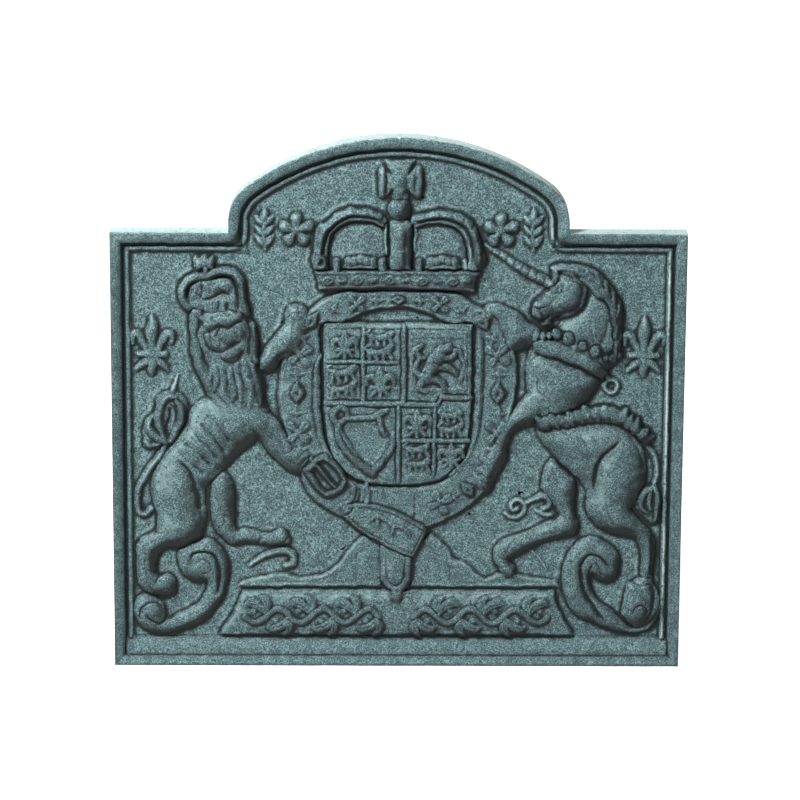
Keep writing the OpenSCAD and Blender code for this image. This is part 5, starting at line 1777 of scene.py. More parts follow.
@dataclass
class Foot:
    """The scrolls, the plinth and the ground that the figures stand on."""

    scroll: float = 6.4
    slab: float = 4.0
    soil: float = 2.3

    def build(self) -> list[Relief]:
        """Returns the foot's carved pieces."""
        return [self.scroll_left(), self.scroll_right(), self.plinth(), self.ground()]

    def scroll_left(self) -> Relief:
        """The scroll under the lion.

        Returns:
            The carved piece.
        """
        outline = [
            (-249, 60), (-246, 51), (-239, 56), (-230, 61), (-218, 67), (-211, 75), (-206, 86), (-206, 94),
            (-213, 91.5), (-221, 94), (-229, 100), (-234, 108), (-236.6, 118), (-235.6, 129), (-228, 134),
            (-216, 138.6), (-207, 144), (-198, 142), (-190, 135), (-184, 126), (-180, 113), (-181, 97),
            (-184, 82), (-190, 70), (-198, 58), (-208, 48), (-221, 41), (-235, 36), (-250, 33), (-266, 35),
            (-277, 42), (-284, 54), (-285, 66), (-280, 76), (-271, 81), (-261, 78), (-252, 70),
        ]
        low = self.scroll - 2.4
        return Relief("scroll_left", [
            Swell(outline, self.scroll, 10),
            Soften(0.8),
            Groove([(-223, 113), (-221.6, 123), (-213, 127.6), (-203, 126.6), (-196, 121), (-192, 111),
                    (-191, 99), (-192, 88), (-198, 76)], 3.4, 1.8),
            Groove([(-216, 116), (-210, 119), (-203, 116), (-201, 109), (-206, 104), (-212, 106)], 1.2, 1.2),
            Groove([(-236, 53), (-220, 60), (-207, 71), (-199, 84)], 0.7, 2.2),
            Groove([(-278, 50), (-276, 62), (-268, 69), (-260, 69.6), (-253, 64)], 2.6, 1.5),
            Groove([(-272, 57), (-265, 50), (-257, 45.6), (-250, 50), (-247, 58)], 2.6, 1.5),
            Stroke([(-262, 57.6, 5), (-260.6, 58, 5)], self.scroll + 0.8, 0.2, 1, seat=low),
            Soften(0.4),
        ])

    def scroll_right(self) -> Relief:
        """The scroll under the unicorn.

        Returns:
            The carved piece.
        """
        outline = [
            (250, 46), (240, 57), (232, 64), (224, 70), (216, 76), (212, 86), (209, 97), (211, 101),
            (218, 95), (228, 93), (236, 97), (240, 105), (241, 116), (239, 126), (234, 134), (226, 140),
            (217, 145), (208, 147), (198, 144), (190, 136), (182, 124), (178, 110), (177, 95), (179, 82),
            (183, 71), (189, 61), (197, 53), (209, 48), (224, 41), (238, 37), (250, 36), (262, 36),
            (274, 40), (282, 50), (286, 62), (285, 76), (281, 88), (277, 92), (276, 80), (277, 66),
            (272, 52), (262, 44),
        ]
        return Relief("scroll_right", [
            Swell(outline, self.scroll, 10),
            Soften(0.8),
            Groove([(197.6, 114), (201, 122), (207, 126), (214, 125.6), (222, 120), (227.6, 112)], 2.8, 1.7),
            Groove([(198, 120), (197.8, 106), (199, 95), (202, 84), (207, 76), (213, 67), (219, 57),
                    (226, 50)], 3.4, 2.0),
            Groove([(213, 118), (218, 110), (221, 103)], 1.4, 1.3),
            Groove([(210, 99), (208, 107), (210, 115)], 1.8, 1.3),
            Groove([(266, 40), (274, 48), (279, 60)], 1.2, 1.2),
            Soften(0.4),
        ])

    def plinth(self) -> Relief:
        """The plinth, whose ends flare out at the foot.

        Returns:
            The carved piece.
        """
        left = [(-166, 85), (-170, 76), (-174, 66), (-179, 56), (-185, 47), (-190, 40), (-192, 33)]
        right = [(192, 33), (190, 40), (185, 47), (180, 56), (175, 66), (172, 76), (170, 85)]
        return Relief("plinth", [
            Swell(left + right, self.slab, 3, smooth=False, lip=0.5, lip_in=2.2),
            Soften(0.7),
            Groove([(-164, 80), (0, 80.5), (168, 80)], 0.5, 1.2),
            Groove([(-186, 39), (0, 39), (186, 39)], 0.5, 1.2),
        ], pitch=1.1, skin=1.0)

    def ground(self) -> Relief:
        """Low ground from the strap's end out to the feet.

        Returns:
            The carved piece.
        """
        left = [(-16, 139), (-37, 148), (-45, 140), (-52, 132), (-58, 122), (-64, 114), (-72, 107),
                (-82, 102), (-95, 100), (-105, 99), (-118, 104), (-130, 104), (-150, 99), (-168, 95),
                (-172, 88), (-16, 88)]
        right = [(14, 130), (35, 149), (45, 143), (52, 136), (58, 128), (60, 121), (66, 118), (72, 117),
                 (78, 112), (86, 104), (95, 98), (107, 104), (120, 105), (146, 100), (172, 96),
                 (176, 88), (14, 88)]
        return Relief("ground", [
            Swell(left, self.soil, 2.2, smooth=False, lip=0.8, lip_in=2.2),
            Swell(right, self.soil, 2.2, smooth=False, lip=0.8, lip_in=2.2),
            Groove([(-28, 136), (-40, 128), (-52, 112), (-70, 100), (-90, 94)], 0.8, 1.4),
            Groove([(-150, 92), (-120, 94), (-92, 92), (-50, 93)], 0.6, 1.5),
            Groove([(30, 136), (42, 128), (52, 114), (70, 104), (88, 95)], 0.8, 1.4),
            Groove([(150, 92), (120, 95), (92, 92), (50, 93)], 0.6, 1.5),
            Stroke([(134, 133, 1.6), (146, 129, 1.8), (154, 120, 1.8), (161, 108, 1.6)], 2.6, 0.1, 4),
            Soften(0.5),
        ], pitch=1.0)


# ---- Ornaments that repeat ----------------------------------------------------------------


@dataclass(frozen=True)
class Motif:
    """A small ornament, carved round its own middle."""

    name: str
    marks: Sequence[Mark]
    pitch: float = 0.6

    def relief(self) -> Relief:
        """The motif as a carved piece."""
        return Relief(self.name, list(self.marks), 0.0, self.pitch)


@dataclass
class Ornaments:
    """Flowers, lozenges, leaves and lilies that are set out along the strap, plinth and field."""

    rise: float = 3.4
    sprig: float = 5.8
    strap_base: float = 3.2
    plinth_base: float = 3.7
    stem_base: float = 3.9
    stem_z: float = 55.5
    stem_wave: float = 8.0

    def flower(self) -> Motif:
        """Four round leaves about a boss.

        Returns:
            The motif.
        """
        petals: list[Mark] = []
        for a in range(45, 360, 90):
            c, s = math.cos(math.radians(a)), math.sin(math.radians(a))
            petals.append(Stroke([(3.6 * c, 3.6 * s, 2.4), (8.6 * c, 8.6 * s, 4.4)], self.rise, 0.1, 2))
            petals.append(Groove([(3.4 * c, 3.4 * s), (11 * c, 11 * s)], 1.2, 0.9))
        return Motif("flower", [*petals, Stroke([(0, 0, 3.4), (0.1, 0, 3.4)], self.rise + 0.9, 0.1, 1),
                                Soften(0.35)])

    def lozenge(self) -> Motif:
        """A lozenge with a sunk middle.

        Returns:
            The motif.
        """
        line = [(-7, 0), (0, -11.5), (7, 0), (0, 11.5)]
        return Motif("lozenge", [Swell(line, self.rise, 1.6, smooth=False), Mound(0, 0, 2.4, 4.2, -2.2),
                                 Soften(0.35)])

    def star(self) -> Motif:
        """A small star of four points.

        Returns:
            The motif.
        """
        return Motif("star", [Stroke([(-7.6, 0, 0.9), (0, 0, 2.8), (7.6, 0, 0.9)], self.rise, 0.1, 1),
                              Stroke([(0, -6.4, 0.9), (0, 0, 2.8), (0, 6.4, 0.9)], self.rise, 0.1, 1),
                              Soften(0.3)])

    def leaf(self, way: int) -> Motif:
        """A forked leaf and a berry that spring from the plinth's stem.

        Args:
            way: 1 for a leaf that springs upwards, -1 for one that springs downwards.

        Returns:
            The motif.
        """
        h = self.rise
        return Motif("leaf", [
            Stroke([(0, way * 1, 2.2), (3, way * 6, 3.4), (8, way * 11.6, 5), (14.6, way * 14.4, 4.8),
                    (20, way * 12, 2.4)], h, 0.1, 4),
            Stroke([(1, way * 4, 2.2), (-2.6, way * 10, 4.4), (-1.6, way * 16, 4.6), (3, way * 20.4, 2)],
                   h, 0.1, 4),
            Stroke([(12, way * 4.6, 3.3), (12.1, way * 4.6, 3.3)], h, 0.1, 1),
            Groove([(2.4, way * 4), (8, way * 11), (17, way * 13)], 1.3, 1.0),
            Groove([(-1.4, way * 8), (-0.8, way * 17)], 1.1, 0.9),
            Soften(0.35),
        ])

    def lily(self) -> Motif:
        """A tall lily of three leaves, tied by a band.

        Returns:
            The motif.
        """
        h = self.sprig
        return Motif("lily", [
            Stroke([(0, -33, 2.6), (0, -24, 5.4), (0, -13, 3.6)], h - 0.4, 0.3, 4),
            Stroke([(0, -6, 4.6), (0, 4, 5.4), (0, 16, 7.2), (0, 27, 4.6), (0, 34, 1.4)], h, 0.3, 5),
            *[Stroke([(k * 5, -8, 3.6), (k * 9.6, 2, 4.6), (k * 14.5, 11.5, 5), (k * 20.6, 10.5, 4.4),
                      (k * 20.6, 2.6, 3)], h, 0.3, 5) for k in (-1, 1)],
            *[Stroke([(k * 3, -15, 3.2), (k * 10, -20.6, 4.4), (k * 16.4, -27, 2.6)], h - 0.4, 0.3, 4)
              for k in (-1, 1)],
            Stroke([(-14, -10.5, 3.8), (14, -10.5, 3.8)], h + 0.9, 0.1, 1),
            Soften(0.6),
        ], 0.7)

    def rosette(self) -> Motif:
        """Five round petals about a boss.

        Returns:
            The motif.
        """
        marks: list[Mark] = []
        for k in range(5):
            a = math.radians(90 + 72 * k)
            c, s = math.cos(a), math.sin(a)
            marks.append(Stroke([(6 * c, 6 * s, 4.2), (13 * c, 13 * s, 6.8)], self.sprig, 0.1, 3))
        return Motif("rosette", [*marks, Stroke([(0, 0, 5.6), (0.1, 0, 5.6)], self.sprig + 1.6, 0.1, 1),
                                 Soften(0.6)], 0.7)

    def spray(self) -> Motif:
        """An upright stem with pairs of leaves.

        Returns:
            The motif.
        """
        h = self.sprig
        marks: list[Mark] = [
            Stroke([(0, -21.5, 2.4), (0, -8, 2.8), (0, 8, 2.8), (0, 14, 3)], h - 0.6, 0.1, 4),
            Stroke([(0, 10, 3), (0, 16, 4.8), (0, 24.6, 1.2)], h, 0.1, 4),
        ]
        for lift in (-15, -4, 7):
            for k in (-1, 1):
                marks.append(Stroke([(0, lift - 2, 2.2), (k * 4.6, lift + 3, 4), (k * 9, lift + 8.4, 1.8)],
                                    h, 0.1, 4))
        return Motif("spray", [*marks, Soften(0.4)], 0.7)

    def set_out(self) -> dict[str, tuple[float, list[tuple[Motif, list[tuple[float, ...]]]]]]:
        """Where each motif goes.

        Returns:
            For each CAD node its base height and, for each motif, its places as x, z, turn in
            degrees and size.
        """
        flowers = [(-104, 348, 10, 1.25), (-106, 262, 0, 1.25), (106, 348, -10, 1.25), (106, 262, 0, 1.25),
                   (-44, 404, 0, 0.95), (44, 404, 0, 0.95), (46, 184, 20, 1.15), (97, 226, 15, 1.15)]
        lozenges = [(-107, 306, 0, 1.2), (-92, 385, 35, 1.1), (107, 306, 0, 1.2), (90, 385, -35, 1.1),
                    (0, 409, 90, 0.75), (76, 199, -40, 1)]
        stars = [(k * x, z, k * turn, 1.2) for k in (-1, 1)
                 for x, z, turn in ((23, 408.6, 0), (68, 399, -30), (100.6, 367, -70), (108, 327, 0),
                                    (108.6, 284, 0), (103.6, 243, 15))]
        leaves_up: list[tuple[float, ...]] = []
        leaves_down: list[tuple[float, ...]] = []
        for side in (-1, 1):
            for k in range(6):
                up = -1 if k % 2 == 0 else 1
                spots = leaves_up if up * side > 0 else leaves_down
                spots.append((side * (21 + 24.3 * k), self.stem_z + up, 0 if side > 0 else 180, 1))
        return {
            "garter_ornament": (self.strap_base, [
                (self.flower(), flowers), (self.lozenge(), lozenges),
                (self.star(), [*stars, (88, 211, 35, 1), (62, 191, 60, 1)])]),
            "plinth_ornament": (self.plinth_base, [(self.leaf(1), leaves_up), (self.leaf(-1), leaves_down)]),
            "side_sprigs": (0.0, [(self.lily(), [(-261.5, 358, 0, 1), (261.5, 358, 0, 1)])]),
            "arch_sprigs": (0.0, [(self.rosette(), [(-108, 484, 0, 1), (108, 484, 0, 1)]),
                                  (self.spray(), [(-142, 484, 0, 1), (142, 484, 0, 1)])]),
        }

    def stem(self) -> Sheet:
        """The running stem that the plinth's leaves spring from.

        Returns:
            Its carving.
        """
        marks: list[Mark] = []
        for side in (-1, 1):
            touches = [(side * (19 + 2.1 * k), self.stem_z + self.stem_wave * math.sin(k * 0.2717), 3.4)
                       for k in range(70)]
            marks.append(Stroke(touches, 3.6, 0.1, 2))
        return Relief("plinth_ornament", [*marks, Soften(0.35)], self.plinth_base, 0.7).sheet()


# ---- The height map for painted shade and highlights, with soot and wear -------------------


@dataclass(frozen=True)
class PaintedLightAndWear:
    """How much painted shade (with the sooting of creases) each cause brings and each painted
    highlight (with the wear of edges) takes away, where 1 is all.

    The last two are the heights in mm above which the carving's full painted shading and the
    border's painted highlight along the top set in.
    """

    steep: float = 0.7
    occlusion_shade: float = 0.25
    flank: float = 0.45
    directional_shade_of_edges: float = 0.4
    directional_shade_of_forms: float = 0.9
    directional_shade_of_bodies: float = 1.5
    edge_highlight_and_wear: float = 0.45
    top_highlight: float = 0.2
    foot_band_top: float = 22.0
    top_highlight_from: float = 440.0


class HeightMap:
    """The whole front as one map of heights.

    From it the painted shade and painted highlights, with sooting and wear, are found.
    """

    PITCH = 0.9
    MARGIN = 8

    def __init__(self, half_w: float, top: float) -> None:
        """Lays out a bare map.

        Args:
            half_w: Half of the plate's width.
            top: Height of the arch.
        """
        across, up = math.ceil(half_w / self.PITCH), math.ceil(top / self.PITCH)
        self.xs = np.arange(-across - self.MARGIN, across + self.MARGIN + 1)
        self.zs = np.arange(-self.MARGIN, up + self.MARGIN + 1)
        self.h = np.zeros((len(self.zs), len(self.xs)))
        self.shading_and_grime = self.h
        self.shading_weights = PaintedLightAndWear()

    def places(self) -> tuple[np.ndarray, np.ndarray]:
        """The x and z of every cell."""
        return np.meshgrid(self.xs * self.PITCH, self.zs * self.PITCH)

    def sample(self, grid: np.ndarray, x: np.ndarray, z: np.ndarray) -> np.ndarray:
        """Reads one of the maps at places in millimetres."""
        return between(grid, x / self.PITCH - self.xs[0], z / self.PITCH - self.zs[0])

    def lay(self, sheet: Sheet, base: float) -> None:
        """Lays a carved sheet over the map.

        Args:
            sheet: The carving.
            base: Height of what it is seated on.
        """
        i0, i1 = np.searchsorted(self.xs * self.PITCH, [sheet.xs[0], sheet.xs[-1]])
        j0, j1 = np.searchsorted(self.zs * self.PITCH, [sheet.zs[0], sheet.zs[-1]])
        x, z = np.meshgrid(self.xs[i0:i1] * self.PITCH, self.zs[j0:j1] * self.PITCH)
        h = between(sheet.h, (x - sheet.xs[0]) / sheet.pitch, (z - sheet.zs[0]) / sheet.pitch)
        part = self.h[j0:j1, i0:i1]
        np.maximum(part, np.where(h > 0, h + base, 0), out=part)

    def splat(self, points: np.ndarray) -> None:
        """Raises the map to the points of a finished mesh.

        Args:
            points: The points in metres, one row each.
        """
        x, h, z = points[:, 0] / MM, -points[:, 1] / MM - FIELD_T, points[:, 2] / MM
        i = np.clip(np.rint(x / self.PITCH).astype(int) - self.xs[0], 0, len(self.xs) - 1)
        j = np.clip(np.rint(z / self.PITCH).astype(int) - self.zs[0], 0, len(self.zs) - 1)
        np.maximum.at(self.h, (j, i), h)

    def blur(self, grid: np.ndarray, size: float) -> np.ndarray:
        """Softens one of the maps by a reach in millimetres."""
        return blurred(grid, size / self.PITCH)

    def directional_shade(self, grid: np.ndarray, size: float, highlight_and_wear: float) -> np.ndarray:
        """Paints directional shade on the sides that face down and to the right, as if lit from the upper
        left.

        Args:
            grid: The heights.
            size: Size in millimetres of the forms to look at.
            highlight_and_wear: How far the opposite sides, painted paler as if lit, may go below 0.

        Returns:
            The share of painted shade at each cell, below 0 on the lit sides.
        """
        up, along = np.gradient(self.blur(grid, size), self.PITCH)
        return np.clip(0.8 * up - 0.6 * along, -highlight_and_wear, 1)

    def find_shading_and_grime(self) -> None:
        """Works out the painted shade (up to 1) or painted highlight (down to -1) at each place.

        Sooting of creases and wear of edges are counted in.
        """
        shading_weights = self.shading_weights
        soft = self.blur(self.h, 0.6)
        hollow = self.blur(soft, 2.6) - soft
        # Painted shade, with some soot: creases and narrow hollows are darkened as if shade fell into them
        crease = np.maximum(eased(hollow, 0.12, 0.75), eased(self.blur(soft, 1.0) - soft, 0.06, 0.28))
        # Painted highlight: a pale line beside each crease, strongest on the low side
        beside = np.clip(self.blur(crease, 2.4) - 0.8 * crease, 0, 1) * np.clip(1 - soft / 5.0, 0.35, 1)
        # Steep slopes get painted shade, as if they turned away from a light in front
        slope = np.hypot(*np.gradient(self.blur(soft, 1.6), self.PITCH))
        # The broad forms are read as if the border's face ran on past the plate's edge
        off = self.h < OUTSIDE / 2
        whole = np.where(off, FRONT, self.h)
        # Painted shade, as occlusion: places lower than their wider surroundings are darkened
        occlusion_shade = np.clip((self.blur(whole, 6.0) - self.blur(whole, 1.6)) / 2.2, -0.1, 1)
        # On broad bodies the flanks get painted shade that rounds them, and their convex edges less painted
        # highlight
        body = eased(self.blur(whole, 10.0), 1.5, 3)
        # Below the foot band's top there is no painted flank shade and less painted directional shade,
        # and the border's face there keeps its full painted shade
        high = eased(self.zs * self.PITCH, shading_weights.foot_band_top, 12)[:, None]
        carved = body * eased(soft, 2.5, 2) * high
        flank = eased(soft - self.blur(whole, 9.0), 0.2, 2.2) * carved
        # Painted highlight, with some polish wear: convex edges are paler
        edge = eased(-hollow, 0.2, 1.2) * (1 - 0.85 * body)
        # Painted directional shade: sides that face down and to the right are painted darker and the
        # opposite sides paler, as if lit from the upper left
        directional_shade = shading_weights.directional_shade_of_edges * self.directional_shade(whole, 1.8, 0.5)
        directional_shade += shading_weights.directional_shade_of_forms * self.directional_shade(whole, 5.0, 0.5)
        directional_shade += shading_weights.directional_shade_of_bodies * carved * self.directional_shade(whole, 7.0, 0.12)
        # The border's face and the top of its inner slope get less painted shade, and along the shoulders
        # and the arch a painted highlight
        face = eased(self.blur(off.astype(float), 6.0), 0.008, 0.03) * high
        top_highlight = face * eased(self.zs * self.PITCH, shading_weights.top_highlight_from, 24)[:, None]
        # Painted shade adds up here; the painted highlights, with some wear on edges, are taken off it
        dark = crease * (1 - 0.4 * face) + shading_weights.steep * eased(slope, 0.05, 0.7) * (1 - 0.5 * face)
        dark += shading_weights.occlusion_shade * occlusion_shade + shading_weights.flank * flank
        dark += (1 - 0.9 * face) * (0.45 + 0.55 * high) * directional_shade
        # Painted highlights beside the creases and along the top, and on convex edges with some polish wear
        worn = beside + shading_weights.edge_highlight_and_wear * edge + shading_weights.top_highlight * top_highlight
        self.shading_and_grime = np.clip(dark - worn, -1, 1)


# ---- Meshes --------------------------------------------------------------------------------


def filled(cells: np.ndarray) -> np.ndarray:
    """Fills cells so that no two kept ones touch by a corner alone.

    Args:
        cells: Which cells are kept. It is changed in place.

    Returns:
        The same cells.
    """
    while True:
        a = cells[:-1, :-1] & cells[1:, 1:] & ~cells[:-1, 1:] & ~cells[1:, :-1]
        b = cells[:-1, 1:] & cells[1:, :-1] & ~cells[:-1, :-1] & ~cells[1:, 1:]
        if not (a.any() or b.any()):
            return cells
        cells[:-1, 1:] |= a
        cells[:-1, :-1] |= b


def mesh_of(name: str, points: np.ndarray, faces: Sequence[np.ndarray]) -> bpy.types.Mesh:
    """Makes a mesh.

    Args:
        name: Its name.
        points: Its points in millimetres, one row each.
        faces: Arrays of faces, each of faces with the same number of corners.

    Returns:
        The mesh, in metres.
    """
    mesh = bpy.data.meshes.new(name)
    mesh.vertices.add(len(points))
    mesh.vertices.foreach_set("co", np.ascontiguousarray(points * MM, dtype=np.float32).ravel())
    loops = np.concatenate([f.ravel() for f in faces])
    sizes = np.concatenate([np.full(len(f), f.shape[1]) for f in faces])
    mesh.loops.add(len(loops))
    mesh.loops.foreach_set("vertex_index", loops.astype(np.int32))
    mesh.polygons.add(len(sizes))
    mesh.polygons.foreach_set("loop_start", (np.cumsum(sizes) - sizes).astype(np.int32))
    mesh.polygons.foreach_set("use_smooth", np.ones(len(sizes), bool))
    mesh.update(calc_edges=True)
    mesh.validate()
    return mesh


def walls_of(cells: np.ndarray, quads: np.ndarray, count: int) -> list[np.ndarray]:
    """Stands a wall on every free edge of a sheet's cells.

    Args:
        cells: Which cells are kept.
        quads: Their faces on the front, in the order of np.nonzero.
        count: How far a front point's number lies from the back point's behind it.

    Returns:
        The walls' faces, for each of the four sides that a cell can be free on.
    """
    j, i = np.nonzero(cells)
    padded = np.pad(cells, 1)
    walls = []
    for edge, dj, di in (((0, 1), -1, 0), ((1, 2), 0, 1), ((2, 3), 1, 0), ((3, 0), 0, -1)):
        free = ~padded[j + 1 + dj, i + 1 + di]
        p, q = quads[free, edge[0]], quads[free, edge[1]]
        walls.append(np.column_stack([q, p, p + count, q + count]))
    return walls


def single_back(points: np.ndarray, faces: list[np.ndarray], count: int) -> tuple:
    """Closes a shell's back with one face, for a sheet without openings.

    Args:
        points: The front's points, then as many of the back.
        faces: The front's faces, then the walls.
        count: The number of points on each side.

    Returns:
        The points and the faces, without the back's inner points.
    """
    follow = {int(w[1]): int(w[0]) for w in np.vstack(faces[1:])}
    ring = [next(iter(follow))]
    while follow[ring[-1]] != ring[0]:
        ring.append(follow[ring[-1]])
    back = np.array([ring[::-1]]) + count
    keep = np.arange(len(points)) < count
    keep[back] = True
    renumber = np.cumsum(keep) - 1
    return points[keep], [renumber[f] for f in (*faces, back)]


def shell(name: str, sheet: Sheet, base: float, skin: Callable[[np.ndarray, np.ndarray], np.ndarray],
          one_back: bool = False) -> bpy.types.Mesh:
    """Meshes a carved sheet as a closed shell.

    Args:
        name: Name of the mesh.
        sheet: The carving.
        base: Height of what it is seated on, above the field.
        skin: Gives the unevenness to add at each place.
        one_back: Whether the back is a single face, for a sheet without openings.

    Returns:
        The mesh.
    """
    h = sheet.h
    cells = filled(np.maximum.reduce([h[:-1, :-1], h[1:, :-1], h[:-1, 1:], h[1:, 1:]]) > 0)
    used = np.zeros(h.shape, bool)
    for dj in (0, 1):
        for di in (0, 1):
            used[dj : dj + cells.shape[0], di : di + cells.shape[1]] |= cells
    number = np.cumsum(used).reshape(h.shape) - 1
    x, z = (places[used] for places in np.meshgrid(sheet.xs, sheet.zs))
    top = np.minimum(h[used] + np.where(h[used] > 0, skin(x, z), 0), FRONT - base)
    front = np.column_stack([x, -(FIELD_T + base + top), z])
    back = np.column_stack([x, np.full(len(x), -(FIELD_T + base + BACKED)), z])
    points = np.vstack([front, back])
    j, i = np.nonzero(cells)
    quads = np.column_stack([number[j, i], number[j, i + 1], number[j + 1, i + 1], number[j + 1, i]])
    faces = [quads, *walls_of(cells, quads, len(x))]
    if one_back:
        points, faces = single_back(points, faces, len(x))
    else:
        faces.append(quads[:, ::-1] + len(x))
    return mesh_of(name, points, faces)


def one_mesh(name: str, parts: Sequence[bpy.types.Mesh]) -> bpy.types.Mesh:
    """Joins meshes into one.

    Args:
        name: Name of the new mesh.
        parts: The meshes, which stay as they are.

    Returns:
        The new mesh, smooth all over.
    """
    work = bmesh.new()
    for part in parts:
        work.from_mesh(part)
    mesh = bpy.data.meshes.new(name)
    work.to_mesh(mesh)
    work.free()
    mesh.polygons.foreach_set("use_smooth", np.ones(len(mesh.polygons), bool))
    return mesh


def as_object(name: str, data: bpy.types.ID) -> bpy.types.Object:
    """Puts something in the scene.

    Args:
        name: Name of its object.
        data: The mesh, curve, lamp or camera.

    Returns:
        Its object.
    """
    obj = bpy.data.objects.new(name, data)
    bpy.context.scene.collection.objects.link(obj)
    return obj


def points_of(mesh: bpy.types.Mesh) -> np.ndarray:
    """Reads the places of a mesh's vertices.

    Args:
        mesh: The mesh.

    Returns:
        The places in metres, one row each.
    """
    co = np.empty(len(mesh.vertices) * 3, np.float32)
    mesh.vertices.foreach_get("co", co)
    return co.reshape(-1, 3).astype(float)


# ---- Node trees ----------------------------------------------------------------------------


def add(tree: bpy.types.NodeTree, kind: str, settings: dict | None = None,
        **inputs: object) -> bpy.types.Node:
    """Adds a node to a tree.

    Args:
        tree: The node tree.
        kind: The node's type.
        settings: Its own settings, by name.
        **inputs: For each input, a socket to link or a plain value. An input goes by its name with
            _ for spaces, or by i and its number.

    Returns:
        The node.
    """
    node = tree.nodes.new(kind)
    for key, value in (settings or {}).items():
        setattr(node, key, value)
    for key, value in inputs.items():
        by_number = key[0] == "i" and key[1:].isdigit()
        socket = node.inputs[int(key[1:]) if by_number else key.replace("_", " ")]
        if isinstance(value, bpy.types.NodeSocket):
            tree.links.new(value, socket)
        else:
            socket.default_value = value
    return node


def geometry_tree(name: str, inputs: Sequence[tuple[str, str]]) -> tuple:
    """Starts a Geometry Nodes tree.

    Args:
        name: The tree's name.
        inputs: Name and socket type of each of its inputs.

    Returns:
        The tree and its input node.
    """
    tree = bpy.data.node_groups.new(name, "GeometryNodeTree")
    tree.interface.new_socket("Geometry", in_out="OUTPUT", socket_type="NodeSocketGeometry")
    for label, kind in inputs:
        tree.interface.new_socket(label, in_out="INPUT", socket_type=kind)
    return tree, tree.nodes.new("NodeGroupInput")


def finish_tree(tree: bpy.types.NodeTree, given: bpy.types.Node, made: bpy.types.NodeSocket) -> None:
    """Ends a Geometry Nodes tree with real geometry in its own material.

    Args:
        tree: The tree.
        given: Its input node, which has a Material.
        made: The geometry that it has made.
    """
    real = add(tree, "GeometryNodeRealizeInstances", Geometry=made)
    done = add(tree, "GeometryNodeSetMaterial", Geometry=real.outputs["Geometry"],
               Material=given.outputs["Material"])
    add(tree, "NodeGroupOutput", Geometry=done.outputs["Geometry"])


def sweep_tree() -> bpy.types.NodeTree:
    """A moulding: a profile that follows a path, facing out into the room.

    Returns:
        The tree.
    """
    tree, given = geometry_tree("moulding", [("Path", "NodeSocketObject"), ("Profile", "NodeSocketObject"),
                                             ("Material", "NodeSocketMaterial")])
    path = add(tree, "GeometryNodeObjectInfo", Object=given.outputs["Path"])
    profile = add(tree, "GeometryNodeObjectInfo", Object=given.outputs["Profile"])
    facing = add(tree, "GeometryNodeSetCurveNormal", {"mode": "FREE"}, Curve=path.outputs["Geometry"],
                 Normal=(0, -1, 0))
    swept = add(tree, "GeometryNodeCurveToMesh", Curve=facing.outputs["Curve"],
                Profile_Curve=profile.outputs["Geometry"], Fill_Caps=True)
    finish_tree(tree, given, swept.outputs["Mesh"])
    return tree


def scatter_tree() -> bpy.types.NodeTree:
    """Copies of a motif on points, each turned and sized by the point's own attributes.

    Returns:
        The tree.
    """
    tree, given = geometry_tree("set out", [("Places", "NodeSocketObject"), ("Motif", "NodeSocketObject"),
                                            ("Size", "NodeSocketFloat"), ("Material", "NodeSocketMaterial")])
    places = add(tree, "GeometryNodeObjectInfo", Object=given.outputs["Places"])
    motif = add(tree, "GeometryNodeObjectInfo", Object=given.outputs["Motif"])
    turn = add(tree, "GeometryNodeInputNamedAttribute", {"data_type": "FLOAT"}, Name="turn")
    spin = add(tree, "ShaderNodeCombineXYZ", Y=turn.outputs["Attribute"])
    each = add(tree, "GeometryNodeInputNamedAttribute", {"data_type": "FLOAT"}, Name="size")
    size = add(tree, "ShaderNodeMath", {"operation": "MULTIPLY"}, i0=each.outputs["Attribute"],
               i1=given.outputs["Size"])
    wide = add(tree, "ShaderNodeCombineXYZ", X=size.outputs[0], Y=1.0, Z=size.outputs[0])
    set_out = add(tree, "GeometryNodeInstanceOnPoints", Points=places.outputs["Geometry"],
                  Instance=motif.outputs["Geometry"], Rotation=spin.outputs[0], Scale=wide.outputs[0])
    finish_tree(tree, given, set_out.outputs["Instances"])
    return tree


def grown(name: str, tree: bpy.types.NodeTree, values: dict[str, object]) -> bpy.types.Mesh:
    """Runs a Geometry Nodes tree on an empty mesh and keeps what it makes.

    Args:
        name: Name of the mesh.
        tree: The tree.
        values: Its inputs, by name.

    Returns:
        The mesh.
    """
    host = as_object(name + "_host", bpy.data.meshes.new(name + "_host"))
    mod = host.modifiers.new("grow", "NODES")
    mod.node_group = tree
    for item in tree.interface.items_tree:
        if item.item_type == "SOCKET" and item.in_out == "INPUT" and item.name in values:
            mod[item.identifier] = values[item.name]
    graph = bpy.context.evaluated_depsgraph_get()
    graph.update()
    mesh = bpy.data.meshes.new_from_object(host.evaluated_get(graph))
    mesh.name = name
    host.modifiers.clear()
    bpy.data.objects.remove(host)
    return mesh


def curve_object(name: str, points: Sequence[Sequence[float]], closed: bool) -> bpy.types.Object:
    """Draws a line of straight pieces.

    Args:
        name: Its name.
        points: Its points in metres.
        closed: Whether it comes back to its first point.

    Returns:
        The curve's object.
    """
    data = bpy.data.curves.new(name, "CURVE")
    data.dimensions = "3D"
    spline = data.splines.new("POLY")
    spline.points.add(len(points) - 1)
    for k, p in enumerate(points):
        spline.points[k].co = (*p, 1.0)
    spline.use_cyclic_u = closed
    return as_object(name, data)


# ---- Plate and border ----------------------------------------------------------------------


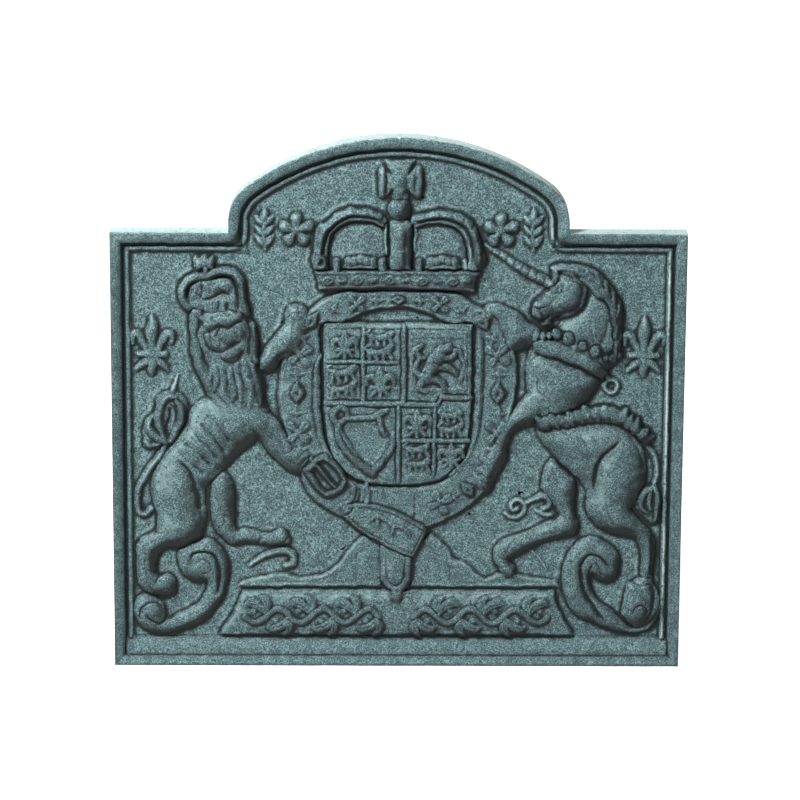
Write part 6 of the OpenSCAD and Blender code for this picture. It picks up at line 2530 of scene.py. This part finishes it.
@dataclass
class Board:
    """The plain arched plate and the mouldings round it.

    A section's points are heights above the field and distances inside the plate's edge.
    """

    half_w: float = 305.0
    shoulder: float = 482.0
    top: float = 585.0
    half_arch: float = 180.0
    foot: float = 11.0
    haunch_r: float = 49.0
    thick: float = 15.6
    rim: Sequence[Point] = ((-0.4, 0), (8.1, 0), (8.7, 0.4), (8.95, 1.4), (8.5, 4), (7.7, 7.4), (7.0, 9.6),
                            (6.0, 10.8), (4.0, 11.8), (2.0, 12.6), (1.0, 13.4), (-0.6, 13.8))
    bead_at: float = 18.0
    bead_half: float = 3.0
    bead_rise: float = 3.5
    bead_foot: float = 29.5
    band: Sequence[Point] = ((-0.6, 9.4), (5.9, 10), (5.3, 12), (5.9, 13.6), (5.8, 19), (5.0, 23),
                             (3.4, 26.4), (1.8, 29), (0.6, 31), (-0.6, 33))
    band_in: float = 12.4

    def arch(self, inset: float, step: float = 2.5) -> list[Point]:
        """Draws the arch, a big arc between two small ones.

        Args:
            inset: Distance inside the outline.
            step: About how far apart its points are.

        Returns:
            Its points, from its left foot to its right.
        """
        haunch_x = self.half_arch - self.haunch_r
        drop = self.top - self.shoulder - self.foot
        big = (haunch_x**2 + drop**2 - self.haunch_r**2) / (2 * (drop - self.haunch_r))
        spring = self.shoulder + self.foot
        turn = math.asin(haunch_x / (big - self.haunch_r))
        left: list[Point] = [(-self.half_arch + inset, self.shoulder - inset)]
        for a in np.linspace(0, math.pi / 2 - turn, max(6, int(self.haunch_r / step))):
            r = self.haunch_r - inset
            left.append((-haunch_x - r * math.cos(a), spring + r * math.sin(a)))
        for a in np.linspace(turn, 0, max(12, int(big * turn / step)))[1:]:
            r = big - inset
            left.append((-r * math.sin(a), self.top - big + r * math.cos(a)))
        return left + mirrored(left[-2::-1])

    def outline(self, inset: float = 0.0) -> np.ndarray:
        """The plate's whole outline at a distance inside its edge, clockwise from the lower left."""
        e, s = self.half_w - inset, self.shoulder - inset
        return np.array([(-e, inset), (-e, s), *self.arch(inset), (e, s), (e, inset)], float)

    def bead_profile(self) -> list[Point]:
        """Draws the bead's section.

        Returns:
            A half round, standing out from the field.
        """
        ring = [(self.bead_rise * math.sin(a), self.bead_at - self.bead_half * math.cos(a))
                for a in np.linspace(0, math.pi, 9)]
        return [(-0.8, self.bead_at - self.bead_half), *ring, (-0.8, self.bead_at + self.bead_half)]

    def raise_map(self, heights: HeightMap) -> None:
        """Draws the border's own section on the height map.

        Args:
            heights: The map.
        """
        x, z = heights.places()
        depth = depth_inside(self.outline(), x, z)
        rim = np.array(self.rim)
        inside = np.interp(depth, rim[1:, 1], rim[1:, 0], left=OUTSIDE, right=0.0)
        bead = self.bead_rise * np.sqrt(np.clip(1 - ((depth - self.bead_at) / self.bead_half) ** 2, 0, 1))
        bead = np.where(z > self.bead_foot + 0.5, bead, 0)
        band = np.array(self.band)
        low = np.interp(z, band[1:-1, 1], band[1:-1, 0], left=0.0, right=0.0)
        low = np.where(depth > self.band_in + 0.1, np.maximum(bead, low), OUTSIDE)
        inside = np.maximum(inside, low)
        np.maximum(heights.h, np.maximum(inside, 0), out=heights.h)
        heights.h[depth < 0] = inside[depth < 0]

    def lines(self) -> dict[str, tuple[str, list[Point], list[tuple]]]:
        """Sets out the mouldings.

        Returns:
            For each CAD node its section's name, its path and the planes that mitre its ends, each
            as a place and the direction that is cut away.
        """
        e, s, a, far = self.half_w, self.shoulder, self.half_arch, 30.0
        low_left, low_right, up_left, up_right = (-e, 0), (e, 0), (-e, s), (e, s)
        foot_left, foot_right = (-a, s), (a, s)
        arch = [(-a, s - far), *self.arch(0.0), (a, s - far)]
        runs = {
            "bottom": ([(e + far, 0), (-e - far, 0)], [(low_left, (-1, 1)), (low_right, (1, 1))]),
            "left": ([(-e, -far), (-e, s + far)], [(low_left, (1, -1)), (up_left, (1, 1))]),
            "right": ([(e, s + far), (e, -far)], [(low_right, (-1, -1)), (up_right, (-1, 1))]),
            "shoulder_left": ([(-e - far, s), (-a + far, s)], [(up_left, (-1, -1)), (foot_left, (1, 1))]),
            "shoulder_right": ([(a - far, s), (e + far, s)], [(up_right, (1, -1)), (foot_right, (-1, 1))]),
            "arch": (arch, [(foot_left, (-1, -1)), (foot_right, (1, -1))]),
        }
        out = {f"rim_{k}": ("rim", *run) for k, run in runs.items()}
        out |= {f"bead_{k}": ("bead", *run) for k, run in runs.items() if k != "bottom"}
        foot = self.bead_foot
        out["bead_left"] = ("bead", [(-e, foot), (-e, s + far)], [(up_left, (1, 1))])
        out["bead_right"] = ("bead", [(e, s + far), (e, foot)], [(up_right, (-1, 1))])
        out["base_band"] = ("band", [(e - self.band_in, 0), (-e + self.band_in, 0)], [])
        return out

    def mouldings(self, tree: bpy.types.NodeTree, material: bpy.types.Material) -> dict[str, bpy.types.Mesh]:
        """Sweeps every length of rim, bead and band, and cuts its mitres.

        Args:
            tree: The tree that sweeps.
            material: The finish.

        Returns:
            The meshes, by CAD node.
        """
        sections = {"rim": self.rim, "bead": self.bead_profile(), "band": self.band}
        profiles = {k: curve_object(f"{k}_section", [(p[0] * MM, p[1] * MM, 0) for p in v], True)
                    for k, v in sections.items()}
        made = {}
        for name, (section, path, planes) in self.lines().items():
            fine = self.close_set(path)
            line = curve_object(name + "_path", [(p[0] * MM, -FIELD_T * MM, p[1] * MM) for p in fine], False)
            mesh = grown(name, tree, {"Path": line, "Profile": profiles[section], "Material": material})
            bpy.data.objects.remove(line)
            self.mitre(mesh, planes)
            made[name] = mesh
        for obj in profiles.values():
            bpy.data.objects.remove(obj)
        return made

    def close_set(self, path: Sequence[Point], step: float = 2.2) -> list[Point]:
        """Divides a path's long straights, so that its skin can be uneven.

        Args:
            path: The path.
            step: About how far apart the new points are.

        Returns:
            The path with more points.
        """
        out: list[Point] = []
        for p, q in zip(path, path[1:]):
            n = max(1, int(math.hypot(q[0] - p[0], q[1] - p[1]) / step))
            out += [(p[0] + (q[0] - p[0]) * k / n, p[1] + (q[1] - p[1]) * k / n) for k in range(n)]
        return [*out, path[-1]]

    def mitre(self, mesh: bpy.types.Mesh, planes: Sequence[tuple]) -> None:
        """Cuts a moulding's ends along its mitre planes and closes them.

        Args:
            mesh: The moulding.
            planes: For each plane a place on it and the direction that is cut away.
        """
        work = bmesh.new()
        work.from_mesh(mesh)
        for (x, z), (across, up) in planes:
            cut = bmesh.ops.bisect_plane(
                work, geom=[*work.verts, *work.edges, *work.faces], dist=1e-7,
                plane_co=(x * MM, 0, z * MM), plane_no=(across, 0, up), clear_outer=True)
            rim = [g for g in cut["geom_cut"] if isinstance(g, bmesh.types.BMEdge)]
            bmesh.ops.edgenet_fill(work, edges=rim)
        bmesh.ops.recalc_face_normals(work, faces=work.faces)
        work.to_mesh(mesh)
        work.free()

    def field_sheet(self, pitch: float = 1.9) -> Sheet:
        """Lays out the field's own surface inside the rim.

        Args:
            pitch: Spacing of its places.

        Returns:
            A sheet that is seated 1 mm down.
        """
        sheet = Sheet((-self.half_w, self.half_w, 0, self.top), pitch)
        x, z = np.meshgrid(sheet.xs, sheet.zs)
        sheet.h = np.where(depth_inside(self.outline(), x, z) > 7.5, 0.87, SUNK)
        return sheet

    def slab(self) -> bpy.types.Mesh:
        """Builds the plate behind the field's surface.

        Returns:
            A mesh of two flat faces and the walls between them.
        """
        ring = self.outline()
        n = len(ring)
        points = np.vstack([np.column_stack([ring[:, 0], np.full(n, y), ring[:, 1]])
                            for y in (-self.thick, 0.0)])
        k = np.arange(n)
        after = (k + 1) % n
        walls = np.column_stack([k, after, after + n, k + n])
        return mesh_of("plate", points, [k[None, ::-1], (k + n)[None], walls])


# ---- Finishes ------------------------------------------------------------------------------


def linear(colour: str) -> tuple[float, float, float, float]:
    """Turns a colour into the linear one that Blender's sockets take.

    Args:
        colour: The colour as sRGB in hex.

    Returns:
        Red, green, blue and an alpha of 1.
    """
    parts = [int(colour[k : k + 2], 16) / 255 for k in (1, 3, 5)]
    red, green, blue = (c / 12.92 if c <= 0.04045 else ((c + 0.055) / 1.055) ** 2.4 for c in parts)
    return red, green, blue, 1.0


@dataclass(frozen=True)
class CastIron:
    """Iron cast in sand and blackened, dull and grainy.

    It is darkened with painted shade (with some sooting) in its hollows and on its shaded sides,
    and paled with painted highlights (and some wear) on its edges and lit sides.
    """

    name: str
    shade_and_soot: str
    dark: str
    middle: str
    light: str
    highlight_and_wear: str
    grain_mm: float = 1.3889
    cloud_mm: float = 10.526
    hole_mm: float = 4.7619
    bump_mm: float = 0.9
    bump: float = 0.55
    roughness: float = 0.62
    metallic: float = 0.15
    specular: float = 0.3

    def material(self) -> bpy.types.Material:
        """Builds the material.

        Returns:
            The material.
        """
        mat = bpy.data.materials.new(self.name)
        mat.use_nodes = True
        tree = mat.node_tree
        tree.nodes.clear()
        at = add(tree, "ShaderNodeTexCoord").outputs["Object"]
        # Sand leaves a grain too fine to show here, so it is drawn over a millimetre across; the
        # broader clouds are oxide
        fine = add(tree, "ShaderNodeTexNoise", Vector=at, Scale=1 / (self.grain_mm * MM), Detail=3.0,
                   Roughness=0.75)
        clouds = add(tree, "ShaderNodeTexNoise", Vector=at, Scale=1 / (self.cloud_mm * MM), Detail=5.0,
                     Roughness=0.7, Distortion=0.6)
        mixed = add(tree, "ShaderNodeMath", {"operation": "MULTIPLY_ADD"}, i0=clouds.outputs["Fac"], i1=0.36,
                    i2=-0.178)
        level = add(tree, "ShaderNodeMath", {"operation": "ADD"}, i0=fine.outputs["Fac"],
                    i1=mixed.outputs[0])
        tones = add(tree, "ShaderNodeValToRGB", Fac=level.outputs[0])
        ramp = tones.color_ramp
        ramp.elements[0].position, ramp.elements[0].color = 0.32, linear(self.dark)
        ramp.elements[1].position, ramp.elements[1].color = 0.68, linear(self.light)
        ramp.elements.new(0.5).color = linear(self.middle)
        # A per-vertex attribute carries the painted light: above 0 it mixes towards the near-black colour as
        # painted shade (with some soot), below 0 towards the pale colour as painted highlight (with some
        # wear)
        shading_and_grime = add(tree, "ShaderNodeAttribute", {"attribute_name": "shading_and_grime"}).outputs["Fac"]
        hollow = add(tree, "ShaderNodeMapRange", Value=shading_and_grime, From_Min=0.04, From_Max=0.95, To_Max=0.96)
        # Blowholes: dark dots in some of the cells of a fine pattern
        cells = add(tree, "ShaderNodeTexVoronoi", Vector=at, Scale=1 / (self.hole_mm * MM))
        dot = add(tree, "ShaderNodeMapRange", Value=cells.outputs["Distance"], From_Min=0.4,
                  From_Max=0.24, To_Max=0.65)
        some = add(tree, "ShaderNodeMath", {"operation": "GREATER_THAN"}, i0=clouds.outputs["Fac"], i1=0.53)
        holes = add(tree, "ShaderNodeMath", {"operation": "MULTIPLY"}, i0=dot.outputs[0],
                    i1=some.outputs[0])
        # Painted shade and the blowholes together set how near-black each place is
        shade_and_soot = add(tree, "ShaderNodeMath", {"operation": "MAXIMUM"}, i0=hollow.outputs[0],
                   i1=holes.outputs[0])
        # Painted highlight, with some wear: negative values pale the tone
        proud = add(tree, "ShaderNodeMapRange", Value=shading_and_grime, From_Min=-0.05, From_Max=-0.75, To_Max=0.88)
        highlight_and_wear = add(tree, "ShaderNodeMix", {"data_type": "RGBA"}, i0=proud.outputs[0],
                     i6=tones.outputs["Color"], i7=linear(self.highlight_and_wear))
        shaded_and_sooty = add(tree, "ShaderNodeMix", {"data_type": "RGBA"}, i0=shade_and_soot.outputs[0],
                    i6=highlight_and_wear.outputs[2], i7=linear(self.shade_and_soot))
        bumps = add(tree, "ShaderNodeBump", Strength=self.bump, Distance=self.bump_mm * MM,
                    Height=fine.outputs["Fac"])
        shader = add(tree, "ShaderNodeBsdfPrincipled", Base_Color=shaded_and_sooty.outputs[2], Metallic=self.metallic,
                     Roughness=self.roughness, Specular_IOR_Level=self.specular,
                     Normal=bumps.outputs["Normal"])
        add(tree, "ShaderNodeOutputMaterial", Surface=shader.outputs["BSDF"])
        return mat


class Slot(Enum):
    """The record's material slots."""

    PLATE = "plate_iron"
    BORDER = "border_iron"
    RELIEF = "relief_iron"


# Each finish gives its near-black colour for painted shade and soot, three grain tones, and its pale colour
# for painted highlight and wear; the border's darks are lighter so its painted shade is weaker, and its pale
# one is near-white for the painted highlight on the top edge
FINISHES = {
    Slot.PLATE: CastIron("cast_iron_field", "#060c0e", "#101a1c", "#40565a", "#7c9a9b", "#a4bebc"),
    Slot.BORDER: CastIron("cast_iron_border", "#0c1416", "#1d2b2e", "#465d61", "#7c9a9b", "#d8e3df"),
    Slot.RELIEF: CastIron("cast_iron_carving", "#060c0e", "#0f191b", "#3e5357", "#7a9798", "#9fbab9"),
}


# ---- Studio --------------------------------------------------------------------------------


@dataclass(frozen=True)
class Lamp:
    """A square soft lamp that faces a point."""

    name: str
    at: tuple[float, float, float]
    to: tuple[float, float, float]
    size: float
    watts: float

    def hang(self) -> None:
        """Puts the lamp in the scene."""
        data = bpy.data.lights.new(self.name, "AREA")
        data.size, data.energy = self.size, self.watts
        obj = as_object(self.name, data)
        obj.location = self.at
        obj.rotation_euler = (Vector(self.to) - Vector(self.at)).to_track_quat("-Z", "Y").to_euler()


@dataclass
class Studio:
    """A pale floor, soft lamps and a white surround."""

    floor_colour: str = "#f4f4f2"
    floor_glow: float = 0.85
    surround_light: float = 0.17
    lamps: Sequence[Lamp] = (Lamp("key", (-0.92, -1.0, 1.98), (0, 0, 0.42), 0.45, 97),
                             Lamp("fill", (1.2, -2.6, 1.6), (0, 0, 0.3), 1.2, 10))

    def build(self) -> None:
        """Puts the floor, the lamps and the surround in the scene."""
        self.floor()
        for lamp in self.lamps:
            lamp.hang()
        self.surround()

    def floor(self) -> None:
        """Lays matt white paint that glows a little to the camera, so that it meets the surround."""
        bpy.ops.mesh.primitive_plane_add(size=12, location=(0, 0, -0.0005))
        floor = bpy.context.object
        floor.name = "floor"
        paint = bpy.data.materials.new("matt_floor_paint")
        paint.use_nodes = True
        tree = paint.node_tree
        shader = tree.nodes["Principled BSDF"]
        shader.inputs["Base Color"].default_value = linear(self.floor_colour)
        shader.inputs["Roughness"].default_value = 0.9
        seen = add(tree, "ShaderNodeLightPath").outputs["Is Camera Ray"]
        glow = add(tree, "ShaderNodeMath", {"operation": "MULTIPLY"}, i0=seen, i1=self.floor_glow)
        shader.inputs["Emission Color"].default_value = (1, 1, 1, 1)
        tree.links.new(glow.outputs[0], shader.inputs["Emission Strength"])
        floor.data.materials.append(paint)

    def surround(self) -> None:
        """White to the camera and in reflections, and a dimmer grey as light."""
        world = bpy.data.worlds.new("surround")
        bpy.context.scene.world = world
        world.use_nodes = True
        tree = world.node_tree
        tree.nodes.clear()
        rays = add(tree, "ShaderNodeLightPath")
        mirror = add(tree, "ShaderNodeMath", {"operation": "MAXIMUM"}, i0=rays.outputs["Is Glossy Ray"],
                     i1=rays.outputs["Is Transmission Ray"])
        seen = add(tree, "ShaderNodeMath", {"operation": "MAXIMUM"}, i0=rays.outputs["Is Camera Ray"],
                   i1=mirror.outputs[0])
        soft = add(tree, "ShaderNodeBackground", Color=(1, 1, 1, 1), Strength=self.surround_light)
        white = add(tree, "ShaderNodeBackground", Color=(1, 1, 1, 1), Strength=1.0)
        both = add(tree, "ShaderNodeMixShader", i0=seen.outputs[0], i1=soft.outputs[0],
                   i2=white.outputs[0])
        add(tree, "ShaderNodeOutputWorld", Surface=both.outputs[0])


@dataclass(frozen=True)
class View:
    """The camera, which looks at the plate from above as the photograph does."""

    at: tuple[float, float, float] = (-0.0409, -4.6017, 1.6249)
    down_degrees: float = 16.143
    aside: float = -0.0094
    roll: float = 0.0057
    sensor_mm: float = 36.0
    lens_mm: float = 201.4

    def place(self) -> None:
        """Puts the camera in the scene."""
        data = bpy.data.cameras.new("camera")
        data.sensor_width, data.lens, data.clip_end = self.sensor_mm, self.lens_mm, 50.0
        obj = as_object("camera", data)
        tilt = Matrix.Rotation(math.radians(90 - self.down_degrees), 4, "X")
        turn = Matrix.Rotation(self.aside, 4, "Z") @ tilt @ Matrix.Rotation(self.roll, 4, "Z")
        obj.matrix_world = Matrix.Translation(self.at) @ turn
        bpy.context.scene.camera = obj


# ---- The fireback --------------------------------------------------------------------------


class Fireback:
    """Puts the carved pieces, mouldings and finishes together."""

    def __init__(self) -> None:
        """Lays out the plate, a bare height map and the finishes."""
        self.board = Board()
        self.heights = HeightMap(self.board.half_w, self.board.top)
        self.skin = CastSkin()
        self.materials = {slot: finish.material() for slot, finish in FINISHES.items()}
        self.made: list[bpy.types.Object] = []

    def keep(self, name: str, mesh: bpy.types.Mesh, slot: Slot, *nodes: str) -> None:
        """Gives a finished mesh its place in the scene, its finish and its CAD node.

        Args:
            name: Name of the piece.
            mesh: Its mesh.
            slot: Its finish.
            *nodes: The CAD nodes that it stands for, where they have another name.
        """
        mesh.materials.clear()
        mesh.materials.append(self.materials[slot])
        obj = as_object(name, mesh)
        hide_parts(*(nodes or (name,)))
        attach(obj, "root")
        self.made.append(obj)
        log.info("%s: %d faces in %s", name, len(mesh.polygons), slot.value)

    def carve(self) -> None:
        """Carves and meshes every figure."""
        for group in (Foot(), Garter(), Shield(), BigCrown(), Lion(), Unicorn()):
            for relief in group.build():
                sheet = relief.sheet()
                self.heights.lay(sheet, relief.base)
                mesh = shell(relief.node, sheet, relief.base,
                             lambda x, z, s=relief.skin: self.skin.at(x, z, 0.4) * 1.5 * s)
                self.keep(relief.node, mesh, Slot.RELIEF)

    def set_out(self) -> None:
        """Sets the small ornaments out along the strap, the plinth and the field."""
        tree, ornaments = scatter_tree(), Ornaments()
        for node, (base, groups) in ornaments.set_out().items():
            mesh = one_mesh(node, [self.copies(node, tree, motif, places, base) for motif, places in groups])
            self.heights.splat(points_of(mesh))
            self.keep(node, mesh, Slot.RELIEF)
        stem, base = ornaments.stem(), ornaments.stem_base
        self.heights.lay(stem, base)
        mesh = shell("plinth_stem", stem, base, lambda x, z: self.skin.at(x, z, 0) * 0.3)
        self.keep("plinth_stem", mesh, Slot.RELIEF, "plinth_ornament")

    def copies(self, node: str, tree: bpy.types.NodeTree, motif: Motif, places: Sequence[tuple[float, ...]],
               base: float) -> bpy.types.Mesh:
        """Carves a motif once and copies it to its places.

        Args:
            node: Name of the CAD node that the copies are part of.
            tree: The tree that copies.
            motif: The motif.
            places: Its places, as x, z, turn in degrees and size.
            base: Height of what the copies are seated on.

        Returns:
            One mesh with all the copies.
        """
        mesh = shell(motif.name, motif.relief().sheet(), 0.0, lambda x, z: self.skin.at(x, z, 0) * 0.4)
        source = as_object(motif.name, mesh)
        spots = bpy.data.meshes.new(node + "_places")
        spots.from_pydata([(p[0] * MM, -base * MM, p[1] * MM) for p in places], [], [])
        for key, column, factor in (("turn", 2, math.pi / 180), ("size", 3, 1.0)):
            layer = spots.attributes.new(key, "FLOAT", "POINT")
            layer.data.foreach_set("value", [p[column] * factor for p in places])
        holder = as_object(node + "_places", spots)
        made = grown(node, tree, {"Places": holder, "Motif": source, "Size": 1.0,
                                  "Material": self.materials[Slot.RELIEF]})
        bpy.data.objects.remove(holder)
        bpy.data.objects.remove(source)
        return made

    def border(self) -> None:
        """Sweeps the mouldings and gives them a cast skin."""
        made = self.board.mouldings(sweep_tree(), self.materials[Slot.BORDER])
        for name, mesh in made.items():
            co = points_of(mesh) / MM
            proud = co[:, 1] < -FIELD_T - 0.2
            co[:, 1] -= np.where(proud, self.skin.at(co[:, 0], co[:, 2], 0.8) * 0.9 - 0.12, 0)
            co[:, 1] = np.maximum(co[:, 1], -FIELD_T - FRONT)
            # The plate's own edge stays true, and the lines inside it stray
            loose = eased(depth_inside(self.board.outline(), co[:, 0], co[:, 2]), 1, 8)
            across, up = wander(co[:, 0], co[:, 2])
            co[:, 0] += loose * across
            co[:, 2] += loose * up
            mesh.vertices.foreach_set("co", (co * MM).astype(np.float32).ravel())
            mesh.update()
            self.keep(name, mesh, Slot.BORDER)

    def field(self) -> None:
        """Makes the plate and the field's uneven surface."""
        slab = self.board.slab()
        surface = shell("field", self.board.field_sheet(), -1.0,
                        lambda x, z: np.clip(self.skin.at(x, z) * 0.8 + 0.15, -0.27, 0.6), one_back=True)
        mesh = one_mesh("plate", [slab, surface])
        rounded = np.arange(len(mesh.polygons)) >= len(slab.polygons)
        mesh.polygons.foreach_set("use_smooth", rounded)
        self.keep("plate", mesh, Slot.PLATE)

    def dress(self) -> None:
        """Writes each vertex's painted shade and painted highlight, once the whole height map is known."""
        self.board.raise_map(self.heights)
        self.heights.h += 1.3 * self.skin.at(*self.heights.places(), 0.2)
        self.heights.find_shading_and_grime()
        edge, top_edge = self.board.outline(0.6), self.board.shoulder - 8
        for obj in self.made:
            co = points_of(obj.data) / MM
            value = self.heights.sample(self.heights.shading_and_grime, co[:, 0], co[:, 2])
            # The plate's outer edges get a painted highlight: near-white along the shoulders and the arch,
            # which face up into the light, and a faint one lower down
            behind = eased(co[:, 1], 0.3 - FIELD_T - FRONT, 2.5)
            worn = behind * (depth_inside(edge, co[:, 0], co[:, 2]) < 0)
            value += worn * (np.where(co[:, 2] > top_edge, -1.0, -0.2) - value)
            layer = obj.data.attributes.new("shading_and_grime", "FLOAT", "POINT")
            layer.data.foreach_set("value", value.astype(np.float32))

    def build(self) -> None:
        """Builds the whole fireback."""
        self.carve()
        self.set_out()
        self.border()
        self.field()
        self.dress()


def main() -> None:
    """Builds the scene."""
    logging.basicConfig(level=logging.INFO, format="%(message)s")
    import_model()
    bpy.context.scene.view_settings.view_transform = "Standard"
    Fireback().build()
    Studio().build()
    View().place()


if __name__ == "__main__":
    main()
